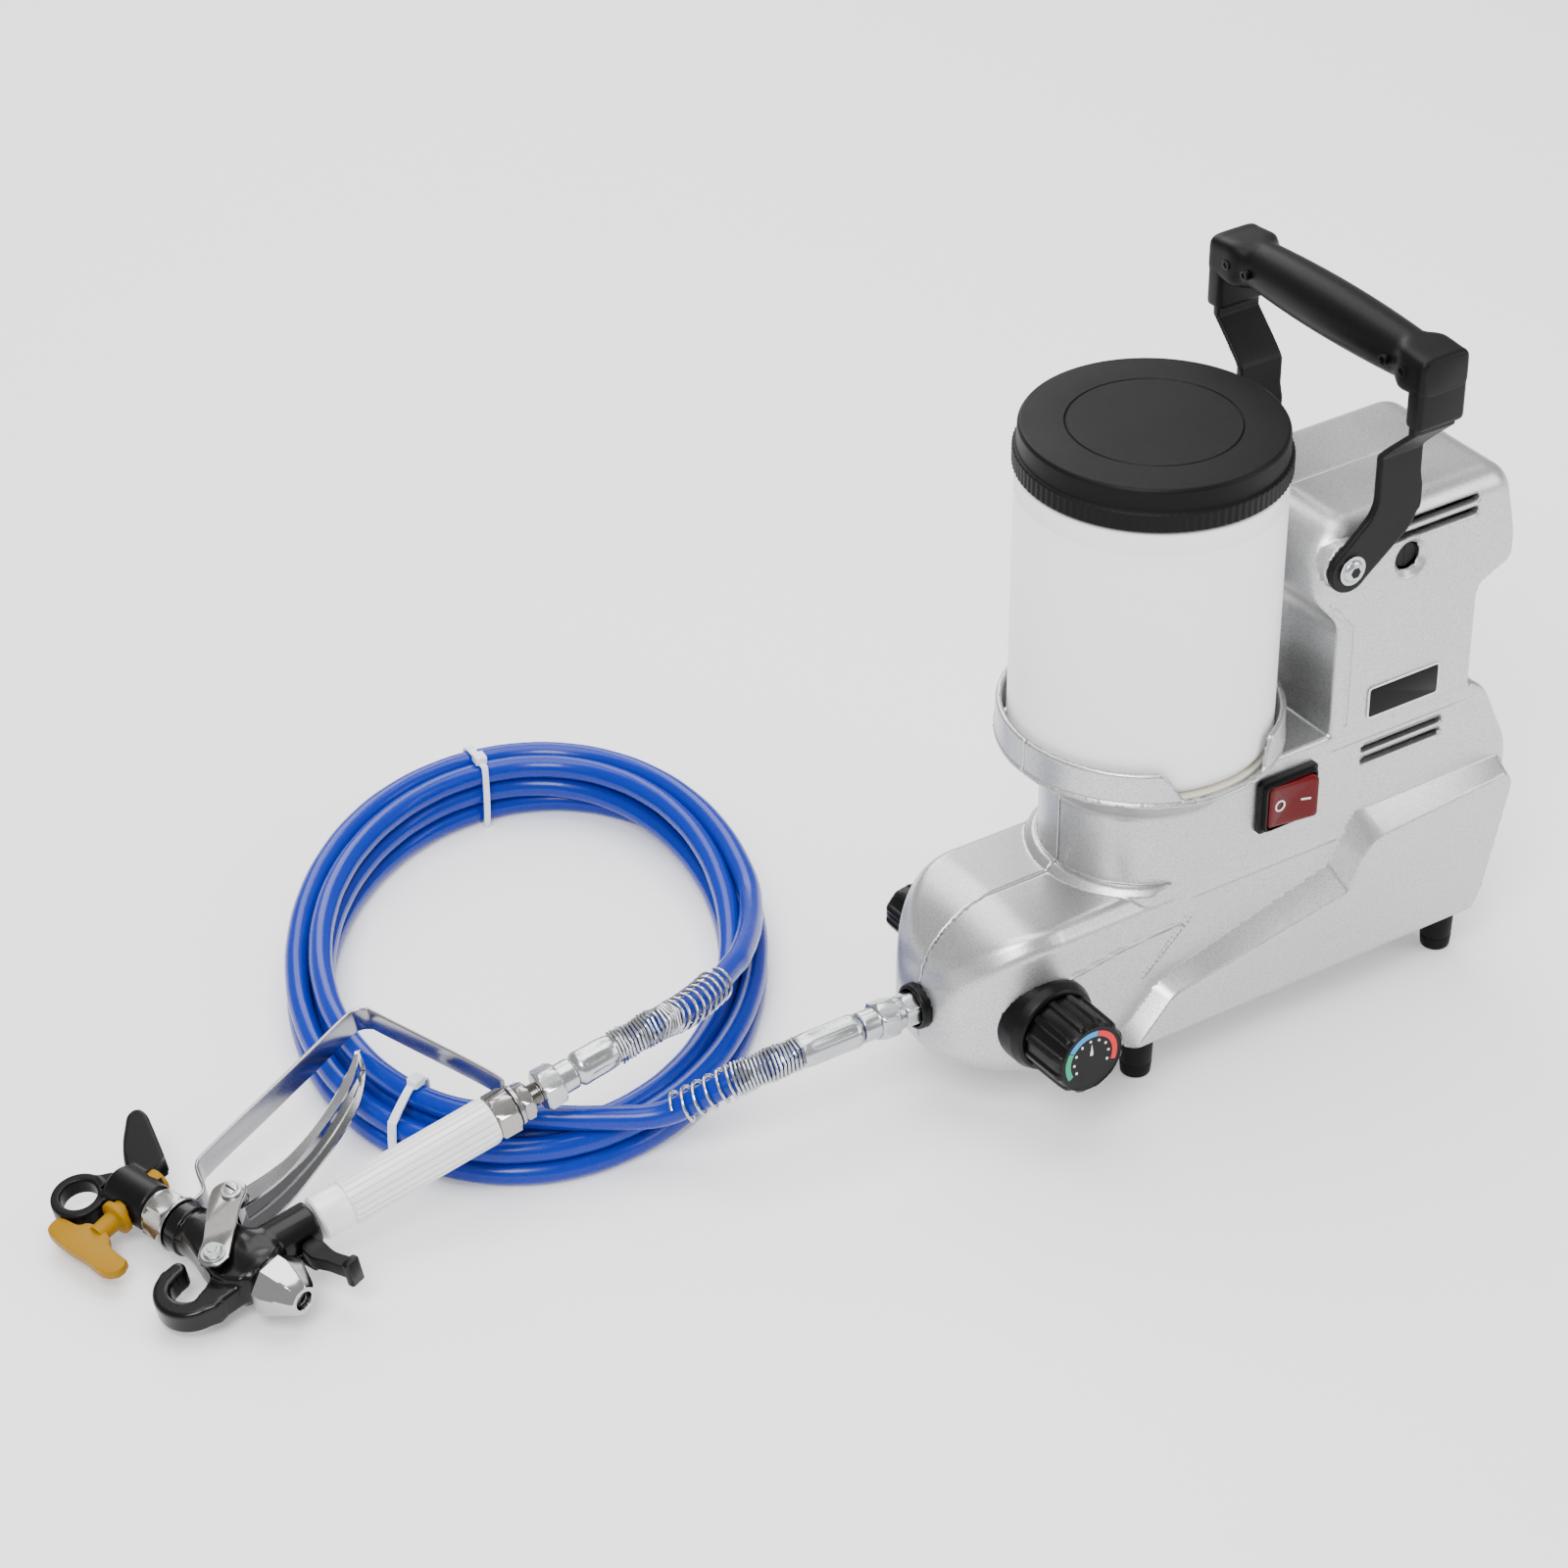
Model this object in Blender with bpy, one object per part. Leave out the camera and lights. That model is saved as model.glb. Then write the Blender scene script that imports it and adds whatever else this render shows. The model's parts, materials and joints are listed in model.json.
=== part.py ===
"""Airless paint sprayer: a jar-fed piston pump with its high-pressure hose and spray gun.

Everything is designed in millimetres and made in metres. X runs from the hose outlet to the
back of the motor, Y across the machine, Z up from the floor. Machine sizes are measured from
the jar's axis, gun sizes from the crossing of the spray axis and the grip's axis.
"""

import math

import bmesh
import bpy
from mathutils import Matrix, Vector

MM = 0.001
FIT_GAP = 0.3            # between pieces that touch
ROUND_SIDES = 36         # sides of a large round piece
SMALL_SIDES = 16         # sides of a small round piece

# Where the jar's axis stands, so that the origin is under the middle of machine and gun
JAR_AXIS_X = 184.3
JAR_AXIS_Y = -48.2

# Casing
WALL = 3.0
BODY_HALF_WIDTH = 52.0
BODY_BOTTOM = 32.0
NOSE_TOP = 119.5
SHELF_TOP = 179.0
NOSE_TIP_X = -146.0
NOSE_ROUND_X = -85.0     # where the nose starts to narrow
NOSE_DROP_X = -93.0      # where the nose starts to fall
NOSE_CHAMFER = 8.0
REAR_X = 219.5
HOUSING_TOP = 308.6
HOUSING_FRONT_X = 72.0
HOUSING_WAIST_X = 90.0
HOUSING_REAR_X = 210.0
HOUSING_BACK_X = 187.0
HOUSING_EDGE_ROUND = 14.0
SKIRT_HALF_WIDTH = 63.0
PIVOT_BOSS_HEIGHT = 3.0
SEAM_GAP = 0.3

# Cup, neck and jar
NECK_RADIUS = 51.5
FLANGE_RADIUS = 58.0
FLANGE_HEIGHT = 3.5
RING_RADIUS = 77.0
RING_BOTTOM = 189.0
RING_HEIGHT = 20.0
NECK_TOP = 167.0
CUP_WALL = 3.5
CUP_FLOOR_TOP = 187.0
CUP_FLOOR_THICKNESS = 5.0
NOTCH_START = -120.0     # degrees round the jar's axis
NOTCH_END = -64.0
NOTCH_DEPTH = 18.0
JAR_RADIUS = 71.0
JAR_WALL = 2.5
JAR_FOOT_ROUND = 9.0
JAR_NECK_RADIUS = 67.0
JAR_SHOULDER = 349.0
GASKET_HEIGHT = 2.5
LID_TOP = 375.0
LID_RADIUS = 70.2
LID_BAND_RADIUS = 72.6
LID_BAND_BOTTOM = 351.0
LID_BAND_TOP = 362.0
LID_PLATE = 4.0
INLET_BORE = 12.0

# Feet
FOOT_RADIUS = 9.5
FOOT_FRONT_X = -26.0
FOOT_REAR_X = 188.0
FOOT_Y = 43.0

# Pump, gears and motor
PUMP_AXIS_Z = 65.0
PUMP_FRONT_X = -112.0
PUMP_REAR_X = -20.0
PUMP_HALF = 20.0
BORE_RADIUS = 11.4
PISTON_RADIUS = 11.0
PISTON_LENGTH = 28.0
PISTON_FRONT_X = -60.0
ROD_RADIUS = 6.0
STROKE = 14.0
GEAR_MODULE = 1.5625
PINION_TEETH = 8
GEAR_TEETH = 48
GEAR_Z = 126.0
GEAR_THICKNESS = 10.0
MOTOR_X = 137.0
SHAFT_RADIUS = 5.0
CRANK_SHAFT_RADIUS = 6.0
ECCENTRIC_RADIUS = 13.0
YOKE_WALL = 4.4
YOKE_HEIGHT = 12.0
STATOR_RADIUS = 40.0
ARMATURE_RADIUS = 28.0
STATOR_BOTTOM = 205.0
STATOR_HEIGHT = 57.0
BRUSH_Z = 274.0

# Controls
KNOB_X = -94.0
KNOB_Z = 65.0
COLLAR_RADIUS = 26.5
KNOB_RADIUS = 22.5
COLLAR_FACE_Y = 60.0
KNOB_FACE_Y = 90.0
DRAIN_RADIUS = 15.0
DRAIN_FACE_Y = 80.0
STEM_RADIUS = 4.0
SWITCH_X = 60.0
SWITCH_Z = 152.0
SWITCH_WIDTH = 40.0
SWITCH_HEIGHT = 33.0
ROCKER_WIDTH = 31.0
ROCKER_HEIGHT = 26.0
SLOT_HEIGHT = 3.6

# Carry handle
HANDLE_PIVOT_X = 88.0
HANDLE_PIVOT_Z = 287.0
ARM_X = 117.0
ARM_WIDTH = 28.5
ARM_THICKNESS = 4.5
ARM_JOGGLE = 22.0
ARM_JOGGLE_Z = 350.0
ARM_JOGGLE_RISE = 21.0
ARM_EYE_RADIUS = 13.5
GRIP_Z = 405.0
GRIP_HALF_LENGTH = 87.0
GRIP_MIDDLE_RADIUS = 15.5
GRIP_END_HEIGHT = 11.5
GRIP_END_WIDTH = 16.0

# Hose
HOSE_RADIUS = 6.75
SPRING_INNER_RADIUS = 8.2
SPRING_OUTER_RADIUS = 10.0
COIL_X = -257.0
COIL_Y = 213.0
COIL_HALF_LENGTH = 174.5     # to the middle of the bundle
COIL_HALF_WIDTH = 120.5
COIL_HEADING = 56.0          # degrees from X to the coil's long axis
COIL_BUNDLE_WIDTH = 28.0
COIL_BUNDLE_HEIGHT = 41.0
COIL_SHOULDER_DROP = 12.0
TIE_THICKNESS = 1.6
TIE_WIDTH = 5.0
TIE_FOOT = 6.0

# Gun, in its own frame: X along the spray, Z up, the grip running down and back
GUN_X = -520.5
GUN_Y = 58.8
GUN_Z = 22.45
SPRAY_DIRECTION = Vector((-0.25, 0.968, 0.0)).normalized()
GRIP_DIRECTION = Vector((0.9765, -0.033, 0.213)).normalized()
GUN_GRIP_START = 43.8
GUN_GRIP_END = 149.0
GUN_GRIP_RADIUS = 13.0
GUN_NUT_START = 149.3
HOSE_END_OFFSET = 75.6   # from the first nut to the hose's end
TRIGGER_PIVOT = (3.0, 12.0)
TRIGGER_SCREW = (26.0, -23.0)
TRIGGER_PLATE_Y = 15.5
LOCK_PIVOT = (-27.5, -26.0)
LOCK_EYE_RADIUS = 6.2
KEY_X = 78.0
KEY_RADIUS = 7.0
GUARD_CORNER = (72.5, -161.0)

FINISHES = {
    "silver_paint": ((0.62, 0.62, 0.63), 0.38, 0.6),
    "black_plastic": ((0.012, 0.012, 0.013), 0.5, 0.0),
    "black_steel": ((0.015, 0.015, 0.016), 0.4, 0.3),
    "rubber": ((0.01, 0.01, 0.01), 0.8, 0.0),
    "jar_plastic": ((0.85, 0.85, 0.86), 0.35, 0.0),
    "seal": ((0.75, 0.72, 0.65), 0.6, 0.0),
    "red_plastic": ((0.5, 0.01, 0.02), 0.2, 0.0),
    "zinc": ((0.68, 0.69, 0.70), 0.3, 1.0),
    "chrome": ((0.7, 0.7, 0.72), 0.12, 1.0),
    "steel": ((0.45, 0.45, 0.46), 0.35, 1.0),
    "copper": ((0.7, 0.35, 0.2), 0.4, 1.0),
    "brass": ((0.75, 0.6, 0.3), 0.3, 1.0),
    "white_alloy": ((0.85, 0.85, 0.85), 0.4, 0.3),
    "black_alloy": ((0.01, 0.01, 0.011), 0.25, 0.2),
    "grey_plate": ((0.4, 0.4, 0.41), 0.4, 0.8),
    "yellow_plastic": ((0.85, 0.5, 0.03), 0.4, 0.0),
    "blue_hose": ((0.01, 0.12, 0.65), 0.25, 0.0),
    "white_nylon": ((0.8, 0.8, 0.8), 0.4, 0.0),
}


# ---------------------------------------------------------------- building blocks

def finish(name):
    """The Principled material of a named finish."""
    made = bpy.data.materials.get(name)
    if made:
        return made
    colour, roughness, metallic = FINISHES[name]
    made = bpy.data.materials.new(name)
    made.use_nodes = True
    shader = made.node_tree.nodes["Principled BSDF"]
    shader.inputs["Base Color"].default_value = (*colour, 1.0)
    shader.inputs["Roughness"].default_value = roughness
    shader.inputs["Metallic"].default_value = metallic
    return made


def empty(name, location=(0, 0, 0), parent=None):
    """An empty that carries a sub-assembly, placed in millimetres."""
    made = bpy.data.objects.new(name, None)
    bpy.context.scene.collection.objects.link(made)
    made.location = Vector(location) * MM
    made.parent = parent
    return made


def piece(name, shape, surface, parent, origin=(0, 0, 0), sharp=32.0):
    """One named sub-part from a bmesh in millimetres, with its own origin."""
    bmesh.ops.translate(shape, verts=shape.verts, vec=-Vector(origin))
    bmesh.ops.scale(shape, verts=shape.verts, vec=(MM, MM, MM))
    mesh = bpy.data.meshes.new(name)
    shape.to_mesh(mesh)
    shape.free()
    mesh.materials.append(finish(surface))
    mesh.shade_smooth()
    mesh.set_sharp_from_angle(angle=math.radians(sharp))
    made = bpy.data.objects.new(name, mesh)
    bpy.context.scene.collection.objects.link(made)
    made.location = Vector(origin) * MM
    made.parent = parent
    return made


def outward(shape):
    """The same closed shape with every face turned outwards."""
    bmesh.ops.recalc_face_normals(shape, faces=shape.faces)
    return shape


def sections(rings, closed=False):
    """A solid skin through rings of equal point counts; open ends get a cap."""
    shape = bmesh.new()
    loops = [[shape.verts.new(point) for point in ring] for ring in rings]
    count = len(loops[0])
    pairs = list(zip(loops, loops[1:]))
    if closed:
        pairs.append((loops[-1], loops[0]))
    for lower, upper in pairs:
        for i in range(count):
            j = (i + 1) % count
            shape.faces.new((lower[i], lower[j], upper[j], upper[i]))
    if not closed:
        shape.faces.new(loops[0])
        shape.faces.new(loops[-1])
    return outward(shape)


def on_axis(axis, u, v, w):
    """The point at (u, v) across the axis and w along it."""
    return {"X": (w, u, v), "Y": (u, w, v), "Z": (u, v, w)}[axis]


def prism(outline, low, high, axis="Z"):
    """An outline carried straight along an axis."""
    return sections([[on_axis(axis, u, v, w) for u, v in outline] for w in (low, high)])


def box(low, high):
    """A block between two corners."""
    outline = [(low[0], low[1]), (high[0], low[1]), (high[0], high[1]), (low[0], high[1])]
    return prism(outline, low[2], high[2])


def circle(radius, centre=(0.0, 0.0), sides=SMALL_SIDES, start=0.0, sweep=360.0):
    """Points round a circle, or along an arc when sweep is less than a whole turn."""
    steps = sides if abs(sweep) >= 360.0 else sides + 1
    angles = [math.radians(start + sweep * i / sides) for i in range(steps)]
    return [(centre[0] + radius * math.cos(a), centre[1] + radius * math.sin(a)) for a in angles]


def rod(radius, low, high, axis="Z", centre=(0.0, 0.0), sides=SMALL_SIDES):
    """A round bar along an axis."""
    return prism(circle(radius, centre, sides, start=180.0 / sides), low, high, axis)


def turned(profile, axis="Z", centre=(0.0, 0.0), sides=SMALL_SIDES):
    """A closed profile of (radius, height) turned round an axis; radius 0 makes a pole."""
    shape = bmesh.new()
    columns = []
    for radius, height in profile:
        if radius < 1e-6:
            columns.append([shape.verts.new(on_axis(axis, *centre, height))] * sides)
            continue
        ring = circle(radius, centre, sides, start=180.0 / sides)
        columns.append([shape.verts.new(on_axis(axis, u, v, height)) for u, v in ring])
    for lower, upper in zip(columns, columns[1:] + columns[:1]):
        for i in range(sides):
            j = (i + 1) % sides
            corners = list(dict.fromkeys((lower[i], lower[j], upper[j], upper[i])))
            if len(corners) > 2:
                shape.faces.new(corners)
    return outward(shape)


def tube(outer, inner, low, high, axis="Z", centre=(0.0, 0.0), sides=SMALL_SIDES):
    """A round sleeve."""
    profile = [(outer, low), (outer, high), (inner, high), (inner, low)]
    return turned(profile, axis, centre, sides)


def combined(base, tools, operation):
    """The base shape joined with, cut by or kept inside each tool shape."""
    made = []
    for shape in [base, *tools]:
        mesh = bpy.data.meshes.new("tool")
        shape.to_mesh(mesh)
        shape.free()
        made.append(bpy.data.objects.new("tool", mesh))
        bpy.context.scene.collection.objects.link(made[-1])
    for tool in made[1:]:
        modifier = made[0].modifiers.new("shape", "BOOLEAN")
        modifier.operation = operation
        modifier.object = tool
        modifier.solver = "EXACT"
    graph = bpy.context.evaluated_depsgraph_get()
    result = bmesh.new()
    result.from_mesh(made[0].evaluated_get(graph).to_mesh())
    for tool in made:
        mesh = tool.data
        bpy.data.objects.remove(tool)
        bpy.data.meshes.remove(mesh)
    return result


def union(base, *tools):
    """One body out of overlapping shapes."""
    return combined(base, tools, "UNION")


def cut(base, *tools):
    """The base without the tools."""
    return combined(base, tools, "DIFFERENCE")


def common(base, *tools):
    """What the base and all the tools share."""
    return combined(base, tools, "INTERSECT")


def inset(outline, distance):
    """A convex or gently bent outline moved inwards by a distance, mitred at its corners."""
    count = len(outline)
    area = sum(outline[i - 1][0] * outline[i][1] - outline[i][0] * outline[i - 1][1] for i in range(count))
    side = 1.0 if area > 0 else -1.0
    moved = []
    for i in range(count):
        before, here, after = (Vector(outline[k % count]) for k in (i - 1, i, i + 1))
        first = (here - before).normalized()
        second = (after - here).normalized()
        normals = [Vector((-d.y, d.x)) * side for d in (first, second)]
        bisector = (normals[0] + normals[1]).normalized()
        moved.append(tuple(here + bisector * distance / max(0.3, bisector.dot(normals[0]))))
    return moved


def mirrored(shape):
    """The shape's mirror image across the centre plane."""
    image = shape.copy()
    bmesh.ops.scale(image, verts=image.verts, vec=(1, -1, 1))
    bmesh.ops.reverse_faces(image, faces=image.faces)
    return image


def placed(shape, matrix):
    """The shape moved by a matrix."""
    bmesh.ops.transform(shape, matrix=matrix, verts=shape.verts)
    return shape


# ---------------------------------------------------------------- casing

def nose_fall(sides=7):
    """The nose's side outline from its front foot up and over to the flat top."""
    foot_round = 18.0
    reach = NOSE_DROP_X - NOSE_TIP_X
    rise = NOSE_TOP - KNOB_Z
    points = circle(foot_round, (NOSE_TIP_X + foot_round, BODY_BOTTOM + foot_round), 4, 270.0, -90.0)
    for i in range(sides + 1):
        angle = math.pi - 0.5 * math.pi * i / sides
        points.append((NOSE_DROP_X + reach * math.cos(angle), KNOB_Z + rise * math.sin(angle)))
    return points


def base_outline():
    """The lower body seen from the side."""
    rear = [(REAR_X, NOSE_TOP), (REAR_X, 112.0), (204.0, 38.0), (198.0, BODY_BOTTOM)]
    return nose_fall() + rear


def plan_outline(half_width=BODY_HALF_WIDTH, tip=NOSE_TIP_X, rear=REAR_X + 1.0, sides=16):
    """The lower body seen from above, with its rounded nose."""
    reach = NOSE_ROUND_X - tip
    points = []
    for i in range(sides + 1):
        angle = math.radians(90.0 + 180.0 * i / sides)
        points.append((NOSE_ROUND_X + reach * math.cos(angle), half_width * math.sin(angle)))
    return points + [(rear, -half_width), (rear, half_width)]


def shelf_outline():
    """The block behind the neck, under the motor, seen from the side."""
    return [(0.0, NOSE_TOP - 4.0), (0.0, SHELF_TOP), (HOUSING_BACK_X + 4.0, SHELF_TOP),
            (200.0, SHELF_TOP - 5.0), (REAR_X, 130.0), (REAR_X, NOSE_TOP - 4.0)]


def housing_outline():
    """The motor housing seen from the side."""
    front = HOUSING_FRONT_X
    top = HOUSING_TOP
    points = [(HOUSING_WAIST_X, SHELF_TOP - 6.0), (HOUSING_WAIST_X, 246.0), (front, 268.0)]
    points += circle(25.0, (front + 25.0, top - 25.0), 6, 180.0, -90.0)
    points += circle(18.0, (HOUSING_REAR_X - 18.0, top - 18.0), 5, 90.0, -90.0)
    points += [(HOUSING_REAR_X, 252.0), (204.0, 245.0), (192.0, 242.0), (HOUSING_BACK_X, 235.0),
               (HOUSING_BACK_X, SHELF_TOP - 6.0)]
    return points


def housing_section(half_width, top, edge):
    """The motor housing seen from the front: square below, rounded along its top edges."""
    points = [(-half_width, SHELF_TOP - 6.0), (-half_width, top - edge)]
    points += circle(edge, (edge - half_width, top - edge), 5, 180.0, -90.0)[1:]
    points += circle(edge, (half_width - edge, top - edge), 5, 90.0, -90.0)
    return points + [(half_width, SHELF_TOP - 6.0)]


def skirt():
    """The raised panel low on one side, with its bevelled border."""
    wall = [(-50.0, 32.0), (-22.4, 63.2), (94.2, 95.3), (104.2, 116.9), (112.0, 125.0),
            (213.0, 123.5), (219.0, 113.0), (203.0, 38.0), (197.5, 32.0)]
    face = [(-43.0, 32.0), (-17.0, 58.5), (101.7, 79.5), (113.0, 103.0), (119.6, 107.7),
            (212.0, 116.5), (216.6, 109.6), (200.0, 41.0), (194.0, 32.0)]
    inside = BODY_HALF_WIDTH - 1.0
    return sections([[(x, -inside, z) for x, z in wall], [(x, -SKIRT_HALF_WIDTH, z) for x, z in face]])


def cup_profile():
    """The neck and cup as one turned shape, before they are hollowed."""
    return [(0.0, NOSE_TOP - 6.0), (NECK_RADIUS, NOSE_TOP - 6.0), (NECK_RADIUS, NECK_TOP),
            (RING_RADIUS, RING_BOTTOM), (RING_RADIUS, RING_BOTTOM + RING_HEIGHT),
            (0.0, RING_BOTTOM + RING_HEIGHT)]


def cup_notch():
    """The cutter for the low stretch of the cup's rim."""
    reach = RING_RADIUS + 12.0
    inner = JAR_RADIUS - 12.0
    floor = RING_BOTTOM + RING_HEIGHT - NOTCH_DEPTH
    top = RING_BOTTOM + RING_HEIGHT + 1.0
    rings = []
    for height, spread in ((floor, 0.0), (top, 7.0)):
        start = NOTCH_START + 9.0 - spread
        sweep = NOTCH_END - 4.0 + spread - start
        outer_arc = circle(reach, (0, 0), 6, start, sweep)
        inner_arc = circle(inner, (0, 0), 6, start + sweep, -sweep)
        rings.append([(x, y, height) for x, y in outer_arc + inner_arc])
    return sections(rings)


def clipped_flange():
    """The collar round the neck's foot, kept within the body's sides."""
    limit = BODY_HALF_WIDTH - 0.4
    rings = []
    for radius, height in ((FLANGE_RADIUS, NOSE_TOP - 3.0), (FLANGE_RADIUS, NOSE_TOP + 1.0),
                           (FLANGE_RADIUS - 3.0, NOSE_TOP + FLANGE_HEIGHT)):
        ring = circle(radius, (0, 0), ROUND_SIDES, 180.0 / ROUND_SIDES)
        rings.append([(x, max(-limit, min(limit, y)), height) for x, y in ring])
    return sections(rings)


def slot(low_x, high_x, height):
    """A cutter for one cooling slot through both sides."""
    radius = SLOT_HEIGHT / 2.0
    outline = circle(radius, (low_x + radius, height), 6, 90.0, 180.0)
    outline += circle(radius, (high_x - radius, height), 6, 270.0, 180.0)
    return prism(outline, -70.0, 70.0, "Y")


def casing_solid():
    """The whole casing, both halves together, hollow and with its openings."""
    half = BODY_HALF_WIDTH
    chamfer = [(-half, BODY_BOTTOM - 1.0), (-half, NOSE_TOP - NOSE_CHAMFER), (5.0 - half, NOSE_TOP),
               (half - 5.0, NOSE_TOP), (half, NOSE_TOP - NOSE_CHAMFER), (half, BODY_BOTTOM - 1.0)]
    base = common(prism(base_outline(), -60.0, 60.0, "Y"), prism(plan_outline(), 20.0, 140.0))
    front = common(base.copy(), prism(chamfer, -160.0, 20.0, "X"))
    rear = common(base, box((10.0, -70.0, 20.0), (240.0, 70.0, 140.0)))
    shelf = prism(shelf_outline(), -half, half, "Y")
    housing = common(prism(housing_outline(), -half, half, "Y"),
                     prism(housing_section(half, HOUSING_TOP, HOUSING_EDGE_ROUND), 40.0, 230.0, "X"))
    pivot = (HANDLE_PIVOT_X, HANDLE_PIVOT_Z)
    bosses = rod(ARM_EYE_RADIUS, -half - PIVOT_BOSS_HEIGHT, half + PIVOT_BOSS_HEIGHT, "Y", pivot, 24)
    near_skirt = skirt()
    far_skirt = mirrored(near_skirt)
    cup = turned(cup_profile(), sides=ROUND_SIDES)
    solid = union(front, rear, shelf, housing, bosses, near_skirt, far_skirt, cup, clipped_flange())

    hollow_half = half - WALL
    base_hollow = common(prism(inset(base_outline(), WALL), -60.0, 60.0, "Y"),
                         prism(plan_outline(hollow_half, NOSE_TIP_X + WALL), 20.0, 140.0))
    shelf_hollow = prism([(4.0, 100.0), (4.0, SHELF_TOP - WALL), (HOUSING_BACK_X, SHELF_TOP - WALL),
                          (198.0, SHELF_TOP - WALL - 5.0), (REAR_X - WALL, 130.0),
                          (REAR_X - WALL, 100.0)], -hollow_half, hollow_half, "Y")
    neck_hollow = rod(NECK_RADIUS - WALL, 100.0, CUP_FLOOR_TOP - CUP_FLOOR_THICKNESS, sides=ROUND_SIDES)
    housing_hollow = common(
        prism([(x, max(z, 160.0)) for x, z in inset(housing_outline(), WALL)], -60.0, 60.0, "Y"),
        prism([(y, z if z > SHELF_TOP else 150.0) for y, z in
               housing_section(hollow_half, HOUSING_TOP - WALL, HOUSING_EDGE_ROUND - WALL)],
              40.0, 230.0, "X"))
    jar_seat = rod(RING_RADIUS - CUP_WALL, CUP_FLOOR_TOP, 240.0, sides=ROUND_SIDES)
    inlet = rod(INLET_BORE, 150.0, 200.0, sides=24)
    solid = cut(solid, base_hollow, shelf_hollow, neck_hollow, housing_hollow, jar_seat, inlet,
                cup_notch())

    far_reach = 80.0
    openings = [slot(112.5, 168.5, 162.2), slot(112.5, 168.5, 154.6),
                slot(118.0, 182.0, 297.2), slot(118.0, 182.0, 289.6),
                rod(8.5, -far_reach, far_reach, "Y", (MOTOR_X, BRUSH_Z), 20),
                rod(2.6, -far_reach, far_reach, "Y", pivot, 12),
                rod(COLLAR_RADIUS + 0.6, -far_reach, -30.0, "Y", (KNOB_X, KNOB_Z), 28),
                rod(DRAIN_RADIUS - 1.0, 30.0, far_reach, "Y", (KNOB_X, KNOB_Z), 20),
                rod(11.0, -160.0, -130.0, "X", (0.0, PUMP_AXIS_Z), 20),
                rod(8.0, 180.0, 200.0, "X", (0.0, 205.0), 16),
                box((SWITCH_X - 15.0, -60.0, SWITCH_Z - 12.0), (SWITCH_X + 15.0, -40.0, SWITCH_Z + 12.0))]
    for column in (FOOT_FRONT_X, FOOT_REAR_X):
        for side in (-1, 1):
            openings.append(rod(2.2, 20.0, 45.0, "Z", (column, side * FOOT_Y), 10))
    return cut(solid, *openings)


def build_casing(frame):
    """The two casing halves, parted on the centre plane."""
    whole = casing_solid()
    reach = 300.0
    gap = SEAM_GAP / 2.0
    near_block = box((-reach, -reach, -10.0), (reach, -gap, 2 * reach))
    far_block = box((-reach, gap, -10.0), (reach, reach, 2 * reach))
    piece("casing_near", common(whole.copy(), near_block), "silver_paint", frame)
    piece("casing_far", common(whole, far_block), "silver_paint", frame)


def build_feet(frame):
    """Four tapered rubber feet, each with the stub that screws into the casing."""
    top = BODY_BOTTOM - FIT_GAP
    places = {"foot_front_near": (FOOT_FRONT_X, -FOOT_Y), "foot_front_far": (FOOT_FRONT_X, FOOT_Y),
              "foot_rear_near": (FOOT_REAR_X, -FOOT_Y), "foot_rear_far": (FOOT_REAR_X, FOOT_Y)}
    for name, centre in places.items():
        profile = [(0.0, 0.0), (FOOT_RADIUS - 1.5, 0.0), (FOOT_RADIUS - 0.7, 1.0), (FOOT_RADIUS, top),
                   (1.9, top), (1.9, top + 8.0), (0.0, top + 8.0)]
        piece(name, turned(profile, centre=centre), "rubber", frame, (*centre, 0.0))


# ---------------------------------------------------------------- jar and lid

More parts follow.
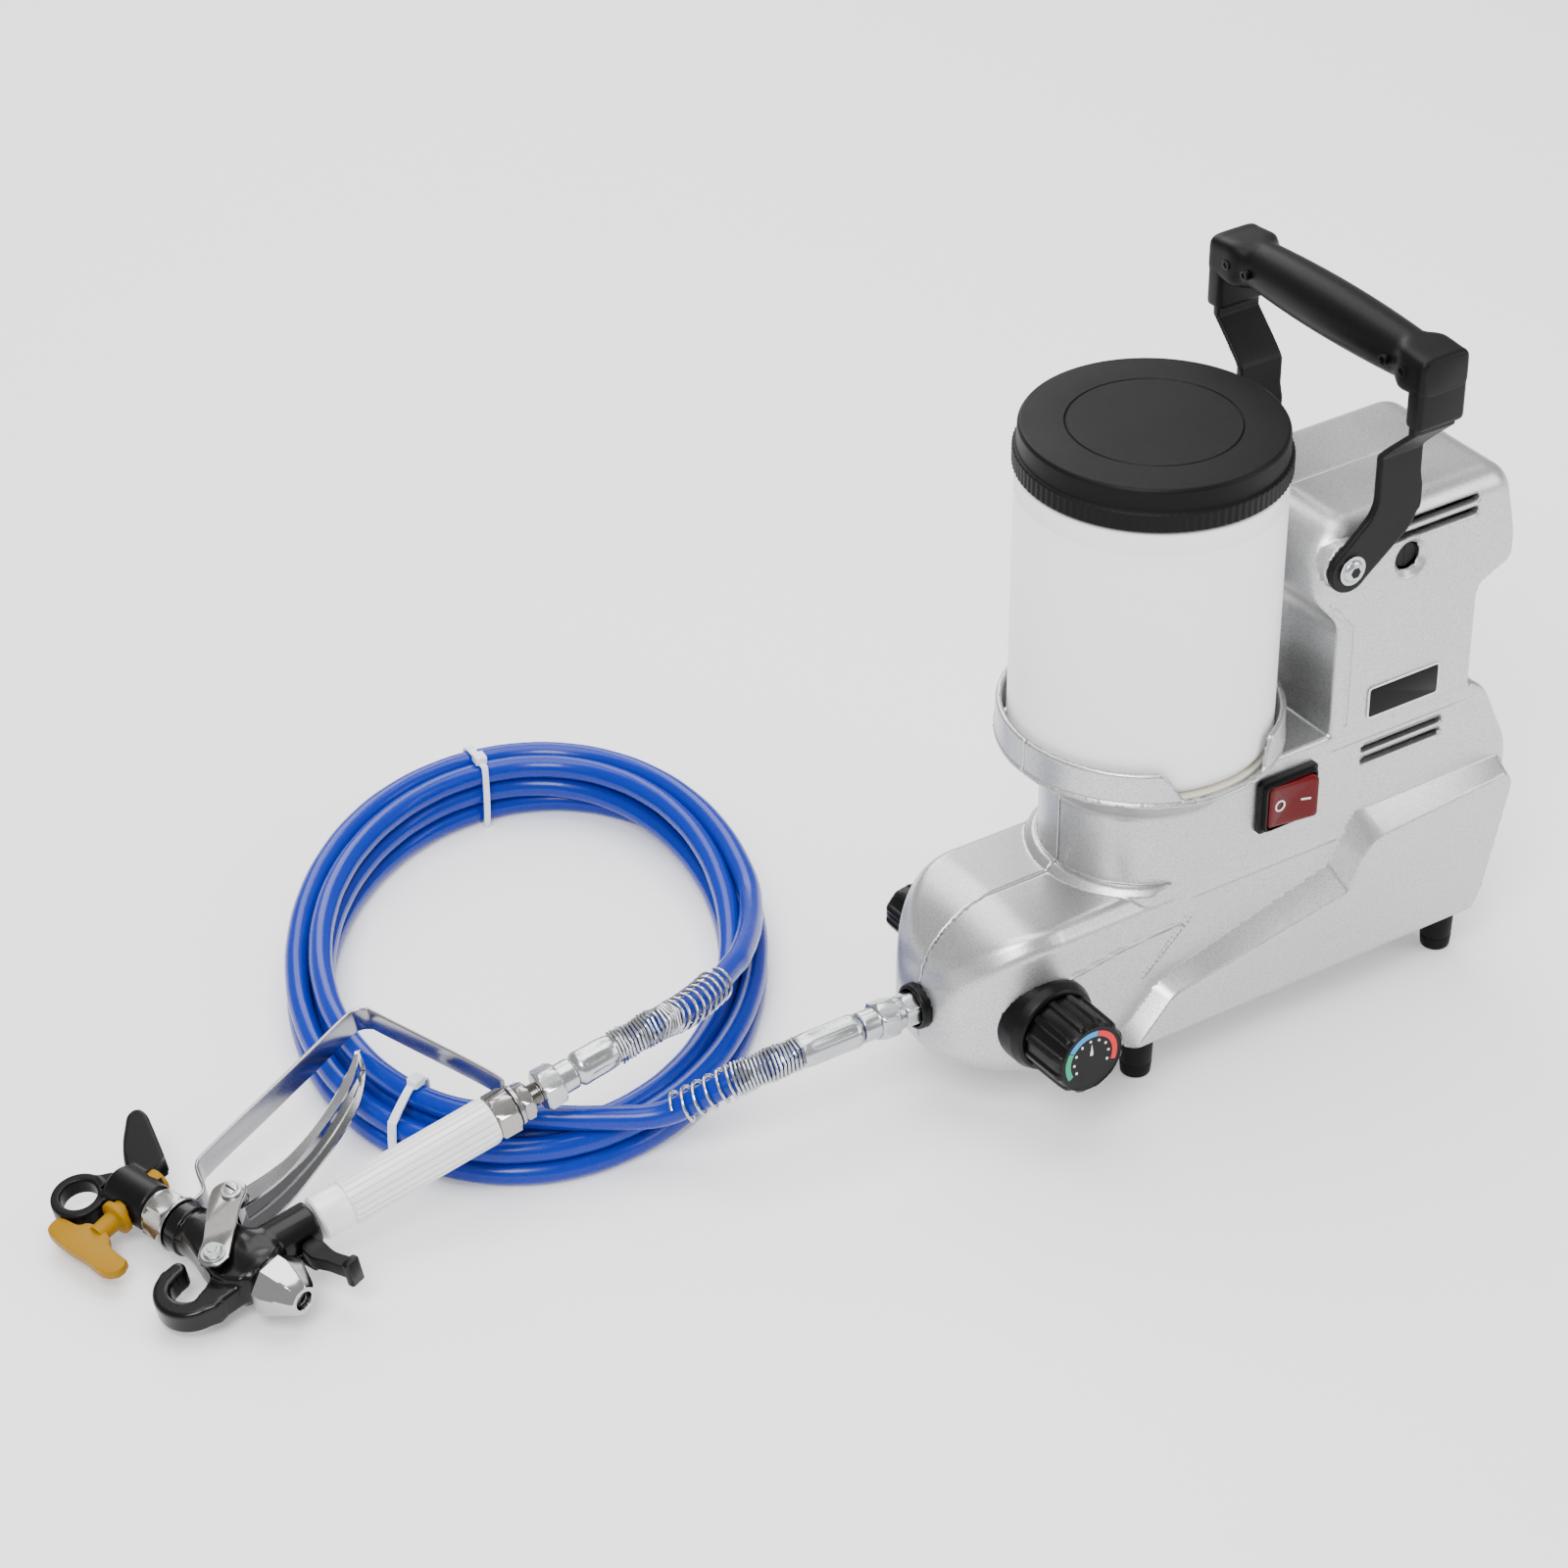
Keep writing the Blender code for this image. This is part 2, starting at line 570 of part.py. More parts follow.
def build_jar(frame):
    """Gasket, jar, lid and the strainer in the jar's outlet."""
    seat = CUP_FLOOR_TOP + FIT_GAP
    piece("jar_gasket", tube(68.0, INLET_BORE + 3.0, seat, seat + GASKET_HEIGHT, sides=ROUND_SIDES),
          "seal", frame)
    foot = seat + GASKET_HEIGHT + FIT_GAP
    rim = LID_TOP - LID_PLATE - FIT_GAP
    outer = [(JAR_RADIUS - JAR_FOOT_ROUND + JAR_FOOT_ROUND * math.sin(a),
              foot + JAR_FOOT_ROUND - JAR_FOOT_ROUND * math.cos(a))
             for a in (0.0, math.radians(30), math.radians(60), math.radians(90))]
    outer += [(JAR_RADIUS, JAR_SHOULDER), (JAR_NECK_RADIUS, JAR_SHOULDER + 1.0), (JAR_NECK_RADIUS, rim)]
    inner_radius = JAR_RADIUS - JAR_WALL
    neck_inner = JAR_NECK_RADIUS - JAR_WALL
    inner = [(neck_inner, rim), (neck_inner, JAR_SHOULDER - 3.0), (inner_radius, JAR_SHOULDER - 6.0),
             (inner_radius, foot + JAR_FOOT_ROUND), (inner_radius - 6.0, foot + 4.0),
             (INLET_BORE, foot + JAR_WALL)]
    profile = [(INLET_BORE, foot)] + outer + inner
    piece("jar", turned(profile, sides=ROUND_SIDES), "jar_plastic", frame, (0, 0, foot), 40.0)
    lid_inner = JAR_NECK_RADIUS + 0.4
    lid_profile = [(0.0, LID_TOP), (LID_RADIUS - 2.0, LID_TOP), (LID_RADIUS, LID_TOP - 2.0),
                   (LID_RADIUS, LID_BAND_TOP), (LID_BAND_RADIUS, LID_BAND_TOP - 0.5),
                   (LID_BAND_RADIUS, LID_BAND_BOTTOM), (lid_inner, LID_BAND_BOTTOM),
                   (lid_inner, LID_TOP - LID_PLATE), (0.0, LID_TOP - LID_PLATE)]
    piece("jar_lid", turned(lid_profile, sides=ROUND_SIDES), "black_plastic", frame, (0, 0, LID_BAND_BOTTOM))
    strainer = turned([(11.4, CUP_FLOOR_TOP + 1.0), (11.4, foot + 3.5), (15.5, foot + 3.5),
                       (15.5, foot + 5.0), (13.0, foot + 20.0), (10.5, foot + 20.0),
                       (10.5, CUP_FLOOR_TOP + 1.0)], sides=20)
    piece("strainer", strainer, "steel", frame)


# ---------------------------------------------------------------- pump and drive

def gear_outline(teeth, clearance=0.28, turn=0.0):
    """A spur gear's outline with straight-sided teeth."""
    pitch = 0.5 * GEAR_MODULE * teeth
    root = pitch - 1.35 * GEAR_MODULE
    tip = pitch + 0.85 * GEAR_MODULE
    step = 360.0 / teeth
    points = []
    for i in range(teeth):
        middle = turn + step * i
        for radius, share in ((root, -0.34), (tip, -0.13), (tip, 0.13), (root, 0.34)):
            spread = share * step * (1.0 - clearance)
            angle = math.radians(middle + spread)
            points.append((radius * math.cos(angle), radius * math.sin(angle)))
    return points


def build_pump(frame):
    """Pump block, packing, valves, piston and its yoke."""
    z = PUMP_AXIS_Z
    block = box((PUMP_FRONT_X, -PUMP_HALF, z - PUMP_HALF), (PUMP_REAR_X, PUMP_HALF, z + PUMP_HALF))
    bore_end = PISTON_FRONT_X - STROKE / 2.0 - 4.0
    bore = rod(BORE_RADIUS, bore_end, PUMP_REAR_X + 1.0, "X", (0.0, z), 24)
    passage = rod(4.0, PUMP_FRONT_X - 1.0, bore_end + 2.0, "X", (0.0, z), 12)
    inlet_x = bore_end + 6.0
    feed = rod(4.0, z, z + PUMP_HALF + 1.0, "Z", (inlet_x, 0.0), 12)
    piece("pump_block", cut(block, bore, passage, feed), "steel", frame)
    nut = prism(hexagon(30.0, (0.0, z)), PUMP_REAR_X + FIT_GAP, PUMP_REAR_X + 9.0, "X")
    hole = rod(ROD_RADIUS + 0.5, PUMP_REAR_X - 5.0, PUMP_REAR_X + 20.0, "X", (0.0, z))
    piece("packing_nut", cut(nut, hole), "brass", frame)
    crank_x = MOTOR_X - 0.5 * GEAR_MODULE * (GEAR_TEETH + PINION_TEETH)
    window = STROKE + ECCENTRIC_RADIUS + 0.6
    side = STROKE / 2.0 + ECCENTRIC_RADIUS + 0.6
    low, high = z - YOKE_HEIGHT / 2.0, z + YOKE_HEIGHT / 2.0
    yoke = box((crank_x - window - YOKE_WALL, -side - YOKE_WALL, low),
               (crank_x + window + YOKE_WALL, side + YOKE_WALL, high))
    opening = box((crank_x - window, -side, low - 1.0), (crank_x + window, side, high + 1.0))
    bar = rod(ROD_RADIUS, PISTON_FRONT_X + 2.0, crank_x - window - 1.0, "X", (0.0, z))
    head = rod(PISTON_RADIUS, PISTON_FRONT_X, PISTON_FRONT_X + PISTON_LENGTH, "X", (0.0, z), 24)
    piston = cut(union(bar, head, yoke), opening)
    piece("piston", piston, "steel", frame, (PISTON_FRONT_X, 0.0, z))
    top = CUP_FLOOR_TOP - CUP_FLOOR_THICKNESS - FIT_GAP
    feed_profile = [(9.0, z + PUMP_HALF + FIT_GAP), (9.0, 108.0), (18.0, 112.0), (18.0, top),
                    (15.0, top), (15.0, 115.0), (6.5, 110.0), (6.5, z + PUMP_HALF + FIT_GAP)]
    piece("inlet_funnel", bent_funnel(feed_profile, inlet_x), "steel", frame)


def bent_funnel(profile, foot_x):
    """The funnel from the cup's floor down to the pump, leaning from the jar's axis to foot_x."""
    shape = turned(profile, sides=20)
    low = min(height for _, height in profile)
    high = 112.0
    for corner in shape.verts:
        lean = max(0.0, min(1.0, (high - corner.co.z) / (high - low)))
        corner.co.x += foot_x * lean
    return shape


def build_drive(frame):
    """The crank gear, the rotor with its pinion, the fan, the stator and the brushes."""
    crank_x = MOTOR_X - 0.5 * GEAR_MODULE * (GEAR_TEETH + PINION_TEETH)
    crank = (crank_x, 0.0)
    gear = prism(gear_outline(GEAR_TEETH), GEAR_Z, GEAR_Z + GEAR_THICKNESS)
    bmesh.ops.translate(gear, verts=gear.verts, vec=(crank_x, 0.0, 0.0))
    shaft_low, shaft_high = 42.0, 150.0
    hub = turned([(0.0, shaft_low), (CRANK_SHAFT_RADIUS, shaft_low), (CRANK_SHAFT_RADIUS, GEAR_Z - 8.0),
                  (11.0, GEAR_Z - 8.0), (11.0, GEAR_Z + GEAR_THICKNESS + 3.0),
                  (CRANK_SHAFT_RADIUS, GEAR_Z + GEAR_THICKNESS + 3.0), (CRANK_SHAFT_RADIUS, shaft_high),
                  (0.0, shaft_high)], centre=crank)
    low, high = PUMP_AXIS_Z - 7.0, PUMP_AXIS_Z + 7.0
    eccentric = rod(ECCENTRIC_RADIUS, low, high, "Z", (crank_x - STROKE / 2.0, 0.0), 24)
    piece("crank_gear", union(gear, hub, eccentric), "steel", frame, (crank_x, 0.0, GEAR_Z))
    half_step = 180.0 / PINION_TEETH
    pinion = prism(gear_outline(PINION_TEETH, 0.28, half_step), GEAR_Z - 2.0, GEAR_Z + GEAR_THICKNESS + 2.0)
    bmesh.ops.translate(pinion, verts=pinion.verts, vec=(MOTOR_X, 0.0, 0.0))
    motor = (MOTOR_X, 0.0)
    shaft = rod(SHAFT_RADIUS, GEAR_Z + GEAR_THICKNESS, 296.0, "Z", motor)
    piece("rotor_shaft", union(pinion, shaft), "steel", frame, (MOTOR_X, 0.0, GEAR_Z))
    top = STATOR_BOTTOM + STATOR_HEIGHT
    sleeve = SHAFT_RADIUS + FIT_GAP
    windings = turned([(sleeve, STATOR_BOTTOM + 3.0), (ARMATURE_RADIUS, STATOR_BOTTOM + 3.0),
                       (ARMATURE_RADIUS, top - 3.0), (14.0, top), (14.0, BRUSH_Z + 7.0),
                       (sleeve, BRUSH_Z + 7.0)], "Z", motor, 24)
    piece("armature", windings, "copper", frame, (MOTOR_X, 0.0, STATOR_BOTTOM))
    piece("cooling_fan", fan_wheel(motor, sleeve), "black_plastic", frame, (MOTOR_X, 0.0, 187.0))
    piece("stator", tube(STATOR_RADIUS, ARMATURE_RADIUS + 1.0, STATOR_BOTTOM, top, "Z", motor, 32),
          "steel", frame)
    piece("rotor_bearing", tube(13.0, sleeve, 283.0, 291.0, "Z", motor), "chrome", frame)
    plate = cut(box((22.0, -34.0, 156.0), (182.0, 47.0, 161.0)),
                rod(SHAFT_RADIUS + 1.0, 140.0, 170.0, "Z", motor))
    piece("gearbox_plate", plate, "steel", frame)
    for name, side in (("brush_holder_near", -1), ("brush_holder_far", 1)):
        profile = [(0.0, side * 48.0), (7.5, side * 48.0), (7.5, side * 44.0), (6.0, side * 44.0),
                   (6.0, side * 14.6), (0.0, side * 14.6)]
        piece(name, turned(profile, "Y", (MOTOR_X, BRUSH_Z)), "black_plastic", frame)


def fan_wheel(centre, bore):
    """A flat disc with upright blades."""
    disc = tube(30.0, bore, 187.0, 189.5, "Z", centre, 24)
    blades = []
    for i in range(8):
        blade = box((9.0, -1.0, 188.5), (29.0, 1.0, 197.0))
        turn = Matrix.Translation((centre[0], centre[1], 0.0)) @ Matrix.Rotation(math.tau * i / 8, 4, "Z")
        blades.append(placed(blade, turn))
    return union(disc, *blades)


# ---------------------------------------------------------------- controls

def fluted(radius, depth, low, high, axis, centre, flutes=18, sides=72):
    """A knob's grip with shallow flutes."""
    outline = []
    for i in range(sides):
        angle = math.tau * i / sides
        wave = 0.5 + 0.5 * math.cos(flutes * angle)
        distance = radius - depth * (wave > 0.6)
        outline.append((centre[0] + distance * math.cos(angle), centre[1] + distance * math.sin(angle)))
    return prism(outline, low, high, axis)


def build_controls(frame):
    """Pressure knob and its collar, drain knob, switch, rating plate and cable gland."""
    centre = (KNOB_X, KNOB_Z)
    collar = turned([(COLLAR_RADIUS, -41.0), (COLLAR_RADIUS, -54.0), (23.5, -COLLAR_FACE_Y),
                     (8.3, -COLLAR_FACE_Y), (8.3, -41.0)], "Y", centre, 28)
    piece("pressure_knob_collar", collar, "black_plastic", frame)
    low = -KNOB_FACE_Y
    high = -COLLAR_FACE_Y - FIT_GAP
    knob = union(fluted(KNOB_RADIUS, 0.9, low + 2.0, high, "Y", centre),
                 rod(KNOB_RADIUS - 1.6, low, low + 3.0, "Y", centre, 36),
                 rod(STEM_RADIUS, high - 5.0, -PUMP_HALF - FIT_GAP, "Y", centre, 16))
    piece("pressure_knob", knob, "black_plastic", frame, (KNOB_X, low, KNOB_Z))
    drain_low = BODY_HALF_WIDTH + 1.5
    drain = union(fluted(DRAIN_RADIUS, 0.8, drain_low, DRAIN_FACE_Y - 1.5, "Y", centre, 12, 48),
                  rod(DRAIN_RADIUS - 1.4, DRAIN_FACE_Y - 2.5, DRAIN_FACE_Y, "Y", centre, 24),
                  rod(STEM_RADIUS, PUMP_HALF + FIT_GAP, drain_low + 5.0, "Y", centre, 16))
    piece("drain_knob", drain, "black_plastic", frame, (KNOB_X, DRAIN_FACE_Y, KNOB_Z))
    wall = BODY_HALF_WIDTH + FIT_GAP
    half_w, half_h = SWITCH_WIDTH / 2.0, SWITCH_HEIGHT / 2.0
    bezel = box((SWITCH_X - half_w, -wall - 5.0, SWITCH_Z - half_h),
                (SWITCH_X + half_w, -wall, SWITCH_Z + half_h))
    body = box((SWITCH_X - 14.6, -wall - 1.0, SWITCH_Z - 11.6), (SWITCH_X + 14.6, -36.0, SWITCH_Z + 11.6))
    half_rw, half_rh = ROCKER_WIDTH / 2.0, ROCKER_HEIGHT / 2.0
    well = box((SWITCH_X - half_rw - 1.0, -wall - 6.0, SWITCH_Z - half_rh - 0.5),
               (SWITCH_X + half_rw + 1.0, -wall - 1.5, SWITCH_Z + half_rh + 0.5))
    middle = box((SWITCH_X - 12.5, -wall - 3.0, SWITCH_Z - 9.5), (SWITCH_X + 12.5, -42.0, SWITCH_Z + 9.5))
    piece("switch_bezel", cut(union(bezel, body), well, middle), "black_plastic", frame)
    face = wall + 5.8
    back = wall + 2.6
    rocker = prism([(SWITCH_X - half_rw, -back), (SWITCH_X - half_rw, -face - 0.4), (SWITCH_X, -face + 1.6),
                    (SWITCH_X + half_rw, -face - 4.0), (SWITCH_X + half_rw, -back - 2.6),
                    (SWITCH_X + 4.0, -back), (SWITCH_X + 3.0, -46.0), (SWITCH_X - 3.0, -46.0),
                    (SWITCH_X - 4.0, -back)],
                   SWITCH_Z - half_rh, SWITCH_Z + half_rh)
    keel = box((SWITCH_X - 20.0, -back + 0.01, SWITCH_Z - half_rh - 1.0),
               (SWITCH_X + 20.0, -30.0, SWITCH_Z - 9.0))
    keel_top = box((SWITCH_X - 20.0, -back + 0.01, SWITCH_Z + 9.0),
                   (SWITCH_X + 20.0, -30.0, SWITCH_Z + half_rh + 1.0))
    piece("switch_rocker", cut(rocker, keel, keel_top), "red_plastic", frame, (SWITCH_X, -back, SWITCH_Z))
    piece("rating_plate", box((113.3, -wall - 0.8, 181.5), (163.4, -wall, 201.5)), "black_plastic", frame)
    gland = turned([(0.0, 178.0), (6.0, 178.0), (6.0, 183.0), (7.6, 183.0), (7.6, 187.3), (10.0, 187.3),
                    (10.0, 190.0), (6.5, 199.0), (4.2, 199.0), (4.2, 180.0), (0.0, 180.0)], "X",
                   (0.0, 205.0))
    piece("mains_gland", gland, "rubber", frame)


# ---------------------------------------------------------------- carry handle

def arm_solid():
    """The near arm: flat eye and diagonal, an outward joggle, then the stretch into the grip."""
    inner = BODY_HALF_WIDTH + PIVOT_BOSS_HEIGHT + FIT_GAP
    outer = inner + ARM_THICKNESS
    half = ARM_WIDTH / 2.0
    pivot_x, pivot_z = HANDLE_PIVOT_X, HANDLE_PIVOT_Z
    bend = ARM_X - half
    flat = circle(ARM_EYE_RADIUS, (pivot_x, pivot_z), 10, 120.0, 200.0)
    flat += [(ARM_X + half, pivot_z + 17.0), (ARM_X + half, ARM_JOGGLE_Z), (bend, ARM_JOGGLE_Z),
             (bend, pivot_z + 30.0)]
    lower = prism(flat, -outer, -inner, "Y")
    high = ARM_JOGGLE_Z + ARM_JOGGLE_RISE
    top = GRIP_Z + 6.0
    strip = [(-inner, ARM_JOGGLE_Z - 6.0), (-inner, ARM_JOGGLE_Z), (-inner - ARM_JOGGLE, high),
             (-inner - ARM_JOGGLE, top), (-outer - ARM_JOGGLE, top), (-outer - ARM_JOGGLE, high),
             (-outer, ARM_JOGGLE_Z), (-outer, ARM_JOGGLE_Z - 6.0)]
    upper = prism(strip, bend, ARM_X + half, "X")
    return cut(union(lower, upper), rod(2.9, -80.0, -40.0, "Y", (pivot_x, pivot_z), 12))


def grip_solid():
    """The spindle grip with flattened ends, slotted from below for the arms."""
    rings = []
    steps = 12
    sides = 16
    for i in range(steps + 1):
        along = -GRIP_HALF_LENGTH + 2.0 * GRIP_HALF_LENGTH * i / steps
        share = abs(along) / GRIP_HALF_LENGTH
        swell = math.cos(min(1.0, share * 1.08) * math.pi / 2.0) ** 0.8
        height = GRIP_END_HEIGHT + (GRIP_MIDDLE_RADIUS - GRIP_END_HEIGHT) * swell
        flat_share = max(0.0, (share - 0.7) / 0.3)
        width = height + (GRIP_END_WIDTH - height) * flat_share
        if i in (0, steps):
            height -= 2.5
            width -= 2.5
        angles = [math.tau * (k + 0.5) / sides for k in range(sides)]
        rings.append([(ARM_X + width * math.cos(a), along, GRIP_Z + height * math.sin(a)) for a in angles])
    inner = BODY_HALF_WIDTH + PIVOT_BOSS_HEIGHT + FIT_GAP + ARM_JOGGLE
    half = ARM_WIDTH / 2.0 + FIT_GAP
    shape = sections(rings)
    pockets = []
    for side in (-1, 1):
        ends = sorted((side * (inner - FIT_GAP), side * (inner + ARM_THICKNESS + FIT_GAP)))
        pockets.append(box((ARM_X - half, ends[0], GRIP_Z - 30.0),
                           (ARM_X + half, ends[1], GRIP_Z + 6.0 + FIT_GAP)))
        pockets.append(rod(2.6, ARM_X - 30.0, ARM_X - 8.0, "X", (side * 62.0, GRIP_Z), 12))
    return cut(shape, *pockets)


def build_handle(frame):
    """Two bent arms, the grip and the two pivot screws."""
    pivot = (HANDLE_PIVOT_X, 0.0, HANDLE_PIVOT_Z)
    near = arm_solid()
    far = mirrored(near)
    piece("handle_arm_near", near, "black_steel", frame, pivot)
    piece("handle_arm_far", far, "black_steel", frame, pivot)
    piece("handle_grip", grip_solid(), "black_plastic", frame, pivot, 40.0)
    outer = BODY_HALF_WIDTH + PIVOT_BOSS_HEIGHT + FIT_GAP + ARM_THICKNESS + FIT_GAP
    for name, side in (("handle_screw_near", -1), ("handle_screw_far", 1)):
        profile = [(0.0, side * (outer + 3.0)), (4.0, side * (outer + 2.7)), (6.0, side * (outer + 0.8)),
                   (6.0, side * outer), (2.2, side * outer), (2.2, side * 44.0), (0.0, side * 44.0)]
        piece(name, turned(profile, "Y", (HANDLE_PIVOT_X, HANDLE_PIVOT_Z)), "zinc", frame)


# ---------------------------------------------------------------- hose and its fittings

def hexagon(across_flats, centre=(0.0, 0.0)):
    """A hexagon's corners."""
    return circle(across_flats / math.sqrt(3.0), centre, 6, 30.0)


def build_outlet(frame):
    """The pump's outlet pipe and the hose's fixed end."""
    centre = (0.0, PUMP_AXIS_Z)
    pipe = prism(circle(7.5, centre), NOSE_TIP_X + 8.0, PUMP_FRONT_X - FIT_GAP, "X")
    head = prism(hexagon(17.0, centre), NOSE_TIP_X - 8.0, NOSE_TIP_X + 9.0, "X")
    thread = rod(6.2, NOSE_TIP_X - 16.0, NOSE_TIP_X - 7.0, "X", centre)
    bore = rod(3.0, NOSE_TIP_X - 20.0, PUMP_FRONT_X + 5.0, "X", centre, 10)
    piece("outlet_fitting", cut(union(pipe, head, thread), bore), "zinc", frame)
    nut_front = NOSE_TIP_X - 8.0 - FIT_GAP
    nut = union(prism(hexagon(20.0, centre), nut_front - 16.0, nut_front - 4.0, "X"),
                rod(8.6, nut_front - 26.0, nut_front - 15.0, "X", centre),
                rod(9.0, nut_front - 5.0, nut_front, "X", centre))
    socket = rod(6.5, nut_front - 8.0 - FIT_GAP, nut_front + 1.0, "X", centre)
    piece("hose_nut", cut(nut, socket), "zinc", frame)
    ferrule_front = nut_front - 26.0 - FIT_GAP
    profile = [(0.0, ferrule_front), (6.5, ferrule_front), (9.6, ferrule_front - 5.0),
               (9.6, ferrule_front - 24.0), (8.2, ferrule_front - 39.0), (0.0, ferrule_front - 39.0)]
    piece("hose_ferrule", turned(profile, "X", centre), "zinc", frame)


def smooth_route(points, spacing):
    """Evenly spaced points on a smooth curve through the given ones."""
    ends = [points[0] * 2 - points[1], *points, points[-1] * 2 - points[-2]]
    dense = []
    for a, b, c, d in zip(ends, ends[1:], ends[2:], ends[3:]):
        for k in range(24):
            t = k / 24.0
            dense.append(0.5 * ((2 * b) + (c - a) * t + (2 * a - 5 * b + 4 * c - d) * t * t
                                + (3 * b - a - 3 * c + d) * t ** 3))
    dense.append(points[-1])
    lengths = [0.0]
    for a, b in zip(dense, dense[1:]):
        lengths.append(lengths[-1] + (b - a).length)
    count = max(2, round(lengths[-1] / spacing))
    even = []
    index = 0
    for k in range(count + 1):
        target = lengths[-1] * k / count
        while index < len(lengths) - 2 and lengths[index + 1] < target:
            index += 1
        share = (target - lengths[index]) / max(1e-9, lengths[index + 1] - lengths[index])
        even.append(dense[index].lerp(dense[index + 1], share))
    return even


def hose_tube(name, points, surface, frame, radius=HOSE_RADIUS):
    """A round tube along a smooth route."""
    curve = bpy.data.curves.new(name, "CURVE")
    curve.dimensions = "3D"
    curve.bevel_depth = radius * MM
    curve.bevel_resolution = 3
    curve.use_fill_caps = True
    spline = curve.splines.new("POLY")
    spline.points.add(len(points) - 1)
    for target, point in zip(spline.points, points):
        target.co = (*(point * MM), 1.0)
    curve.materials.append(finish(surface))
    made = bpy.data.objects.new(name, curve)
    bpy.context.scene.collection.objects.link(made)
    made.parent = frame
    return made


def sleeve_along(points, outer, inner, sides=12):
    """A sleeve that follows a route: an outer and an inner skin joined at both ends."""
    rings = {outer: [], inner: []}
    side = Vector((0.0, 0.0, 1.0))
    for i, point in enumerate(points):
        ahead = (points[min(i + 1, len(points) - 1)] - points[max(i - 1, 0)]).normalized()
        across = ahead.cross(side).normalized()
        upright = across.cross(ahead)
        for radius, loops in rings.items():
            loops.append([point + across * radius * math.cos(math.tau * k / sides)
                          + upright * radius * math.sin(math.tau * k / sides) for k in range(sides)])
    return sections(rings[outer] + rings[inner][::-1], closed=True)


def coil_point(turn, offset, height):
    """A point round the coil's oval: turn in degrees, offset outwards from the bundle's middle."""
    angle = math.radians(turn)
    along, across = COIL_HALF_LENGTH * math.cos(angle), COIL_HALF_WIDTH * math.sin(angle)
    normal = Vector((math.cos(angle) * COIL_HALF_WIDTH, math.sin(angle) * COIL_HALF_LENGTH)).normalized()
    along += offset * normal.x
    across += offset * normal.y
    heading = math.radians(COIL_HEADING)
    return Vector((COIL_X + along * math.cos(heading) - across * math.sin(heading),
                   COIL_Y + along * math.sin(heading) + across * math.cos(heading), height))


def coil_shoulder(turn):
    """How far the bundle's outer top edge is stepped down, most where the gun lies over it."""
    return 4.0 + COIL_SHOULDER_DROP * max(0.0, math.cos(math.radians(turn - 135.0)))


def coil_ring():
    """The coil's outer shape: an oval ring of the bundle's width and height."""
    half = COIL_BUNDLE_WIDTH / 2.0
    top = COIL_BUNDLE_HEIGHT
    corner = 4.0
    rings = []
    for i in range(40):
        turn = 360.0 * i / 40
        drop = coil_shoulder(turn)
        section = [(-half, corner), (corner - half, 0.0), (half - corner, 0.0), (half, corner),
                   (half, top - drop), (half - drop, top), (corner - half, top), (-half, top - corner)]
        rings.append([coil_point(turn, offset, height) for offset, height in section])
    return sections(rings, closed=True)


def tie_ring(turn):
    """A cable tie round the bundle at one place on the coil, over its top and down both sides."""
    drop = coil_shoulder(turn)
    step = math.degrees(TIE_WIDTH / (COIL_HALF_LENGTH + COIL_HALF_WIDTH))
    shape = bmesh.new()
    loops = []
    for angle in (turn - step, turn + step):
        for grow in (FIT_GAP, FIT_GAP + TIE_THICKNESS):
            reach = COIL_BUNDLE_WIDTH / 2.0 + grow
            high = COIL_BUNDLE_HEIGHT + grow
            slope = drop + 0.4 * grow
            corners = [(-reach, TIE_FOOT), (-reach, high), (reach - slope, high), (reach, high - slope),
                       (reach, TIE_FOOT)]
            loops.append([shape.verts.new(coil_point(angle, offset, height)) for offset, height in corners])
    near_in, near_out, far_in, far_out = loops
    last = len(near_in) - 1
    for i in range(last):
        j = i + 1
        shape.faces.new((near_out[i], near_out[j], far_out[j], far_out[i]))
        shape.faces.new((near_in[i], far_in[i], far_in[j], near_in[j]))
        shape.faces.new((near_in[i], near_in[j], near_out[j], near_out[i]))
        shape.faces.new((far_in[i], far_out[i], far_out[j], far_in[j]))
    for i in (0, last):
        shape.faces.new((near_in[i], near_out[i], far_out[i], far_in[i]))
    return outward(shape)


def build_hose(frame, gun_matrix):
    """The hose: its lead from the machine, the coil with its ties, and its lead to the gun."""
    ferrule_end = NOSE_TIP_X - 8.0 - FIT_GAP - 26.0 - FIT_GAP - 39.0
    start = Vector((ferrule_end - 0.5, 0.0, PUMP_AXIS_Z))
    along = Vector((-10.0, 0.0, 0.0))
    route = [start, start + along, start + along * 2.0, Vector((-256.0, 9.0, 56.0)),
             Vector((-272.0, 19.0, 44.0)), Vector((-288.0, 29.5, 33.5))]
    lead = smooth_route(route, 9.0)
    hose_tube("hose_lead_machine", lead, "blue_hose", frame)
    piece("bend_spring_machine", sleeve_along(lead[-7:-1], SPRING_OUTER_RADIUS, SPRING_INNER_RADIUS),
          "chrome", frame)
    piece("hose_coil", coil_ring(), "blue_hose", frame, sharp=50.0)
    piece("cable_tie_far", tie_ring(18.0), "white_nylon", frame)
    piece("cable_tie_near", tie_ring(153.0), "white_nylon", frame)

    end = GUN_NUT_START + HOSE_END_OFFSET + 0.5
    route = [grip_point(gun_matrix, end + along) for along in (0.0, 10.0, 20.0)]
    route += [Vector((-249.0, 62.0, 68.0)), Vector((-218.0, 82.0, 58.5)),
              Vector((-186.0, 106.0, 50.5)), Vector((-160.0, 131.0, 48.2))]
    lead = smooth_route(route, 9.0)
    hose_tube("hose_lead_gun", lead, "blue_hose", frame)
    piece("bend_spring_gun", sleeve_along(lead[1:9], SPRING_OUTER_RADIUS, SPRING_INNER_RADIUS),
          "chrome", frame)


# ---------------------------------------------------------------- gun

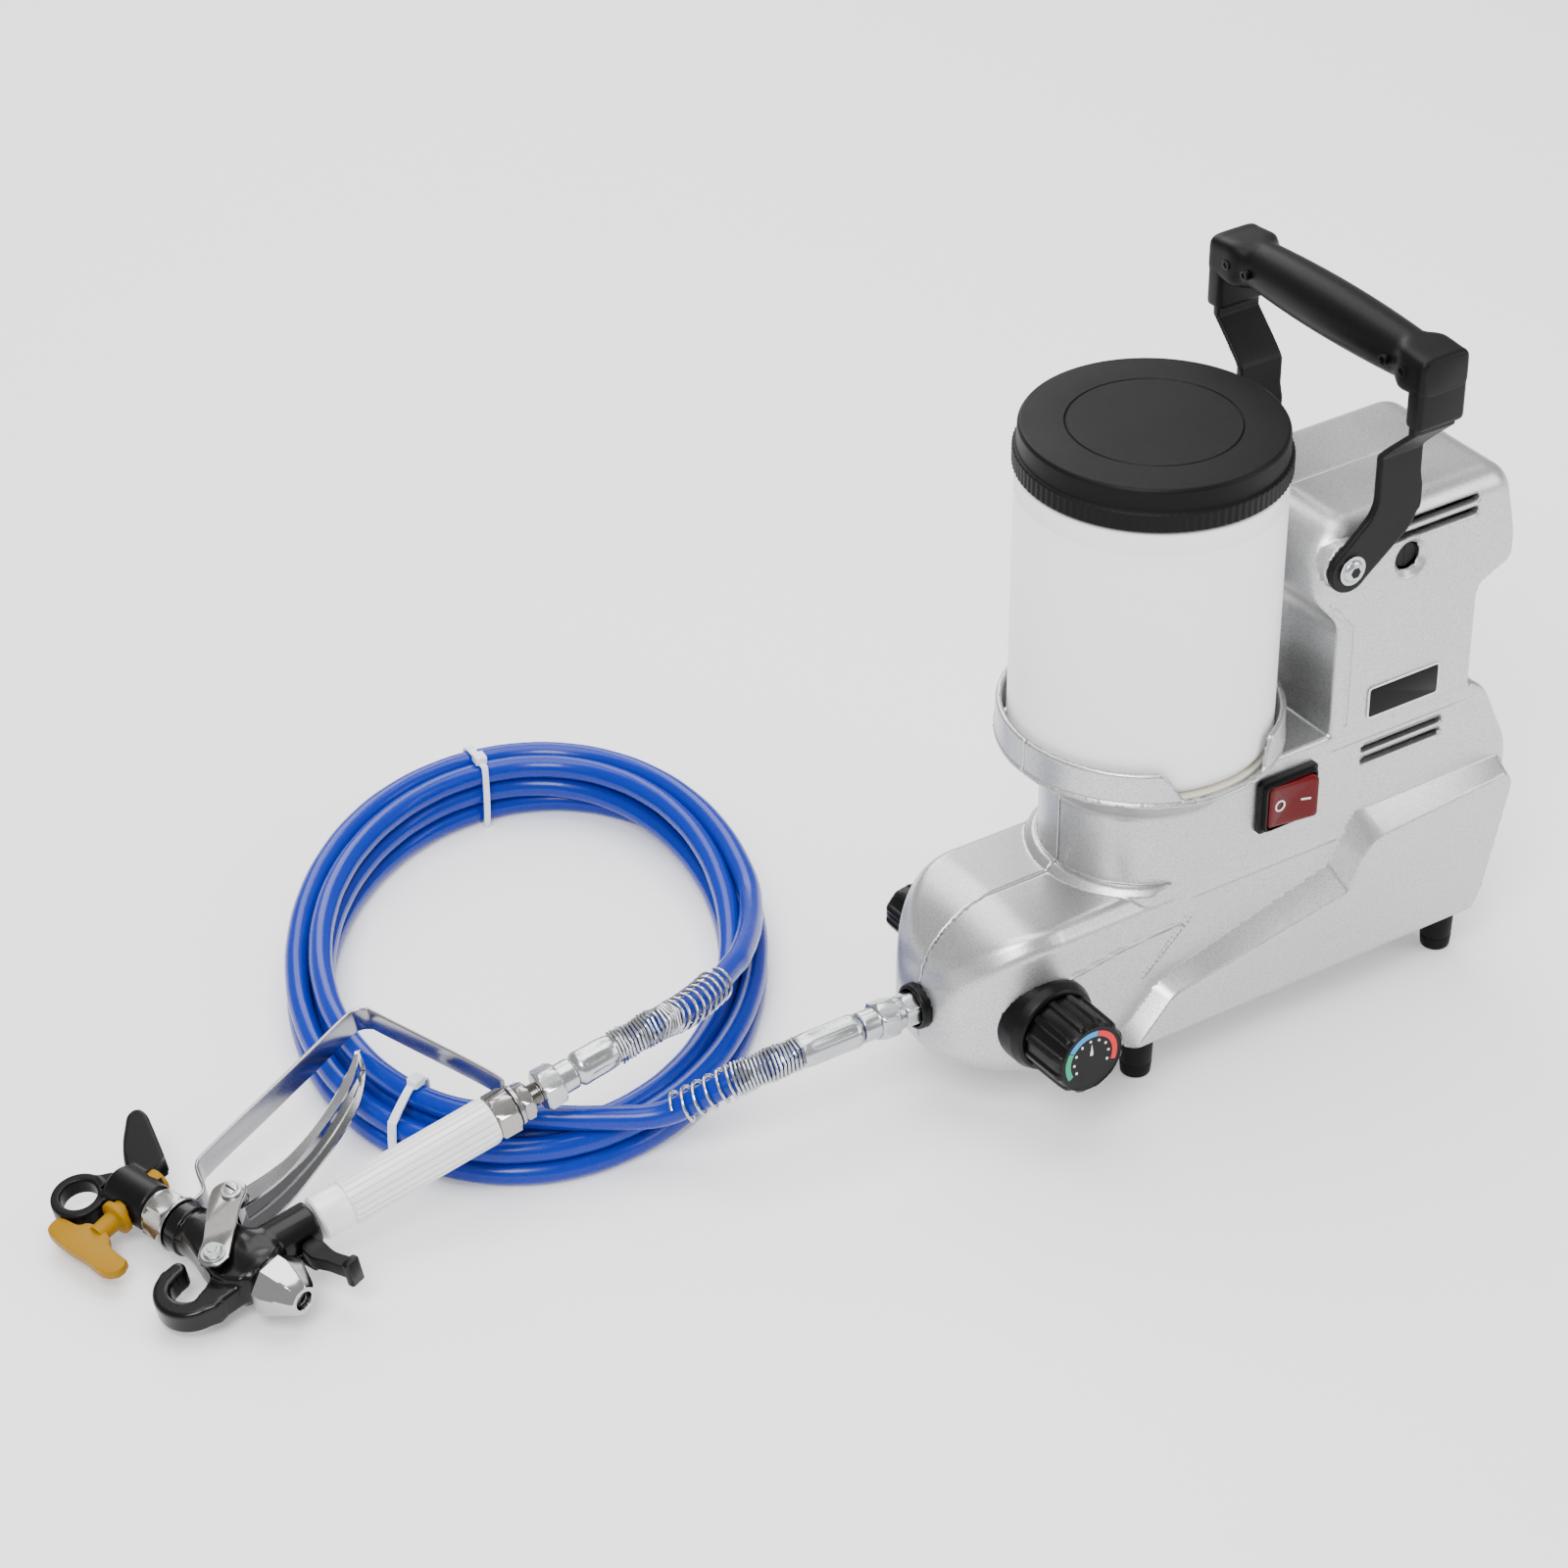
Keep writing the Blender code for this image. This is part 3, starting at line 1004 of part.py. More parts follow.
def gun_orientation():
    """The gun's own axes in the frame: along the spray, to its left, and up."""
    right = GRIP_DIRECTION.cross(SPRAY_DIRECTION).normalized()
    up = right.cross(SPRAY_DIRECTION).normalized()
    turn = Matrix((SPRAY_DIRECTION, -right, up)).transposed().to_4x4()
    return Matrix.Translation((GUN_X, GUN_Y, GUN_Z)) @ turn


def grip_axis():
    """The grip's direction in the gun's own frame."""
    turn = gun_orientation().to_3x3()
    return (turn.transposed() @ GRIP_DIRECTION).normalized()


def grip_point(matrix, distance):
    """A point on the grip's axis, in the frame."""
    return matrix @ (grip_axis() * distance)


def along_grip(shape):
    """A shape made along +Z, laid along the grip's axis from the gun's origin."""
    axis = grip_axis()
    turn = Matrix.Rotation(math.atan2(axis.x, axis.z), 4, "Y")
    return placed(shape, turn)


def hook_outline():
    """The hanging hook above the gun's body, seen from the side."""
    centre = (6.0, 30.0)
    outer = circle(17.5, centre, 9, 190.0, -190.0)
    inner = circle(10.0, centre, 9, 0.0, 180.0)
    return outer + inner + [(-5.0, 12.0), (-14.0, 10.0)]


def band(points, width, thickness):
    """A flat strip of even thickness along a path in the gun's XZ plane."""
    rings = []
    for i, (x, z) in enumerate(points):
        before = Vector(points[max(0, i - 1)])
        after = Vector(points[min(len(points) - 1, i + 1)])
        ahead = (after - before).normalized()
        here = Vector((x, z))
        if 0 < i < len(points) - 1:
            first = (here - before).normalized()
            stretch = 1.0 / max(0.5, Vector((-ahead.y, ahead.x)).dot(Vector((-first.y, first.x))))
        else:
            stretch = 1.0
        normal = Vector((-ahead.y, ahead.x)) * thickness / 2.0 * stretch
        rings.append([(x - normal.x, -width / 2, z - normal.y), (x + normal.x, -width / 2, z + normal.y),
                      (x + normal.x, width / 2, z + normal.y), (x - normal.x, width / 2, z - normal.y)])
    return sections(rings)


def guard_path():
    """The guard strap's path from the gun's head round to the foot of the grip."""
    corner = Vector(GUARD_CORNER)
    axis = grip_axis()
    forward = Vector((-axis.z, axis.x))
    foot = Vector((axis.x, axis.z)) * (GUN_NUT_START + 14.4) + forward * 9.0
    top_bend = [(46.1, -13.0), (46.1, -18.0), (48.5, -21.5), (58.0, -26.5), (63.5, -31.0), (65.5, -39.0)]
    low = [tuple(corner + Vector((-0.9, 12.0))), tuple(corner + Vector((-2.5, 4.5))),
           tuple(corner + Vector((-8.0, 0.6))), tuple(corner + Vector((-15.0, 0.2)))]
    return top_bend + low + [tuple(foot + forward * 9.0), tuple(foot)]


def trigger_path():
    """The trigger blade's curve, from its screw down to its tip."""
    return [(26.5, -22.0), (24.0, -34.0), (22.5, -50.0), (24.0, -70.0), (28.0, -90.0), (34.5, -110.0),
            (42.0, -126.0), (50.0, -138.0)]


def build_gun(frame):
    """The gun lies on its side, its head on the floor and its grip across the coil."""
    matrix = gun_orientation()
    gun = empty("gun", parent=frame)
    gun.matrix_local = Matrix.Translation(matrix.translation * MM) @ matrix.to_3x3().to_4x4()
    bore = 3.0

    barrel = rod(12.5, -20.0, 37.0, "X", (0.0, 0.0), 20)
    collar = rod(14.0, 36.0, 44.7, "X", (0.0, 0.0), 24)
    cheek = prism([(-18.0, -14.0), (14.0, -14.0), (33.0, -8.0), (33.0, 8.0), (12.0, 17.0), (-6.0, 20.0),
                   (-18.0, 14.0)], -11.0, 11.0, "Y")
    socket = along_grip(rod(12.0, 4.0, 42.0, "Z"))
    hook = prism(hook_outline(), -5.5, 5.5, "Y")
    passage = rod(bore, -30.0, 60.0, "X", (0.0, 0.0), 12)
    pin_hole = rod(3.1, -30.0, 30.0, "Y", TRIGGER_PIVOT, 12)
    x, z = LOCK_PIVOT
    lug = prism([(-8.0, z + 6.0), (x - 4.0, z + 5.0), (x - 4.0, z - 5.0), (-8.0, z - 7.0)], 4.8, 8.0, "Y")
    lock_pin = rod(2.3, -6.0, 7.0, "Y", LOCK_PIVOT, 12)
    body = cut(union(barrel, collar, cheek, socket, hook, lug, lock_pin), passage, pin_hole)
    piece("gun_body", body, "black_alloy", gun)

    rear = turned([(13.0, -20.3), (16.5, -25.0), (16.5, -31.0), (8.5, -46.0), (5.0, -46.0), (5.0, -42.0),
                   (7.0, -38.0), (7.0, -20.3)], "X", (0.0, 0.0), 8)
    piece("rear_cap", rear, "chrome", gun)
    nut = union(rod(11.7, 45.0, 49.0, "X", sides=24), prism(hexagon(26.0), 47.5, 61.0, "X"),
                rod(12.5, 60.0, 63.0, "X", sides=24))
    nut = cut(nut, rod(7.5, 40.0, 70.0, "X"))
    piece("head_nut", nut, "steel", gun)

    needle = union(rod(2.2, -36.0, 61.0, "X", (0.0, 0.0), 12), rod(5.2, -23.0, -20.8, "X", (0.0, 0.0), 12))
    piece("needle", needle, "steel", gun)

    build_tip(gun)
    build_trigger(gun)

    low = GUN_GRIP_START
    ribs = []
    sides = 56
    for i in range(sides):
        angle = math.tau * i / sides
        distance = GUN_GRIP_RADIUS - 0.7 * (i % 4 == 0)
        ribs.append((distance * math.cos(angle), distance * math.sin(angle)))
    collar = rod(12.2, low, low + 17.0, "Z", sides=24)
    grip = union(prism(ribs, low + 16.0, GUN_GRIP_END), collar)
    piece("gun_grip", along_grip(cut(grip, rod(5.0, 30.0, 170.0, "Z", sides=12))), "white_alloy", gun)

    nut_low = GUN_NUT_START
    first = union(prism(hexagon(23.0), nut_low, nut_low + 13.0), rod(7.0, nut_low + 12.0, nut_low + 17.0))
    second = union(first, prism(hexagon(19.0), nut_low + 16.0, nut_low + 23.0),
                   rod(6.3, nut_low + 22.0, nut_low + 29.0))
    piece("grip_nuts", along_grip(second), "steel", gun)
    low = nut_low + 29.3
    swivel = union(prism(hexagon(21.0), low, low + 12.0), rod(8.6, low + 11.0, low + 21.0))
    piece("gun_swivel_nut", along_grip(swivel), "zinc", gun)
    low += 21.3
    ferrule = turned([(0.0, low), (6.5, low), (9.6, low + 4.0), (9.6, low + 16.0), (8.4, low + 25.0),
                      (0.0, low + 25.0)])
    piece("gun_ferrule", along_grip(ferrule), "zinc", gun)

    x, z = LOCK_PIVOT
    lever = union(prism([(x, z + 5.5), (x - 10.0, z + 4.0), (x - 25.0, z - 1.0), (x - 27.0, z - 7.0),
                         (x - 12.0, z - 4.5), (x, z - 5.5)], -4.5, 4.5, "Y"),
                  rod(LOCK_EYE_RADIUS, -4.5, 4.5, "Y", LOCK_PIVOT, 20))
    lever = cut(lever, rod(2.6, -10.0, 10.0, "Y", LOCK_PIVOT, 12))
    piece("trigger_lock", lever, "black_plastic", gun, (x, 0.0, z))
    return matrix


def build_tip(gun):
    """Tip guard with its two wings, and the reversible tip's key."""
    block = turned([(0.0, 63.3), (11.0, 63.3), (13.0, 66.0), (13.0, 90.0), (9.0, 94.0), (0.0, 94.0)], "X",
                   sides=20)
    fin = prism([(70.0, -8.0), (92.0, -6.0), (103.0, -17.0), (122.0, -38.0), (119.0, -42.0), (96.0, -30.0),
                 (74.0, -20.0)], -5.0, 5.0, "Y")
    loop = tube(14.0, 10.0, -4.5, 4.5, "Y", (102.5, 18.0), 24)
    web = prism([(80.0, -6.0), (100.0, -3.0), (108.0, 6.0), (96.0, 8.0), (86.0, 12.0), (80.0, 12.0)],
                -4.0, 4.0, "Y")
    key_bore = rod(KEY_RADIUS + 0.3, -30.0, 60.0, "Z", (KEY_X, 0.0), 20)
    flange_room = rod(10.2, 13.4, 60.0, "Z", (KEY_X, 0.0), 24)
    seal_bore = rod(6.2, 60.0, KEY_X - 5.0, "X")
    front = turned([(0.0, KEY_X), (5.0, KEY_X), (10.0, 96.0), (0.0, 96.0)], "X")
    guard = cut(union(block, fin, loop, web), key_bore, flange_room, seal_bore, front)
    piece("tip_guard", guard, "black_plastic", gun)
    barrel = turned([(0.0, -16.0), (KEY_RADIUS, -16.0), (KEY_RADIUS, 13.7), (9.5, 13.7), (9.5, 17.0),
                     (5.5, 18.0), (5.5, 30.0), (0.0, 30.0)], centre=(KEY_X, 0.0), sides=20)
    x = KEY_X
    flag = prism([(x - 28.0, 34.0), (x - 9.0, 33.0), (x - 7.0, 27.0), (x + 7.0, 27.0), (x + 9.0, 33.0),
                  (x + 24.0, 33.5), (x + 24.0, 44.0), (x + 8.0, 46.0), (x - 24.0, 47.0), (x - 30.0, 41.0)],
                 -2.5, 2.5, "Y")
    piece("tip_key", union(barrel, flag), "yellow_plastic", gun, (KEY_X, 0.0, 0.0))


def build_trigger(gun):
    """Trigger with its side plates, pin, screw, and the fixed guard strap."""
    x, z = TRIGGER_PIVOT
    sx, sz = TRIGGER_SCREW
    outline = [(x - 8.0, z - 3.0), (x - 6.0, z + 6.0), (x + 3.0, z + 8.0), (x + 12.0, z - 4.0),
               (sx + 8.0, sz + 8.0), (sx + 7.0, sz - 5.0), (sx - 3.0, sz - 7.0), (sx - 12.0, sz + 8.0)]
    y = TRIGGER_PLATE_Y
    plates = [prism(outline, side * y - 1.0, side * y + 1.0, "Y") for side in (-1, 1)]
    holes = rod(3.1, -30.0, 30.0, "Y", TRIGGER_PIVOT, 12)
    bridge = box((sx - 4.0, -y - 0.5, sz - 3.5), (sx + 4.0, y + 0.5, sz + 3.5))
    blade = band(trigger_path(), 19.0, 3.0)
    piece("trigger", cut(union(plates[0], plates[1], bridge, blade), holes), "chrome", gun, (x, 0.0, z))
    pin = union(rod(2.8, -y - 2.5, y + 2.5, "Y", TRIGGER_PIVOT, 12),
                rod(5.0, -y - 3.6, -y - 1.3, "Y", TRIGGER_PIVOT, 6),
                rod(5.0, y + 1.3, y + 3.6, "Y", TRIGGER_PIVOT, 6))
    piece("trigger_pin", pin, "zinc", gun)
    strap = band(guard_path(), 13.0, 2.0)
    low = GUN_NUT_START + 13.3
    foot = along_grip(rod(11.5, low, low + 2.2, "Z", sides=20))
    room = along_grip(rod(7.3, low - 5.0, low + 8.0, "Z"))
    eye = rod(15.0, 45.0, 47.2, "X", sides=24)
    piece("trigger_guard", cut(union(strap, foot, eye), room, rod(12.0, 40.0, 50.0, "X", sides=24)),
          "chrome", gun)


def build():
    """The whole sprayer."""
    for made in list(bpy.data.objects):
        bpy.data.objects.remove(made)
    frame = empty("sprayer", (JAR_AXIS_X, JAR_AXIS_Y, 0.0))
    build_casing(frame)
    build_feet(frame)
    build_jar(frame)
    build_pump(frame)
    build_drive(frame)
    build_controls(frame)
    build_handle(frame)
    build_outlet(frame)
    gun_matrix = build_gun(frame)
    build_hose(frame, gun_matrix)


build()
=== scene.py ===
"""Looks of an airless paint sprayer: a jar-fed pump in a silver casing, its blue hose and spray gun.

Sizes are in millimetres. The machine is built about the jar's axis and the gun about the crossing of
its spray axis and its grip's axis; each stand then carries its pieces into the frame, in metres.
"""

from __future__ import annotations

import json
import logging
import math
from dataclasses import dataclass
from enum import Enum
from typing import Callable, Iterable, Sequence

import bmesh
import bpy
import numpy as np
from mathutils import Matrix, Vector

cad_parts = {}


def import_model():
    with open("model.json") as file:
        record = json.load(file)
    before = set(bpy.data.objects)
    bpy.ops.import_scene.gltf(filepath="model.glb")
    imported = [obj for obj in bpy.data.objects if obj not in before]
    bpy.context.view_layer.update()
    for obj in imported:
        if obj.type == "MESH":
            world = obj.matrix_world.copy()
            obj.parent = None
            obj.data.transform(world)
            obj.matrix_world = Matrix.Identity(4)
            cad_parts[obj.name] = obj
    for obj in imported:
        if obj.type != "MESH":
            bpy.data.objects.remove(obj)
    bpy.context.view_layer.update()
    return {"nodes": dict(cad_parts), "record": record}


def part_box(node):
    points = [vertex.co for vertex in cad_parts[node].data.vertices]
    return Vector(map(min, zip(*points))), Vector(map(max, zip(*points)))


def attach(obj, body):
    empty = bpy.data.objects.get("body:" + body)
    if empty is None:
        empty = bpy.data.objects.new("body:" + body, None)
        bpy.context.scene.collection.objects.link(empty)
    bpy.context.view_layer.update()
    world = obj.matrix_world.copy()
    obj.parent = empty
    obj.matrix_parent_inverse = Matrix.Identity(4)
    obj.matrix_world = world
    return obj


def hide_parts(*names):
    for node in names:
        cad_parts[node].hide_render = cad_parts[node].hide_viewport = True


LOG = logging.getLogger("sprayer")
MM = 0.001
Array = np.ndarray
Field = Callable[[Array, Array, Array], Array]
Body = tuple[Array, list[list[int]]]
Pair = tuple[float, float]
Triple = tuple[float, float, float]


# ------------------------------------------------------------------ finishes


class Pattern(Enum):
    """How a finish varies over its surface."""

    GRAIN = "even fine grain"
    SPECKLE = "metal flakes in paint"
    STREAK = "fine lines left by turning or brushing"


@dataclass(frozen=True)
class Finish:
    """A surface finish: its colour, how it shines, and the small detail that breaks it up.

    Attributes:
        name: the material's name.
        slot: the record's material slot.
        colour: base colour, linear.
        roughness: middle roughness.
        metallic: 0 for plastic and rubber, up to 1 for bare metal.
        pattern: what kind of small detail it has.
        scale: detail size, in features per metre.
        bump: height of the detail, in metres.
        tint: how far the colour varies, from 0 to 1.
        spread: how far the roughness varies.
        coat: weight of a clear coat.
        subsurface: weight of light scattered below the surface.
        painted_glow: strength of a painted glow, an emission standing in for light from inside.
        shine: how strongly a plastic reflects at a right angle.
    """

    name: str
    slot: str
    colour: Triple
    roughness: float
    metallic: float = 0.0
    pattern: Pattern = Pattern.GRAIN
    scale: float = 900.0
    bump: float = 0.00004
    tint: float = 0.08
    spread: float = 0.06
    coat: float = 0.0
    subsurface: float = 0.0
    painted_glow: float = 0.0
    shine: float = 0.25

    def material(self) -> bpy.types.Material:
        """The finish as a node material, made once.

        Returns:
            The material.
        """
        made = bpy.data.materials.get(self.name)
        if made:
            return made
        made = bpy.data.materials.new(self.name)
        made.use_nodes = True
        tree = made.node_tree
        shader = tree.nodes["Principled BSDF"]
        shader.inputs["Base Color"].default_value = (*self.colour, 1.0)
        shader.inputs["Metallic"].default_value = self.metallic
        shader.inputs["Roughness"].default_value = self.roughness
        shader.inputs["Coat Weight"].default_value = self.coat
        shader.inputs["Specular IOR Level"].default_value = 0.5 if self.metallic > 0.3 else self.shine
        shader.inputs["Coat Roughness"].default_value = 0.08
        shader.inputs["Subsurface Weight"].default_value = self.subsurface
        shader.inputs["Subsurface Radius"].default_value = (0.02, 0.02, 0.02)
        # Emission paints a glow onto the surface: light from a piece that is no lamp.
        shader.inputs["Emission Color"].default_value = (*self.colour, 1.0)
        shader.inputs["Emission Strength"].default_value = self.painted_glow
        place = tree.nodes.new("ShaderNodeTexCoord").outputs["Object"]
        if self.pattern is Pattern.STREAK:
            squeeze = tree.nodes.new("ShaderNodeMapping")
            squeeze.inputs["Scale"].default_value = (1.0, 0.12, 1.0)
            tree.links.new(place, squeeze.inputs["Vector"])
            place = squeeze.outputs["Vector"]
        fine = self._noise(tree, place, self.scale, 2.0)
        broad = self._noise(tree, place, 22.0, 3.0)
        shade = self._range(tree, fine, 1.0 - self.tint, 1.0 + self.tint)
        if self.pattern is Pattern.SPECKLE:
            flakes = tree.nodes.new("ShaderNodeTexVoronoi")
            flakes.inputs["Scale"].default_value = self.scale
            tree.links.new(place, flakes.inputs["Vector"])
            shade = self._range(tree, flakes.outputs["Distance"], 1.0 + self.tint, 1.0 - self.tint)
        mix = tree.nodes.new("ShaderNodeMix")
        mix.data_type = "RGBA"
        mix.blend_type = "MULTIPLY"
        mix.inputs["Factor"].default_value = 1.0
        mix.inputs["A"].default_value = (*self.colour, 1.0)
        tree.links.new(shade, mix.inputs["B"])
        tree.links.new(mix.outputs["Result"], shader.inputs["Base Color"])
        low, high = self.roughness - self.spread, self.roughness + self.spread
        tree.links.new(self._range(tree, broad, low, high), shader.inputs["Roughness"])
        bump = tree.nodes.new("ShaderNodeBump")
        bump.inputs["Strength"].default_value = 1.0
        bump.inputs["Distance"].default_value = self.bump
        tree.links.new(fine, bump.inputs["Height"])
        tree.links.new(bump.outputs["Normal"], shader.inputs["Normal"])
        return made

    @staticmethod
    def _noise(tree: bpy.types.NodeTree, place: bpy.types.NodeSocket, scale: float,
               detail: float) -> bpy.types.NodeSocket:
        """A noise texture's value.

        Args:
            tree: the material's nodes.
            place: the texture's coordinates.
            scale: features per metre.
            detail: how many finer layers it has.

        Returns:
            The texture's value.
        """
        noise = tree.nodes.new("ShaderNodeTexNoise")
        noise.inputs["Scale"].default_value = scale
        noise.inputs["Detail"].default_value = detail
        tree.links.new(place, noise.inputs["Vector"])
        return noise.outputs["Fac"]

    @staticmethod
    def _range(tree: bpy.types.NodeTree, value: bpy.types.NodeSocket, low: float,
               high: float) -> bpy.types.NodeSocket:
        """A value spread from the middle of its own range to low and high.

        Args:
            tree: the material's nodes.
            value: the value.
            low: the result at its low end.
            high: the result at its high end.

        Returns:
            The spread value.
        """
        spread = tree.nodes.new("ShaderNodeMapRange")
        spread.inputs["From Min"].default_value = 0.25
        spread.inputs["From Max"].default_value = 0.75
        spread.inputs["To Min"].default_value = low
        spread.inputs["To Max"].default_value = high
        tree.links.new(value, spread.inputs["Value"])
        return spread.outputs["Result"]


SILVER = Finish("silver_casting_paint", "silver_paint", (0.50, 0.502, 0.505), 0.33, 0.88, Pattern.SPECKLE,
                1300.0, 0.00007, 0.17, 0.05)
# The jar's emission is a painted glow, standing in for light coming through its milky wall.
JAR_WHITE = Finish("milky_jar", "jar_plastic", (0.86, 0.865, 0.875), 0.34, bump=0.00001, tint=0.01,
                   spread=0.04, subsurface=0.6, painted_glow=0.12)
LID_BLACK = Finish("lid_black", "lid_plastic", (0.0022, 0.0022, 0.0024), 0.50, scale=1600.0, bump=0.00006,
                   shine=0.13)
MOULDED_BLACK = Finish("moulded_black", "black_plastic", (0.0018, 0.0018, 0.002), 0.36, scale=1300.0,
                       shine=0.16)
GRIP_BLACK = Finish("grip_black", "grip_plastic", (0.0022, 0.0022, 0.0024), 0.44, scale=1500.0,
                    bump=0.00006, shine=0.14)
POWDER_BLACK = Finish("powder_black", "black_steel", (0.0022, 0.0022, 0.0024), 0.42, scale=1900.0,
                      bump=0.00007, shine=0.15)
FOOT_BLACK = Finish("foot_rubber_black", "foot_rubber", (0.003, 0.003, 0.003), 0.60, shine=0.15)
FORGED_BLACK = Finish("forged_gloss_black", "black_alloy", (0.0015, 0.0015, 0.0015), 0.26, coat=0.06,
                      bump=0.00003, shine=0.22)
SEAL_CREAM = Finish("seal_cream", "seal", (0.72, 0.68, 0.58), 0.6)
SWITCH_RED = Finish("switch_red", "red_switch", (0.085, 0.0002, 0.0008), 0.24, coat=0.06, tint=0.03,
                    shine=0.18)
PLATE_BLACK = Finish("plate_black", "black_label", (0.002, 0.002, 0.002), 0.34, bump=0.00001, shine=0.15)
PLATE_EDGE = Finish("plate_edge_silver", "zinc", (0.62, 0.62, 0.62), 0.32, 0.9, bump=0.00001)
ZINC = Finish("zinc_plate", "zinc", (0.48, 0.49, 0.50), 0.26, 1.0, Pattern.STREAK, 1200.0, 0.00002, 0.10,
              0.08)
NICKEL = Finish("nickel_plate", "gun_steel", (0.34, 0.325, 0.31), 0.17, 1.0, Pattern.STREAK, 1100.0,
                0.00001, 0.06, 0.05)
CHROME = Finish("chrome_plate", "chrome", (0.44, 0.44, 0.45), 0.10, 1.0, bump=0.00001, tint=0.04, spread=0.04)
SATIN_CHROME = Finish("satin_chrome", "chrome", (0.33, 0.33, 0.345), 0.24, 1.0, bump=0.00002)
SPRING_WIRE = Finish("spring_wire", "chrome", (0.46, 0.47, 0.49), 0.20, 1.0, bump=0.00001)
HOSE_BLUE = Finish("hose_blue", "blue_hose", (0.0002, 0.017, 0.28), 0.26, coat=0.10, scale=300.0,
                   bump=0.00002, tint=0.05)
TIE_WHITE = Finish("tie_white", "white_nylon", (0.75, 0.78, 0.84), 0.38, subsurface=0.2, bump=0.00001)
GRIP_WHITE = Finish("ribbed_white", "white_alloy", (0.80, 0.80, 0.80), 0.30, 0.15, bump=0.00002, tint=0.02)
KEY_YELLOW = Finish("key_yellow", "yellow_plastic", (0.27, 0.135, 0.0), 0.44, tint=0.04, shine=0.15)
STEEL = Finish("machined_steel", "inner_steel", (0.42, 0.42, 0.43), 0.34, 1.0, Pattern.STREAK, 1000.0)
BRASS = Finish("turned_brass", "brass", (0.62, 0.44, 0.18), 0.30, 1.0, Pattern.STREAK, 1000.0)
COPPER = Finish("copper_windings", "winding", (0.55, 0.24, 0.10), 0.38, 1.0, Pattern.STREAK, 2200.0)
DIAL_GREEN = Finish("dial_green", "black_plastic", (0.01, 0.30, 0.16), 0.4)
DIAL_BLUE = Finish("dial_blue", "black_plastic", (0.02, 0.24, 0.55), 0.4)
DIAL_RED = Finish("dial_red", "black_plastic", (0.60, 0.01, 0.015), 0.4)
MARK_WHITE = Finish("mark_white", "white_nylon", (0.8, 0.8, 0.8), 0.5)
KEPT_FINISHES = {finish.slot: finish for finish in (FOOT_BLACK, MOULDED_BLACK, ZINC, STEEL, BRASS, COPPER,
                                                    SEAL_CREAM, CHROME, NICKEL)}


# ------------------------------------------------------------------ stands and meshes


@dataclass(frozen=True)
class Stand:
    """Where a sub-assembly stands in the frame.

    Attributes:
        origin: the stand's own origin in the frame, in millimetres.
        axes: its three axes as the columns of a 3 by 3 array.
    """

    origin: Triple
    axes: tuple[Triple, ...] = ((1, 0, 0), (0, 1, 0), (0, 0, 1))

    def world(self, points: Array) -> Array:
        """Points of the stand, in millimetres, as points of the frame, in metres.

        Args:
            points: the points, one to a row.

        Returns:
            The points in the frame.
        """
        turned = np.asarray(points, float) @ np.array(self.axes, float).T
        return (turned + np.array(self.origin)) * MM

    def turned(self, directions: Array) -> Array:
        """Directions of the stand as directions of the frame.

        Args:
            directions: one to a row.

        Returns:
            The directions in the frame.
        """
        return np.asarray(directions, float) @ np.array(self.axes, float).T


def place_piece(name: str, vertices: Array, faces: Iterable[Sequence[int]], finish: Finish, body: str,
                nodes: Sequence[str] = (), normals: Array | None = None, sharp: float = 35.0,
                bevel: float = 0.0) -> bpy.types.Object:
    """Makes one piece, dresses it and lets it ride.

    Args:
        name: the piece's name.
        vertices: its points in the frame, in metres.
        faces: corner indices of its faces.
        finish: its finish.
        body: the body it rides on.
        nodes: the CAD nodes it stands for.
        normals: a normal at each vertex, where the surface's own are known.
        sharp: edges bent by more than this many degrees stay sharp.
        bevel: width of a bevel along sharp edges, in millimetres.

    Returns:
        The new object.
    """
    mesh = bpy.data.meshes.new(name)
    corners = faces.tolist() if isinstance(faces, np.ndarray) else [list(face) for face in faces]
    mesh.from_pydata(np.asarray(vertices, float).tolist(), [], corners)
    if normals is None:
        shape = bmesh.new()
        shape.from_mesh(mesh)
        bmesh.ops.remove_doubles(shape, verts=shape.verts, dist=2e-7)
        bmesh.ops.recalc_face_normals(shape, faces=shape.faces)
        shape.to_mesh(mesh)
        shape.free()
    mesh.validate()
    mesh.shade_smooth()
    if normals is not None:
        mesh.normals_split_custom_set_from_vertices(np.asarray(normals, float).tolist())
    else:
        mesh.set_sharp_from_angle(angle=math.radians(sharp))
    mesh.materials.append(finish.material())
    piece = bpy.data.objects.new(name, mesh)
    bpy.context.scene.collection.objects.link(piece)
    if bevel > 0.0:
        soften = piece.modifiers.new("edges", "BEVEL")
        soften.width = bevel * MM
        soften.segments = 2
        soften.limit_method = "ANGLE"
        soften.angle_limit = math.radians(30.0)
        soften.harden_normals = True
    if nodes:
        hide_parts(*nodes)
    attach(piece, body)
    LOG.info("%s: %d faces", name, len(mesh.polygons))
    return piece


def place_body(name: str, body: Body, finish: Finish, ride: str,
               nodes: Sequence[str] = (), bevel: float = 0.0) -> bpy.types.Object:
    """Makes a piece of the machine out of points and faces.

    Args:
        name: the piece's name.
        body: its points and its faces.
        finish: its finish.
        ride: the body it rides on.
        nodes: the CAD nodes it stands for.
        bevel: width of a bevel, in millimetres.

    Returns:
        The new piece.
    """
    return place_piece(name, MACHINE.world(body[0]), body[1], finish, ride, nodes, bevel=bevel)


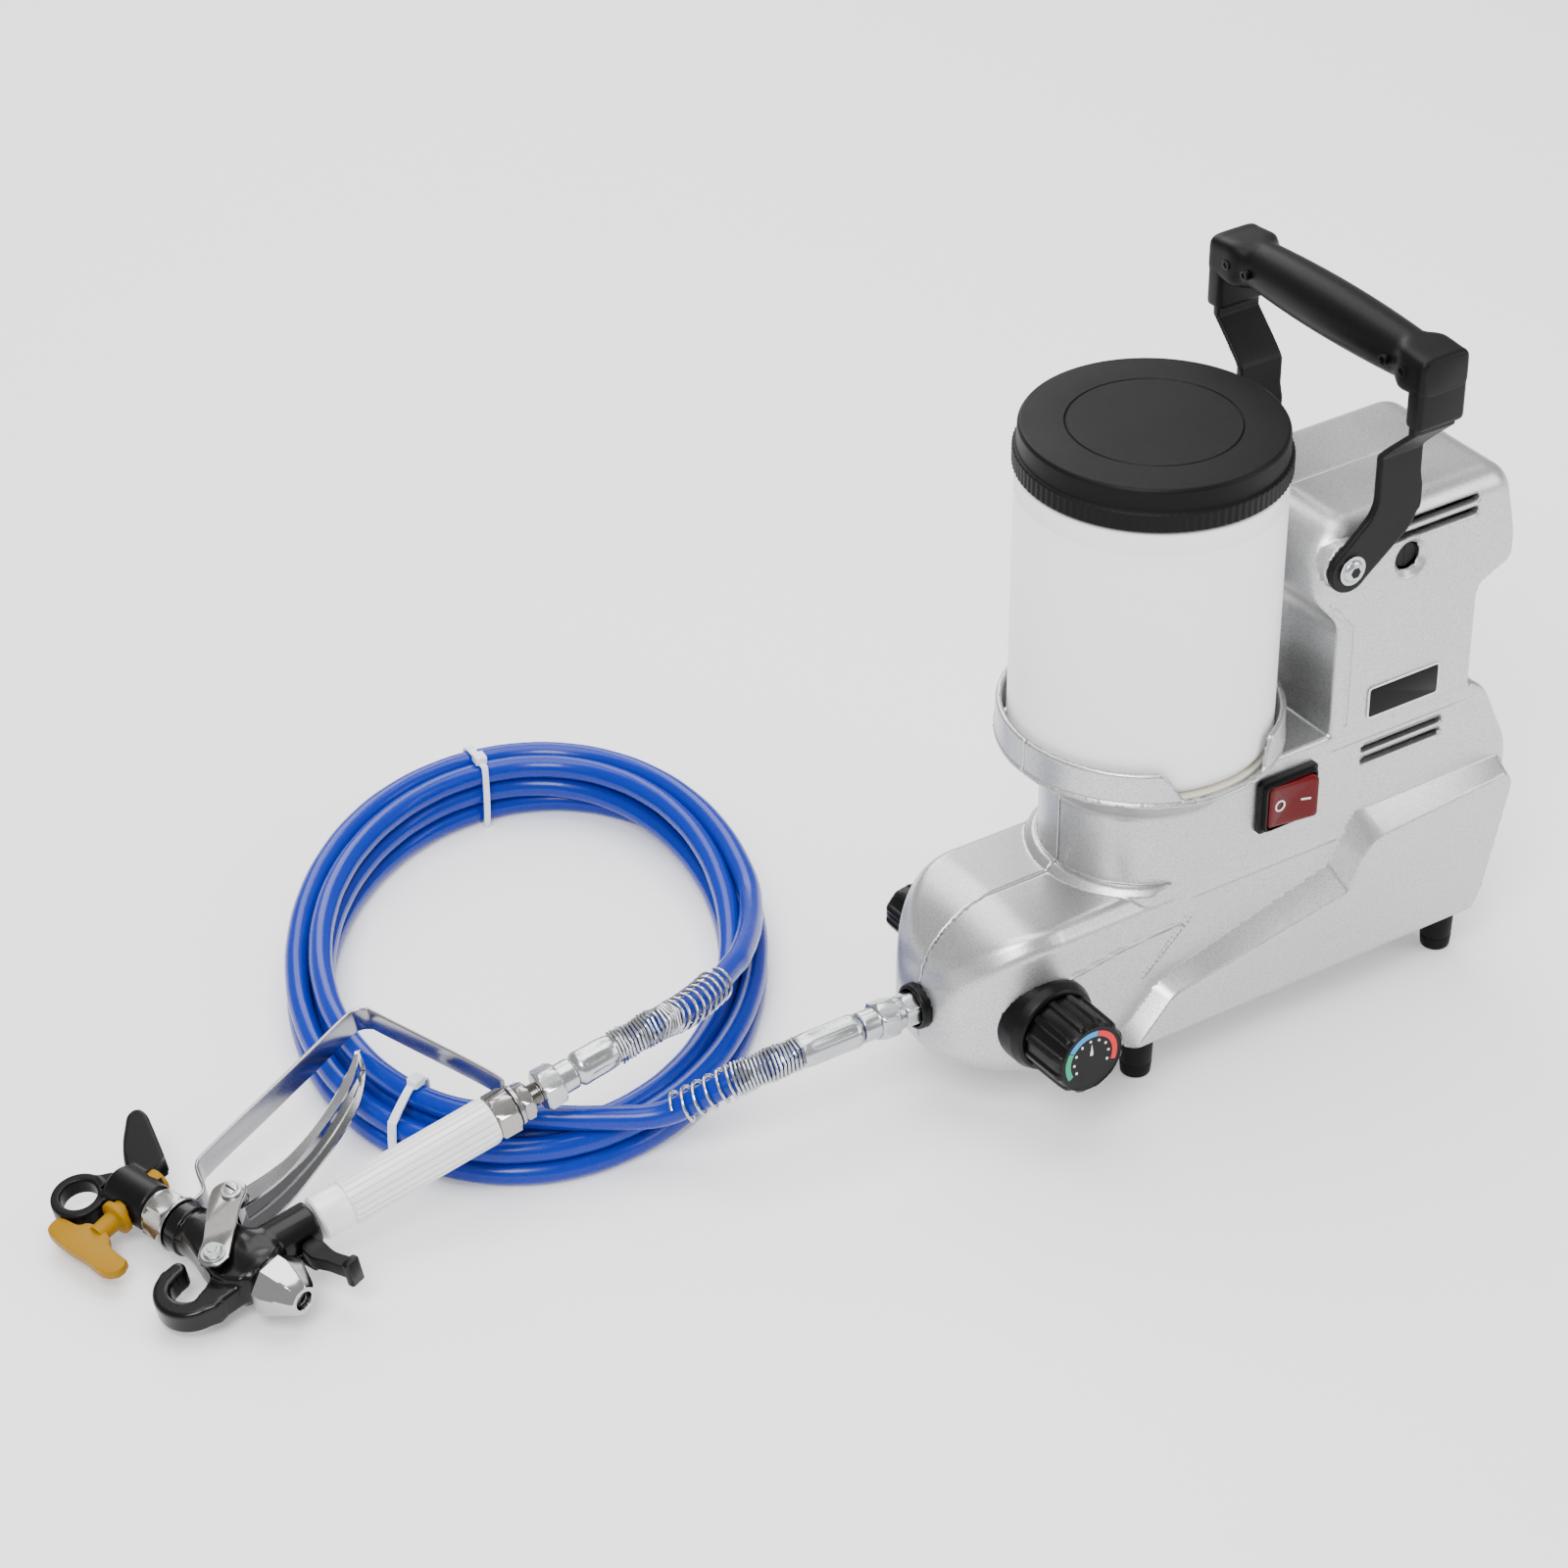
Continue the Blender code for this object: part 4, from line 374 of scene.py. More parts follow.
def grid_faces(rows: int, columns: int, wrap_rows: bool = False, wrap_columns: bool = True) -> Array:
    """Quads of a grid of points, numbered row by row, closed round either way.

    Args:
        rows: how many rows of points.
        columns: how many points in a row.
        wrap_rows: True joins the last row to the first.
        wrap_columns: True joins each row's end to its start.

    Returns:
        The corner numbers, four to a face.
    """
    row = np.arange(rows if wrap_rows else rows - 1)
    column = np.arange(columns if wrap_columns else columns - 1)
    first, second = np.meshgrid(row, column, indexing="ij")
    up, right = (first + 1) % rows, (second + 1) % columns
    quads = [first * columns + second, first * columns + right, up * columns + right, up * columns + second]
    return np.stack(quads, axis=-1).reshape(-1, 4)


def skin(rings: Array, closed: bool = False) -> Body:
    """A closed body through rings of equal point counts, with flat ends unless it closes on itself.

    Args:
        rings: points of shape (rings, points, 3), each ring turning left about the way the rings go.
        closed: True joins the last ring to the first.

    Returns:
        Its points and its faces.
    """
    count, around, _ = rings.shape
    faces = grid_faces(count, around, wrap_rows=closed).tolist()
    if not closed:
        faces.append(list(range(around))[::-1])
        faces.append([(count - 1) * around + i for i in range(around)])
    return rings.reshape(-1, 3), faces


AXIS_ORDER = {"X": (2, 0, 1), "Y": (1, 2, 0), "Z": (0, 1, 2)}


def on_axis(points: Array, axis: str, centre: Pair = (0.0, 0.0)) -> Array:
    """Points made about Z, laid about another axis with the same handedness and moved to a centre.

    Args:
        points: the points, one to a row.
        axis: X, Y or Z.
        centre: where the axis stands, in the two directions across it.

    Returns:
        The laid points.
    """
    laid = points[..., list(AXIS_ORDER[axis])]
    shift = {"X": (0.0, centre[0], centre[1]), "Y": (centre[0], 0.0, centre[1]), "Z": (*centre, 0.0)}[axis]
    return laid + np.array(shift)


def on_side(body: Body, centre: Pair, side: int) -> Body:
    """A body made about Z, laid about Y so that its Z points out of one side of the machine.

    Args:
        body: a body made about Z.
        centre: where the axis stands, in the two directions across it.
        side: -1 for the near side, 1 for the far one.

    Returns:
        The laid body.
    """
    points = on_axis(body[0], "Y", centre)
    if side < 0:
        return points * np.array([1.0, -1.0, 1.0]), [face[::-1] for face in body[1]]
    return points, body[1]


def ahead_of_nose(points: Array, level: float) -> Array:
    """Points made about Z, laid about the machine's X at a height, with Z pointing ahead of the nose.

    Args:
        points: the points, one to a row.
        level: the height of the axis.

    Returns:
        The laid points.
    """
    return on_axis(points, "X") * np.array([-1, -1, 1]) + np.array([0, 0, level])


def turned_body(profile: Sequence[Pair], segments: int = 64, ripple: Array | None = None,
                hollow: bool = False) -> Body:
    """A profile of (radius, height) turned about Z, from its lowest point up its outer side.

    Args:
        profile: the profile's points; a hollow one is a closed loop that comes back down inside.
        segments: points round the turn.
        ripple: what is added to the radius, of shape (profile points, segments).
        hollow: True for a closed loop, which needs no ends.

    Returns:
        Its points and its faces.
    """
    outline = np.array(profile, float)
    angle = np.linspace(0.0, math.tau, segments, endpoint=False)
    radius = outline[:, :1] + (0.0 if ripple is None else ripple)
    height = np.repeat(outline[:, 1:], segments, axis=1)
    rings = np.stack([radius * np.cos(angle), radius * np.sin(angle), height], axis=-1)
    return skin(rings, closed=hollow)


def rounded_profile(corners: Sequence[Triple], steps: int = 5) -> list[Pair]:
    """A profile whose corners (radius, height, rounding) are replaced by quadratic arcs.

    Args:
        corners: radius, height and rounding of each corner.
        steps: points to each rounded corner.

    Returns:
        The profile's points.
    """
    points: list[Pair] = []
    count = len(corners)
    for index, (x, z, rounding) in enumerate(corners):
        here = np.array([x, z])
        if rounding <= 0.0 or index in (0, count - 1):
            points.append((x, z))
            continue
        before = np.array(corners[index - 1][:2]) - here
        after = np.array(corners[index + 1][:2]) - here
        start = here + before / np.linalg.norm(before) * rounding
        end = here + after / np.linalg.norm(after) * rounding
        for step in np.linspace(0.0, 1.0, steps):
            point = (1 - step) ** 2 * start + 2 * step * (1 - step) * here + step ** 2 * end
            points.append((float(point[0]), float(point[1])))
    return points


def lifted(outlines: Iterable[tuple[Array, float]]) -> Array:
    """Flat outlines, each lifted to its own height.

    Args:
        outlines: outlines, each with its height.

    Returns:
        The rings.
    """
    return np.stack([np.column_stack([flat, np.full(len(flat), height)]) for flat, height in outlines])


def prism_body(outline: Sequence[Pair], low: float, high: float) -> Body:
    """An outline that turns left, carried along Z from low to high.

    Args:
        outline: the outline's corners, in order.
        low: the height it starts at.
        high: the height it ends at.

    Returns:
        Its points and its faces.
    """
    flat = np.array(outline, float)
    return skin(lifted((flat, level) for level in (low, high)))


def edge_plate(outline: Array, levels: Sequence[Pair]) -> Array:
    """An outline in X and Z at several places along Y, shrunk about its mean towards the plate's faces.

    Args:
        outline: the outline's corners, in order.
        levels: places along Y, each with its share of the full size.

    Returns:
        The rings.
    """
    middle = outline.mean(axis=0)
    rings = []
    for place, share in levels:
        flat = middle + (outline - middle) * share
        rings.append(np.column_stack([flat[:, 0], np.full(len(flat), place), flat[:, 1]]))
    return np.stack(rings)


def strip_body(path: Array, section: Array, width: Array | float = 1.0, depth: Array | float = 1.0) -> Body:
    """A section of (across, outward) points carried along a path in X and Z.

    Each point is path + Y * across * width + front * outward * depth, where front is square to both.

    Args:
        path: points in X and Z.
        section: the section's points, each (across, outward).
        width: how much wider each place is.
        depth: how much deeper each place is.

    Returns:
        Its points and its faces.
    """
    line = np.column_stack([path[:, 0], np.zeros(len(path)), path[:, 1]])
    side = np.tile([0.0, 1.0, 0.0], (len(line), 1))
    front = np.cross(side, unit_rows(np.gradient(line, axis=0)))
    wide, deep = np.broadcast_to(width, len(line)), np.broadcast_to(depth, len(line))
    rings = (line[:, None] + side[:, None] * (section[None, :, :1] * wide[:, None, None])
             + front[:, None] * (section[None, :, 1:] * deep[:, None, None]))
    return skin(rings[:, ::-1])


def unit_rows(vectors: Array) -> Array:
    """Directions of length one.

    Args:
        vectors: one to a row.

    Returns:
        The same directions, of length 1.
    """
    return vectors / np.linalg.norm(vectors, axis=1, keepdims=True)


def arc(radius: float, centre: Pair, start: float, sweep: float, steps: int = 8) -> list[Pair]:
    """Points along an arc, angles in degrees.

    Args:
        radius: the radius.
        centre: its centre.
        start: where it starts, in degrees.
        sweep: how far it turns, in degrees.
        steps: how many steps along it.

    Returns:
        Its points.
    """
    angles = np.radians(start + sweep * np.linspace(0.0, 1.0, steps + 1))
    return [(centre[0] + radius * math.cos(a), centre[1] + radius * math.sin(a)) for a in angles]


def polygon_points(sides: int, across: float, start: float = 30.0) -> list[Pair]:
    """The corners of a regular polygon that is so wide across its flats.

    Args:
        sides: how many sides.
        across: the distance between two opposite flats.
        start: where the first corner is, in degrees.

    Returns:
        Its corners.
    """
    radius = across / 2.0 / math.cos(math.pi / sides)
    return [(radius * math.cos(math.radians(start) + math.tau * i / sides),
             radius * math.sin(math.radians(start) + math.tau * i / sides)) for i in range(sides)]


def joined(*bodies: Body) -> Body:
    """Several bodies as one set of points and faces.

    Args:
        bodies: points and faces of each.

    Returns:
        The points and the faces of all.
    """
    points, faces, count = [], [], 0
    for vertices, corners in bodies:
        points.append(vertices)
        faces.extend([[index + count for index in face] for face in corners])
        count += len(vertices)
    return np.concatenate(points), faces


def smooth_path(points: Sequence[Sequence[float]], spacing: float) -> Array:
    """Evenly spaced points on the Catmull-Rom curve through the given ones.

    On each stretch from b to c the point is the cubic that passes b and c with tangents (c - a) / 2
    and (d - b) / 2.

    Args:
        points: the points it goes through.
        spacing: the distance between points.

    Returns:
        Evenly spaced points.
    """
    given = np.array(points, float)
    full = np.vstack([2 * given[0] - given[1], given, 2 * given[-1] - given[-2]])
    a, b, c, d = full[:-3, None], full[1:-2, None], full[2:-1, None], full[3:, None]
    t = np.linspace(0.0, 1.0, 24, endpoint=False)[None, :, None]
    curve = 0.5 * (2 * b + (c - a) * t + (2 * a - 5 * b + 4 * c - d) * t ** 2
                   + (3 * b - a - 3 * c + d) * t ** 3)
    dense = np.vstack([curve.reshape(-1, given.shape[1]), given[-1:]])
    lengths = np.concatenate([[0.0], np.cumsum(np.linalg.norm(np.diff(dense, axis=0), axis=1))])
    wanted = np.linspace(0.0, lengths[-1], max(2, round(lengths[-1] / spacing) + 1))
    return np.column_stack([np.interp(wanted, lengths, dense[:, i]) for i in range(dense.shape[1])])


def path_frames(path: Array, upright: Triple = (0.0, 0.0, 1.0)) -> tuple[Array, Array]:
    """Two directions square to a path at each of its points, the second as upright as it can be.

    Args:
        path: the points of a path.
        upright: the direction that stays up.

    Returns:
        Two directions across the path at each point.
    """
    ahead = unit_rows(np.gradient(path, axis=0))
    side = unit_rows(np.cross(ahead, np.array(upright, float)))
    return side, np.cross(side, ahead)


def circle_section(radius: float, sides: int = 12) -> Array:
    """A circle's points, turning left.

    Args:
        radius: the radius.
        sides: how many sides.

    Returns:
        Its points.
    """
    angle = np.linspace(0.0, math.tau, sides, endpoint=False)
    return radius * np.column_stack([np.cos(angle), np.sin(angle)])


def rounded_rectangle(width: float, height: float, rounding: float, steps: int = 4) -> Array:
    """A rectangle with round corners, turning left.

    Args:
        width: how wide it is.
        height: how high it is.
        rounding: the radius of its corners.
        steps: points to each rounded corner.

    Returns:
        Its points.
    """
    x, y = width / 2.0 - rounding, height / 2.0 - rounding
    corners = arc(rounding, (x, y), 0, 90, steps) + arc(rounding, (-x, y), 90, 90, steps)
    corners += arc(rounding, (-x, -y), 180, 90, steps) + arc(rounding, (x, -y), 270, 90, steps)
    return np.array(corners)


# ------------------------------------------------------------------ solids given by a field


def round_max(a: Array, b: Array, radius: float | Array) -> Array:
    """What two solids share, with the edge between them rounded to a radius.

    Args:
        a: the first distance.
        b: the second distance.
        radius: how round the edge between them is.

    Returns:
        The distance to what lies in both.
    """
    return np.minimum(-radius, np.maximum(a, b)) + np.hypot(np.maximum(a + radius, 0),
                                                            np.maximum(b + radius, 0))


def round_min(a: Array, b: Array, radius: float | Array) -> Array:
    """Two solids joined, with the corner between them filled to a radius.

    Args:
        a: the first distance.
        b: the second distance.
        radius: how round the hollow between them is.

    Returns:
        The distance to what lies in either.
    """
    return -round_max(-a, -b, radius)


def edge_distance(u: Array, v: Array, start: Sequence[float], end: Sequence[float]) -> Array:
    """Distance to the left of the line from start to end.

    Args:
        u: place across.
        v: place up.
        start: the line's first point.
        end: its last point.

    Returns:
        The distance, positive on the left of the line.
    """
    du, dv = end[0] - start[0], end[1] - start[1]
    return ((v - start[1]) * du - (u - start[0]) * dv) / np.hypot(du, dv)


def polygon_field(u: Array, v: Array, outline: Sequence[Pair], radius: float) -> Array:
    """Distance outside a convex outline given clockwise, its corners rounded.

    Args:
        u: place across.
        v: place up.
        outline: the outline's corners, in order.
        radius: how round its corners are.

    Returns:
        The distance, negative inside.
    """
    ends = list(outline[1:]) + [outline[0]]
    result = edge_distance(u, v, outline[0], ends[0])
    for start, end in list(zip(outline, ends))[1:]:
        result = round_max(result, edge_distance(u, v, start, end), radius)
    return result


def capsule_field(u: Array, v: Array, start: Pair, end: Pair, radius: float) -> Array:
    """Distance outside a line thickened to a radius.

    Args:
        u: place across.
        v: place up.
        start: one end of the middle line.
        end: the other end.
        radius: the distance kept from it.

    Returns:
        The distance, negative inside.
    """
    du, dv = end[0] - start[0], end[1] - start[1]
    share = np.clip(((u - start[0]) * du + (v - start[1]) * dv) / (du * du + dv * dv), 0.0, 1.0)
    return np.hypot(u - start[0] - share * du, v - start[1] - share * dv) - radius


def smooth_step(value: Array, low: float, high: float) -> Array:
    """0 below low, 1 above high and a smooth rise between.

    Args:
        value: what is measured.
        low: where the step starts.
        high: where it is complete.

    Returns:
        A share from 0 to 1.
    """
    share = np.clip((value - low) / (high - low), 0.0, 1.0)
    return share * share * (3.0 - 2.0 * share)


def field_gradient(shape: Field, points: Array, reach: float) -> Array:
    """The field's slope at each point, by central differences.

    Args:
        shape: the field.
        points: where it is measured.
        reach: the step the slope is measured over.

    Returns:
        The slope at each point.
    """
    slopes = []
    for axis in range(3):
        shift = np.zeros(3)
        shift[axis] = reach
        ahead, behind = points + shift, points - shift
        slopes.append((shape(*ahead.T) - shape(*behind.T)) / (2 * reach))
    return np.stack(slopes, axis=-1)


def field_surface(shape: Field, low: Sequence[float], high: Sequence[float],
                  step: float) -> tuple[Array, Array, Array]:
    """The surface where a field is zero, as quads, one point in each grid cell that it crosses.

    Every point starts at the mean of its cell's edge crossings and is then moved down the field's
    slope until it lies on the surface. The slope there is its normal.

    Args:
        shape: the field, negative inside.
        low: the lowest corner of the space that holds the solid, in millimetres.
        high: its highest corner.
        step: the grid's spacing.

    Returns:
        Points, quads and normals.
    """
    axes = [np.arange(a, b + step, step) for a, b in zip(low, high)]
    values = shape(*np.meshgrid(*axes, indexing="ij"))
    inside = values < 0
    cells = tuple(n - 1 for n in values.shape)
    corner = {(i, j, k): inside[i:i + cells[0], j:j + cells[1], k:k + cells[2]]
              for i in (0, 1) for j in (0, 1) for k in (0, 1)}
    count = sum(part.astype(np.int8) for part in corner.values())
    active = np.argwhere((count > 0) & (count < 8))
    number = np.full(cells, -1)
    number[tuple(active.T)] = np.arange(len(active))
    total = np.zeros((len(active), 3))
    crossed = np.zeros(len(active))
    for axis in range(3):
        for first in (0, 1):
            for second in (0, 1):
                start = np.insert(np.array([first, second]), axis, 0)
                end = start.copy()
                end[axis] = 1
                a, b = values[tuple((active + start).T)], values[tuple((active + end).T)]
                hit = (a < 0) != (b < 0)
                share = np.where(hit, a / np.where(hit, a - b, 1.0), 0.0)
                place = active + start + share[:, None] * (end - start)
                total += place * hit[:, None]
                crossed += hit
    points = total / crossed[:, None] * step + np.array([a[0] for a in axes])
    for _ in range(4):
        slope = field_gradient(shape, points, 0.05 * step)
        size = np.maximum(np.sum(slope * slope, axis=1), 0.05)
        move = (shape(*points.T) / size)[:, None] * slope
        length = np.linalg.norm(move, axis=1, keepdims=True)
        points -= move * np.minimum(1.0, 0.5 * step / np.maximum(length, 1e-9))
    slope = field_gradient(shape, points, 0.12 * step)
    normals = slope / np.maximum(np.linalg.norm(slope, axis=1, keepdims=True), 1e-9)
    quads = []
    for axis in range(3):
        behind = np.take(inside, range(0, inside.shape[axis] - 1), axis=axis)
        ahead = np.take(inside, range(1, inside.shape[axis]), axis=axis)
        for leaving in (True, False):
            found = np.argwhere((behind & ~ahead) if leaving else (~behind & ahead))
            first, second = (axis + 1) % 3, (axis + 2) % 3
            keep = (found[:, first] > 0) & (found[:, second] > 0)
            keep &= (found[:, first] < cells[first]) & (found[:, second] < cells[second])
            found = found[keep]
            corners = []
            for one, two in ((1, 1), (0, 1), (0, 0), (1, 0)):
                cell = found.copy()
                cell[:, first] -= one
                cell[:, second] -= two
                corners.append(number[tuple(cell.T)])
            quads.append(np.stack(corners if leaving else corners[::-1], axis=-1))
    return points, np.concatenate(quads), normals


def place_field(name: str, shape: Field, low: Sequence[float], high: Sequence[float], step: float,
                stand: Stand, finish: Finish, body: str, nodes: Sequence[str] = ()) -> bpy.types.Object:
    """Makes a piece out of a field, with the field's own normals.

    Args:
        name: the piece's name.
        shape: the field.
        low: the lowest corner of the box to search.
        high: its highest corner.
        step: the size of the grid's cells.
        stand: the stand the points belong to.
        finish: its finish.
        body: the body it rides on.
        nodes: the CAD nodes it stands for.

    Returns:
        The new piece.
    """
    points, quads, normals = field_surface(shape, low, high, step)
    return place_piece(name, stand.world(points), quads, finish, body, nodes, stand.turned(normals))


def nut_body(low: float, high: float, across: float, sides: int = 6, start: float = 30.0) -> Body:
    """A chamfered nut about Z: a polygon kept inside a cone at each end.

    The polygon's radius at angle t is half its width over flats divided by the cosine of the angle to
    the middle of the nearest flat; a ring's radius is the smaller of that and the cone's.

    Args:
        low: the height it starts at.
        high: the height it ends at.
        across: the distance between two opposite flats.
        sides: how many sides.
        start: where its first corner is, in degrees.

    Returns:
        Its points and its faces.
    """
    segments = sides * 10
    angle = np.linspace(0.0, math.tau, segments, endpoint=False)
    step = math.tau / sides
    off = (angle - math.radians(start) + 0.5 * step) % step - 0.5 * step
    flat = across / 2.0 / np.cos(0.5 * step - np.abs(off))
    rings = []
    for along, room in ((low, 0.95), (low + 0.5, 1.02), (low + 1.6, 1.2), (high - 1.6, 1.2),
                        (high - 0.5, 1.02), (high, 0.95)):
        radius = np.minimum(flat, across / 2.0 * room)
        rings.append(np.column_stack([radius * np.cos(angle), radius * np.sin(angle),
                                      np.full(segments, along)]))
    return skin(np.stack(rings))


# ------------------------------------------------------------------ where things stand

MACHINE_ORIGIN = (184.3, -48.2, 0.0)
GUN_ORIGIN = (-336.2, 10.6, 22.45)
SPRAY_DIRECTION = (-0.25, 0.968, 0.0)
GRIP_DIRECTION = (0.9765, -0.033, 0.213)


def unit(vector: Sequence[float]) -> Array:
    """A direction of length one.

    Args:
        vector: any direction.

    Returns:
        The same direction, of length 1.
    """
    array = np.array(vector, float)
    return array / np.linalg.norm(array)


def gun_axes() -> tuple[Triple, ...]:
    """The gun's axes as the columns of an array: along the spray, to its left and up.

    Returns:
        The gun's axes.
    """
    spray, grip = unit(SPRAY_DIRECTION), unit(GRIP_DIRECTION)
    right = unit(np.cross(grip, spray))
    return tuple(map(tuple, np.stack([spray, -right, unit(np.cross(right, spray))], axis=1)))


MACHINE = Stand(MACHINE_ORIGIN)
GUN = Stand(GUN_ORIGIN, gun_axes())


def grip_heading() -> Array:
    """The grip's direction in the gun's own axes.

    Returns:
        The direction.
    """
    return unit(GRIP_DIRECTION) @ np.array(GUN.axes)


def grip_stand() -> Stand:
    """A stand on the gun's crossing whose Z runs along the grip.

    Returns:
        The stand.
    """
    down = np.array(GUN.axes) @ grip_heading()
    across = np.array(GUN.axes)[:, 1]
    return Stand(GUN_ORIGIN, tuple(map(tuple, np.stack([np.cross(across, down), across, down], axis=1))))


GRIP = grip_stand()


# ------------------------------------------------------------------ camera, floor and light


@dataclass(frozen=True)
class Studio:
    """The camera, the floor and the soft light."""

    place: Triple = (-1.124, -1.650, 1.5166)
    back: Triple = (-0.4663, -0.6913, 0.5519)
    lens: float = 105.75
    sensor: float = 36.0
    floor_size: float = 9.0

    def camera(self) -> None:
        """A long lens that looks down at the machine and its hose."""
        data = bpy.data.cameras.new("camera")
        data.lens = self.lens
        data.sensor_width = self.sensor
        data.clip_start, data.clip_end = 0.05, 50.0
        camera = bpy.data.objects.new("camera", data)
        back = Vector(self.back).normalized()
        right = Vector((0, 0, 1)).cross(back).normalized()
        turn = Matrix((right, back.cross(right), back)).transposed().to_4x4()
        camera.matrix_world = Matrix.Translation(self.place) @ turn
        bpy.context.scene.collection.objects.link(camera)
        bpy.context.scene.camera = camera

    def floor(self) -> None:
        """A plain pale floor."""
        half = self.floor_size / 2.0
        mesh = bpy.data.meshes.new("floor")
        corners = [(-half, -half, 0), (half, -half, 0), (half, half, 0), (-half, half, 0)]
        mesh.from_pydata(corners, [], [(0, 1, 2, 3)])
        pale = bpy.data.materials.new("floor_pale")
        pale.use_nodes = True
        shader = pale.node_tree.nodes["Principled BSDF"]
        shader.inputs["Base Color"].default_value = (0.86, 0.86, 0.87, 1.0)
        shader.inputs["Roughness"].default_value = 0.75
        shader.inputs["Emission Color"].default_value = (1.0, 1.0, 1.0, 1.0)
        shader.inputs["Emission Strength"].default_value = 0.22
        shader.inputs["Specular IOR Level"].default_value = 0.2
        mesh.materials.append(pale)
        floor = bpy.data.objects.new("floor", mesh)
        floor.location.z = -0.0005
        bpy.context.scene.collection.objects.link(floor)

    @staticmethod
    def lights() -> None:
        """Three large soft lights and an even pale surround."""
        for name, place, size, power in (("key", (-1.5, -1.3, 2.4), 1.2, 95.0),
                                         ("fill", (2.0, -1.7, 1.3), 1.6, 34.0),
                                         ("top", (0.2, 0.4, 2.6), 2.2, 80.0),
                                         ("rim", (0.8, 2.2, 1.6), 1.4, 34.0)):
            data = bpy.data.lights.new(name, "AREA")
            data.size = size
            data.energy = power
            lamp = bpy.data.objects.new(name, data)
            lamp.location = place
            lamp.rotation_mode = "QUATERNION"
            lamp.rotation_quaternion = (Vector((0, 0, 0.15)) - Vector(place)).to_track_quat("-Z", "Y")
            bpy.context.scene.collection.objects.link(lamp)
        world = bpy.data.worlds.new("surround")
        world.use_nodes = True
        world.node_tree.nodes["Background"].inputs["Color"].default_value = (1.0, 1.0, 1.0, 1.0)
        world.node_tree.nodes["Background"].inputs["Strength"].default_value = 0.62
        bpy.context.scene.world = world

    def build(self) -> None:
        """Camera first, then the floor and the lights."""
        self.camera()
        self.floor()
        self.lights()


# ------------------------------------------------------------------ hose


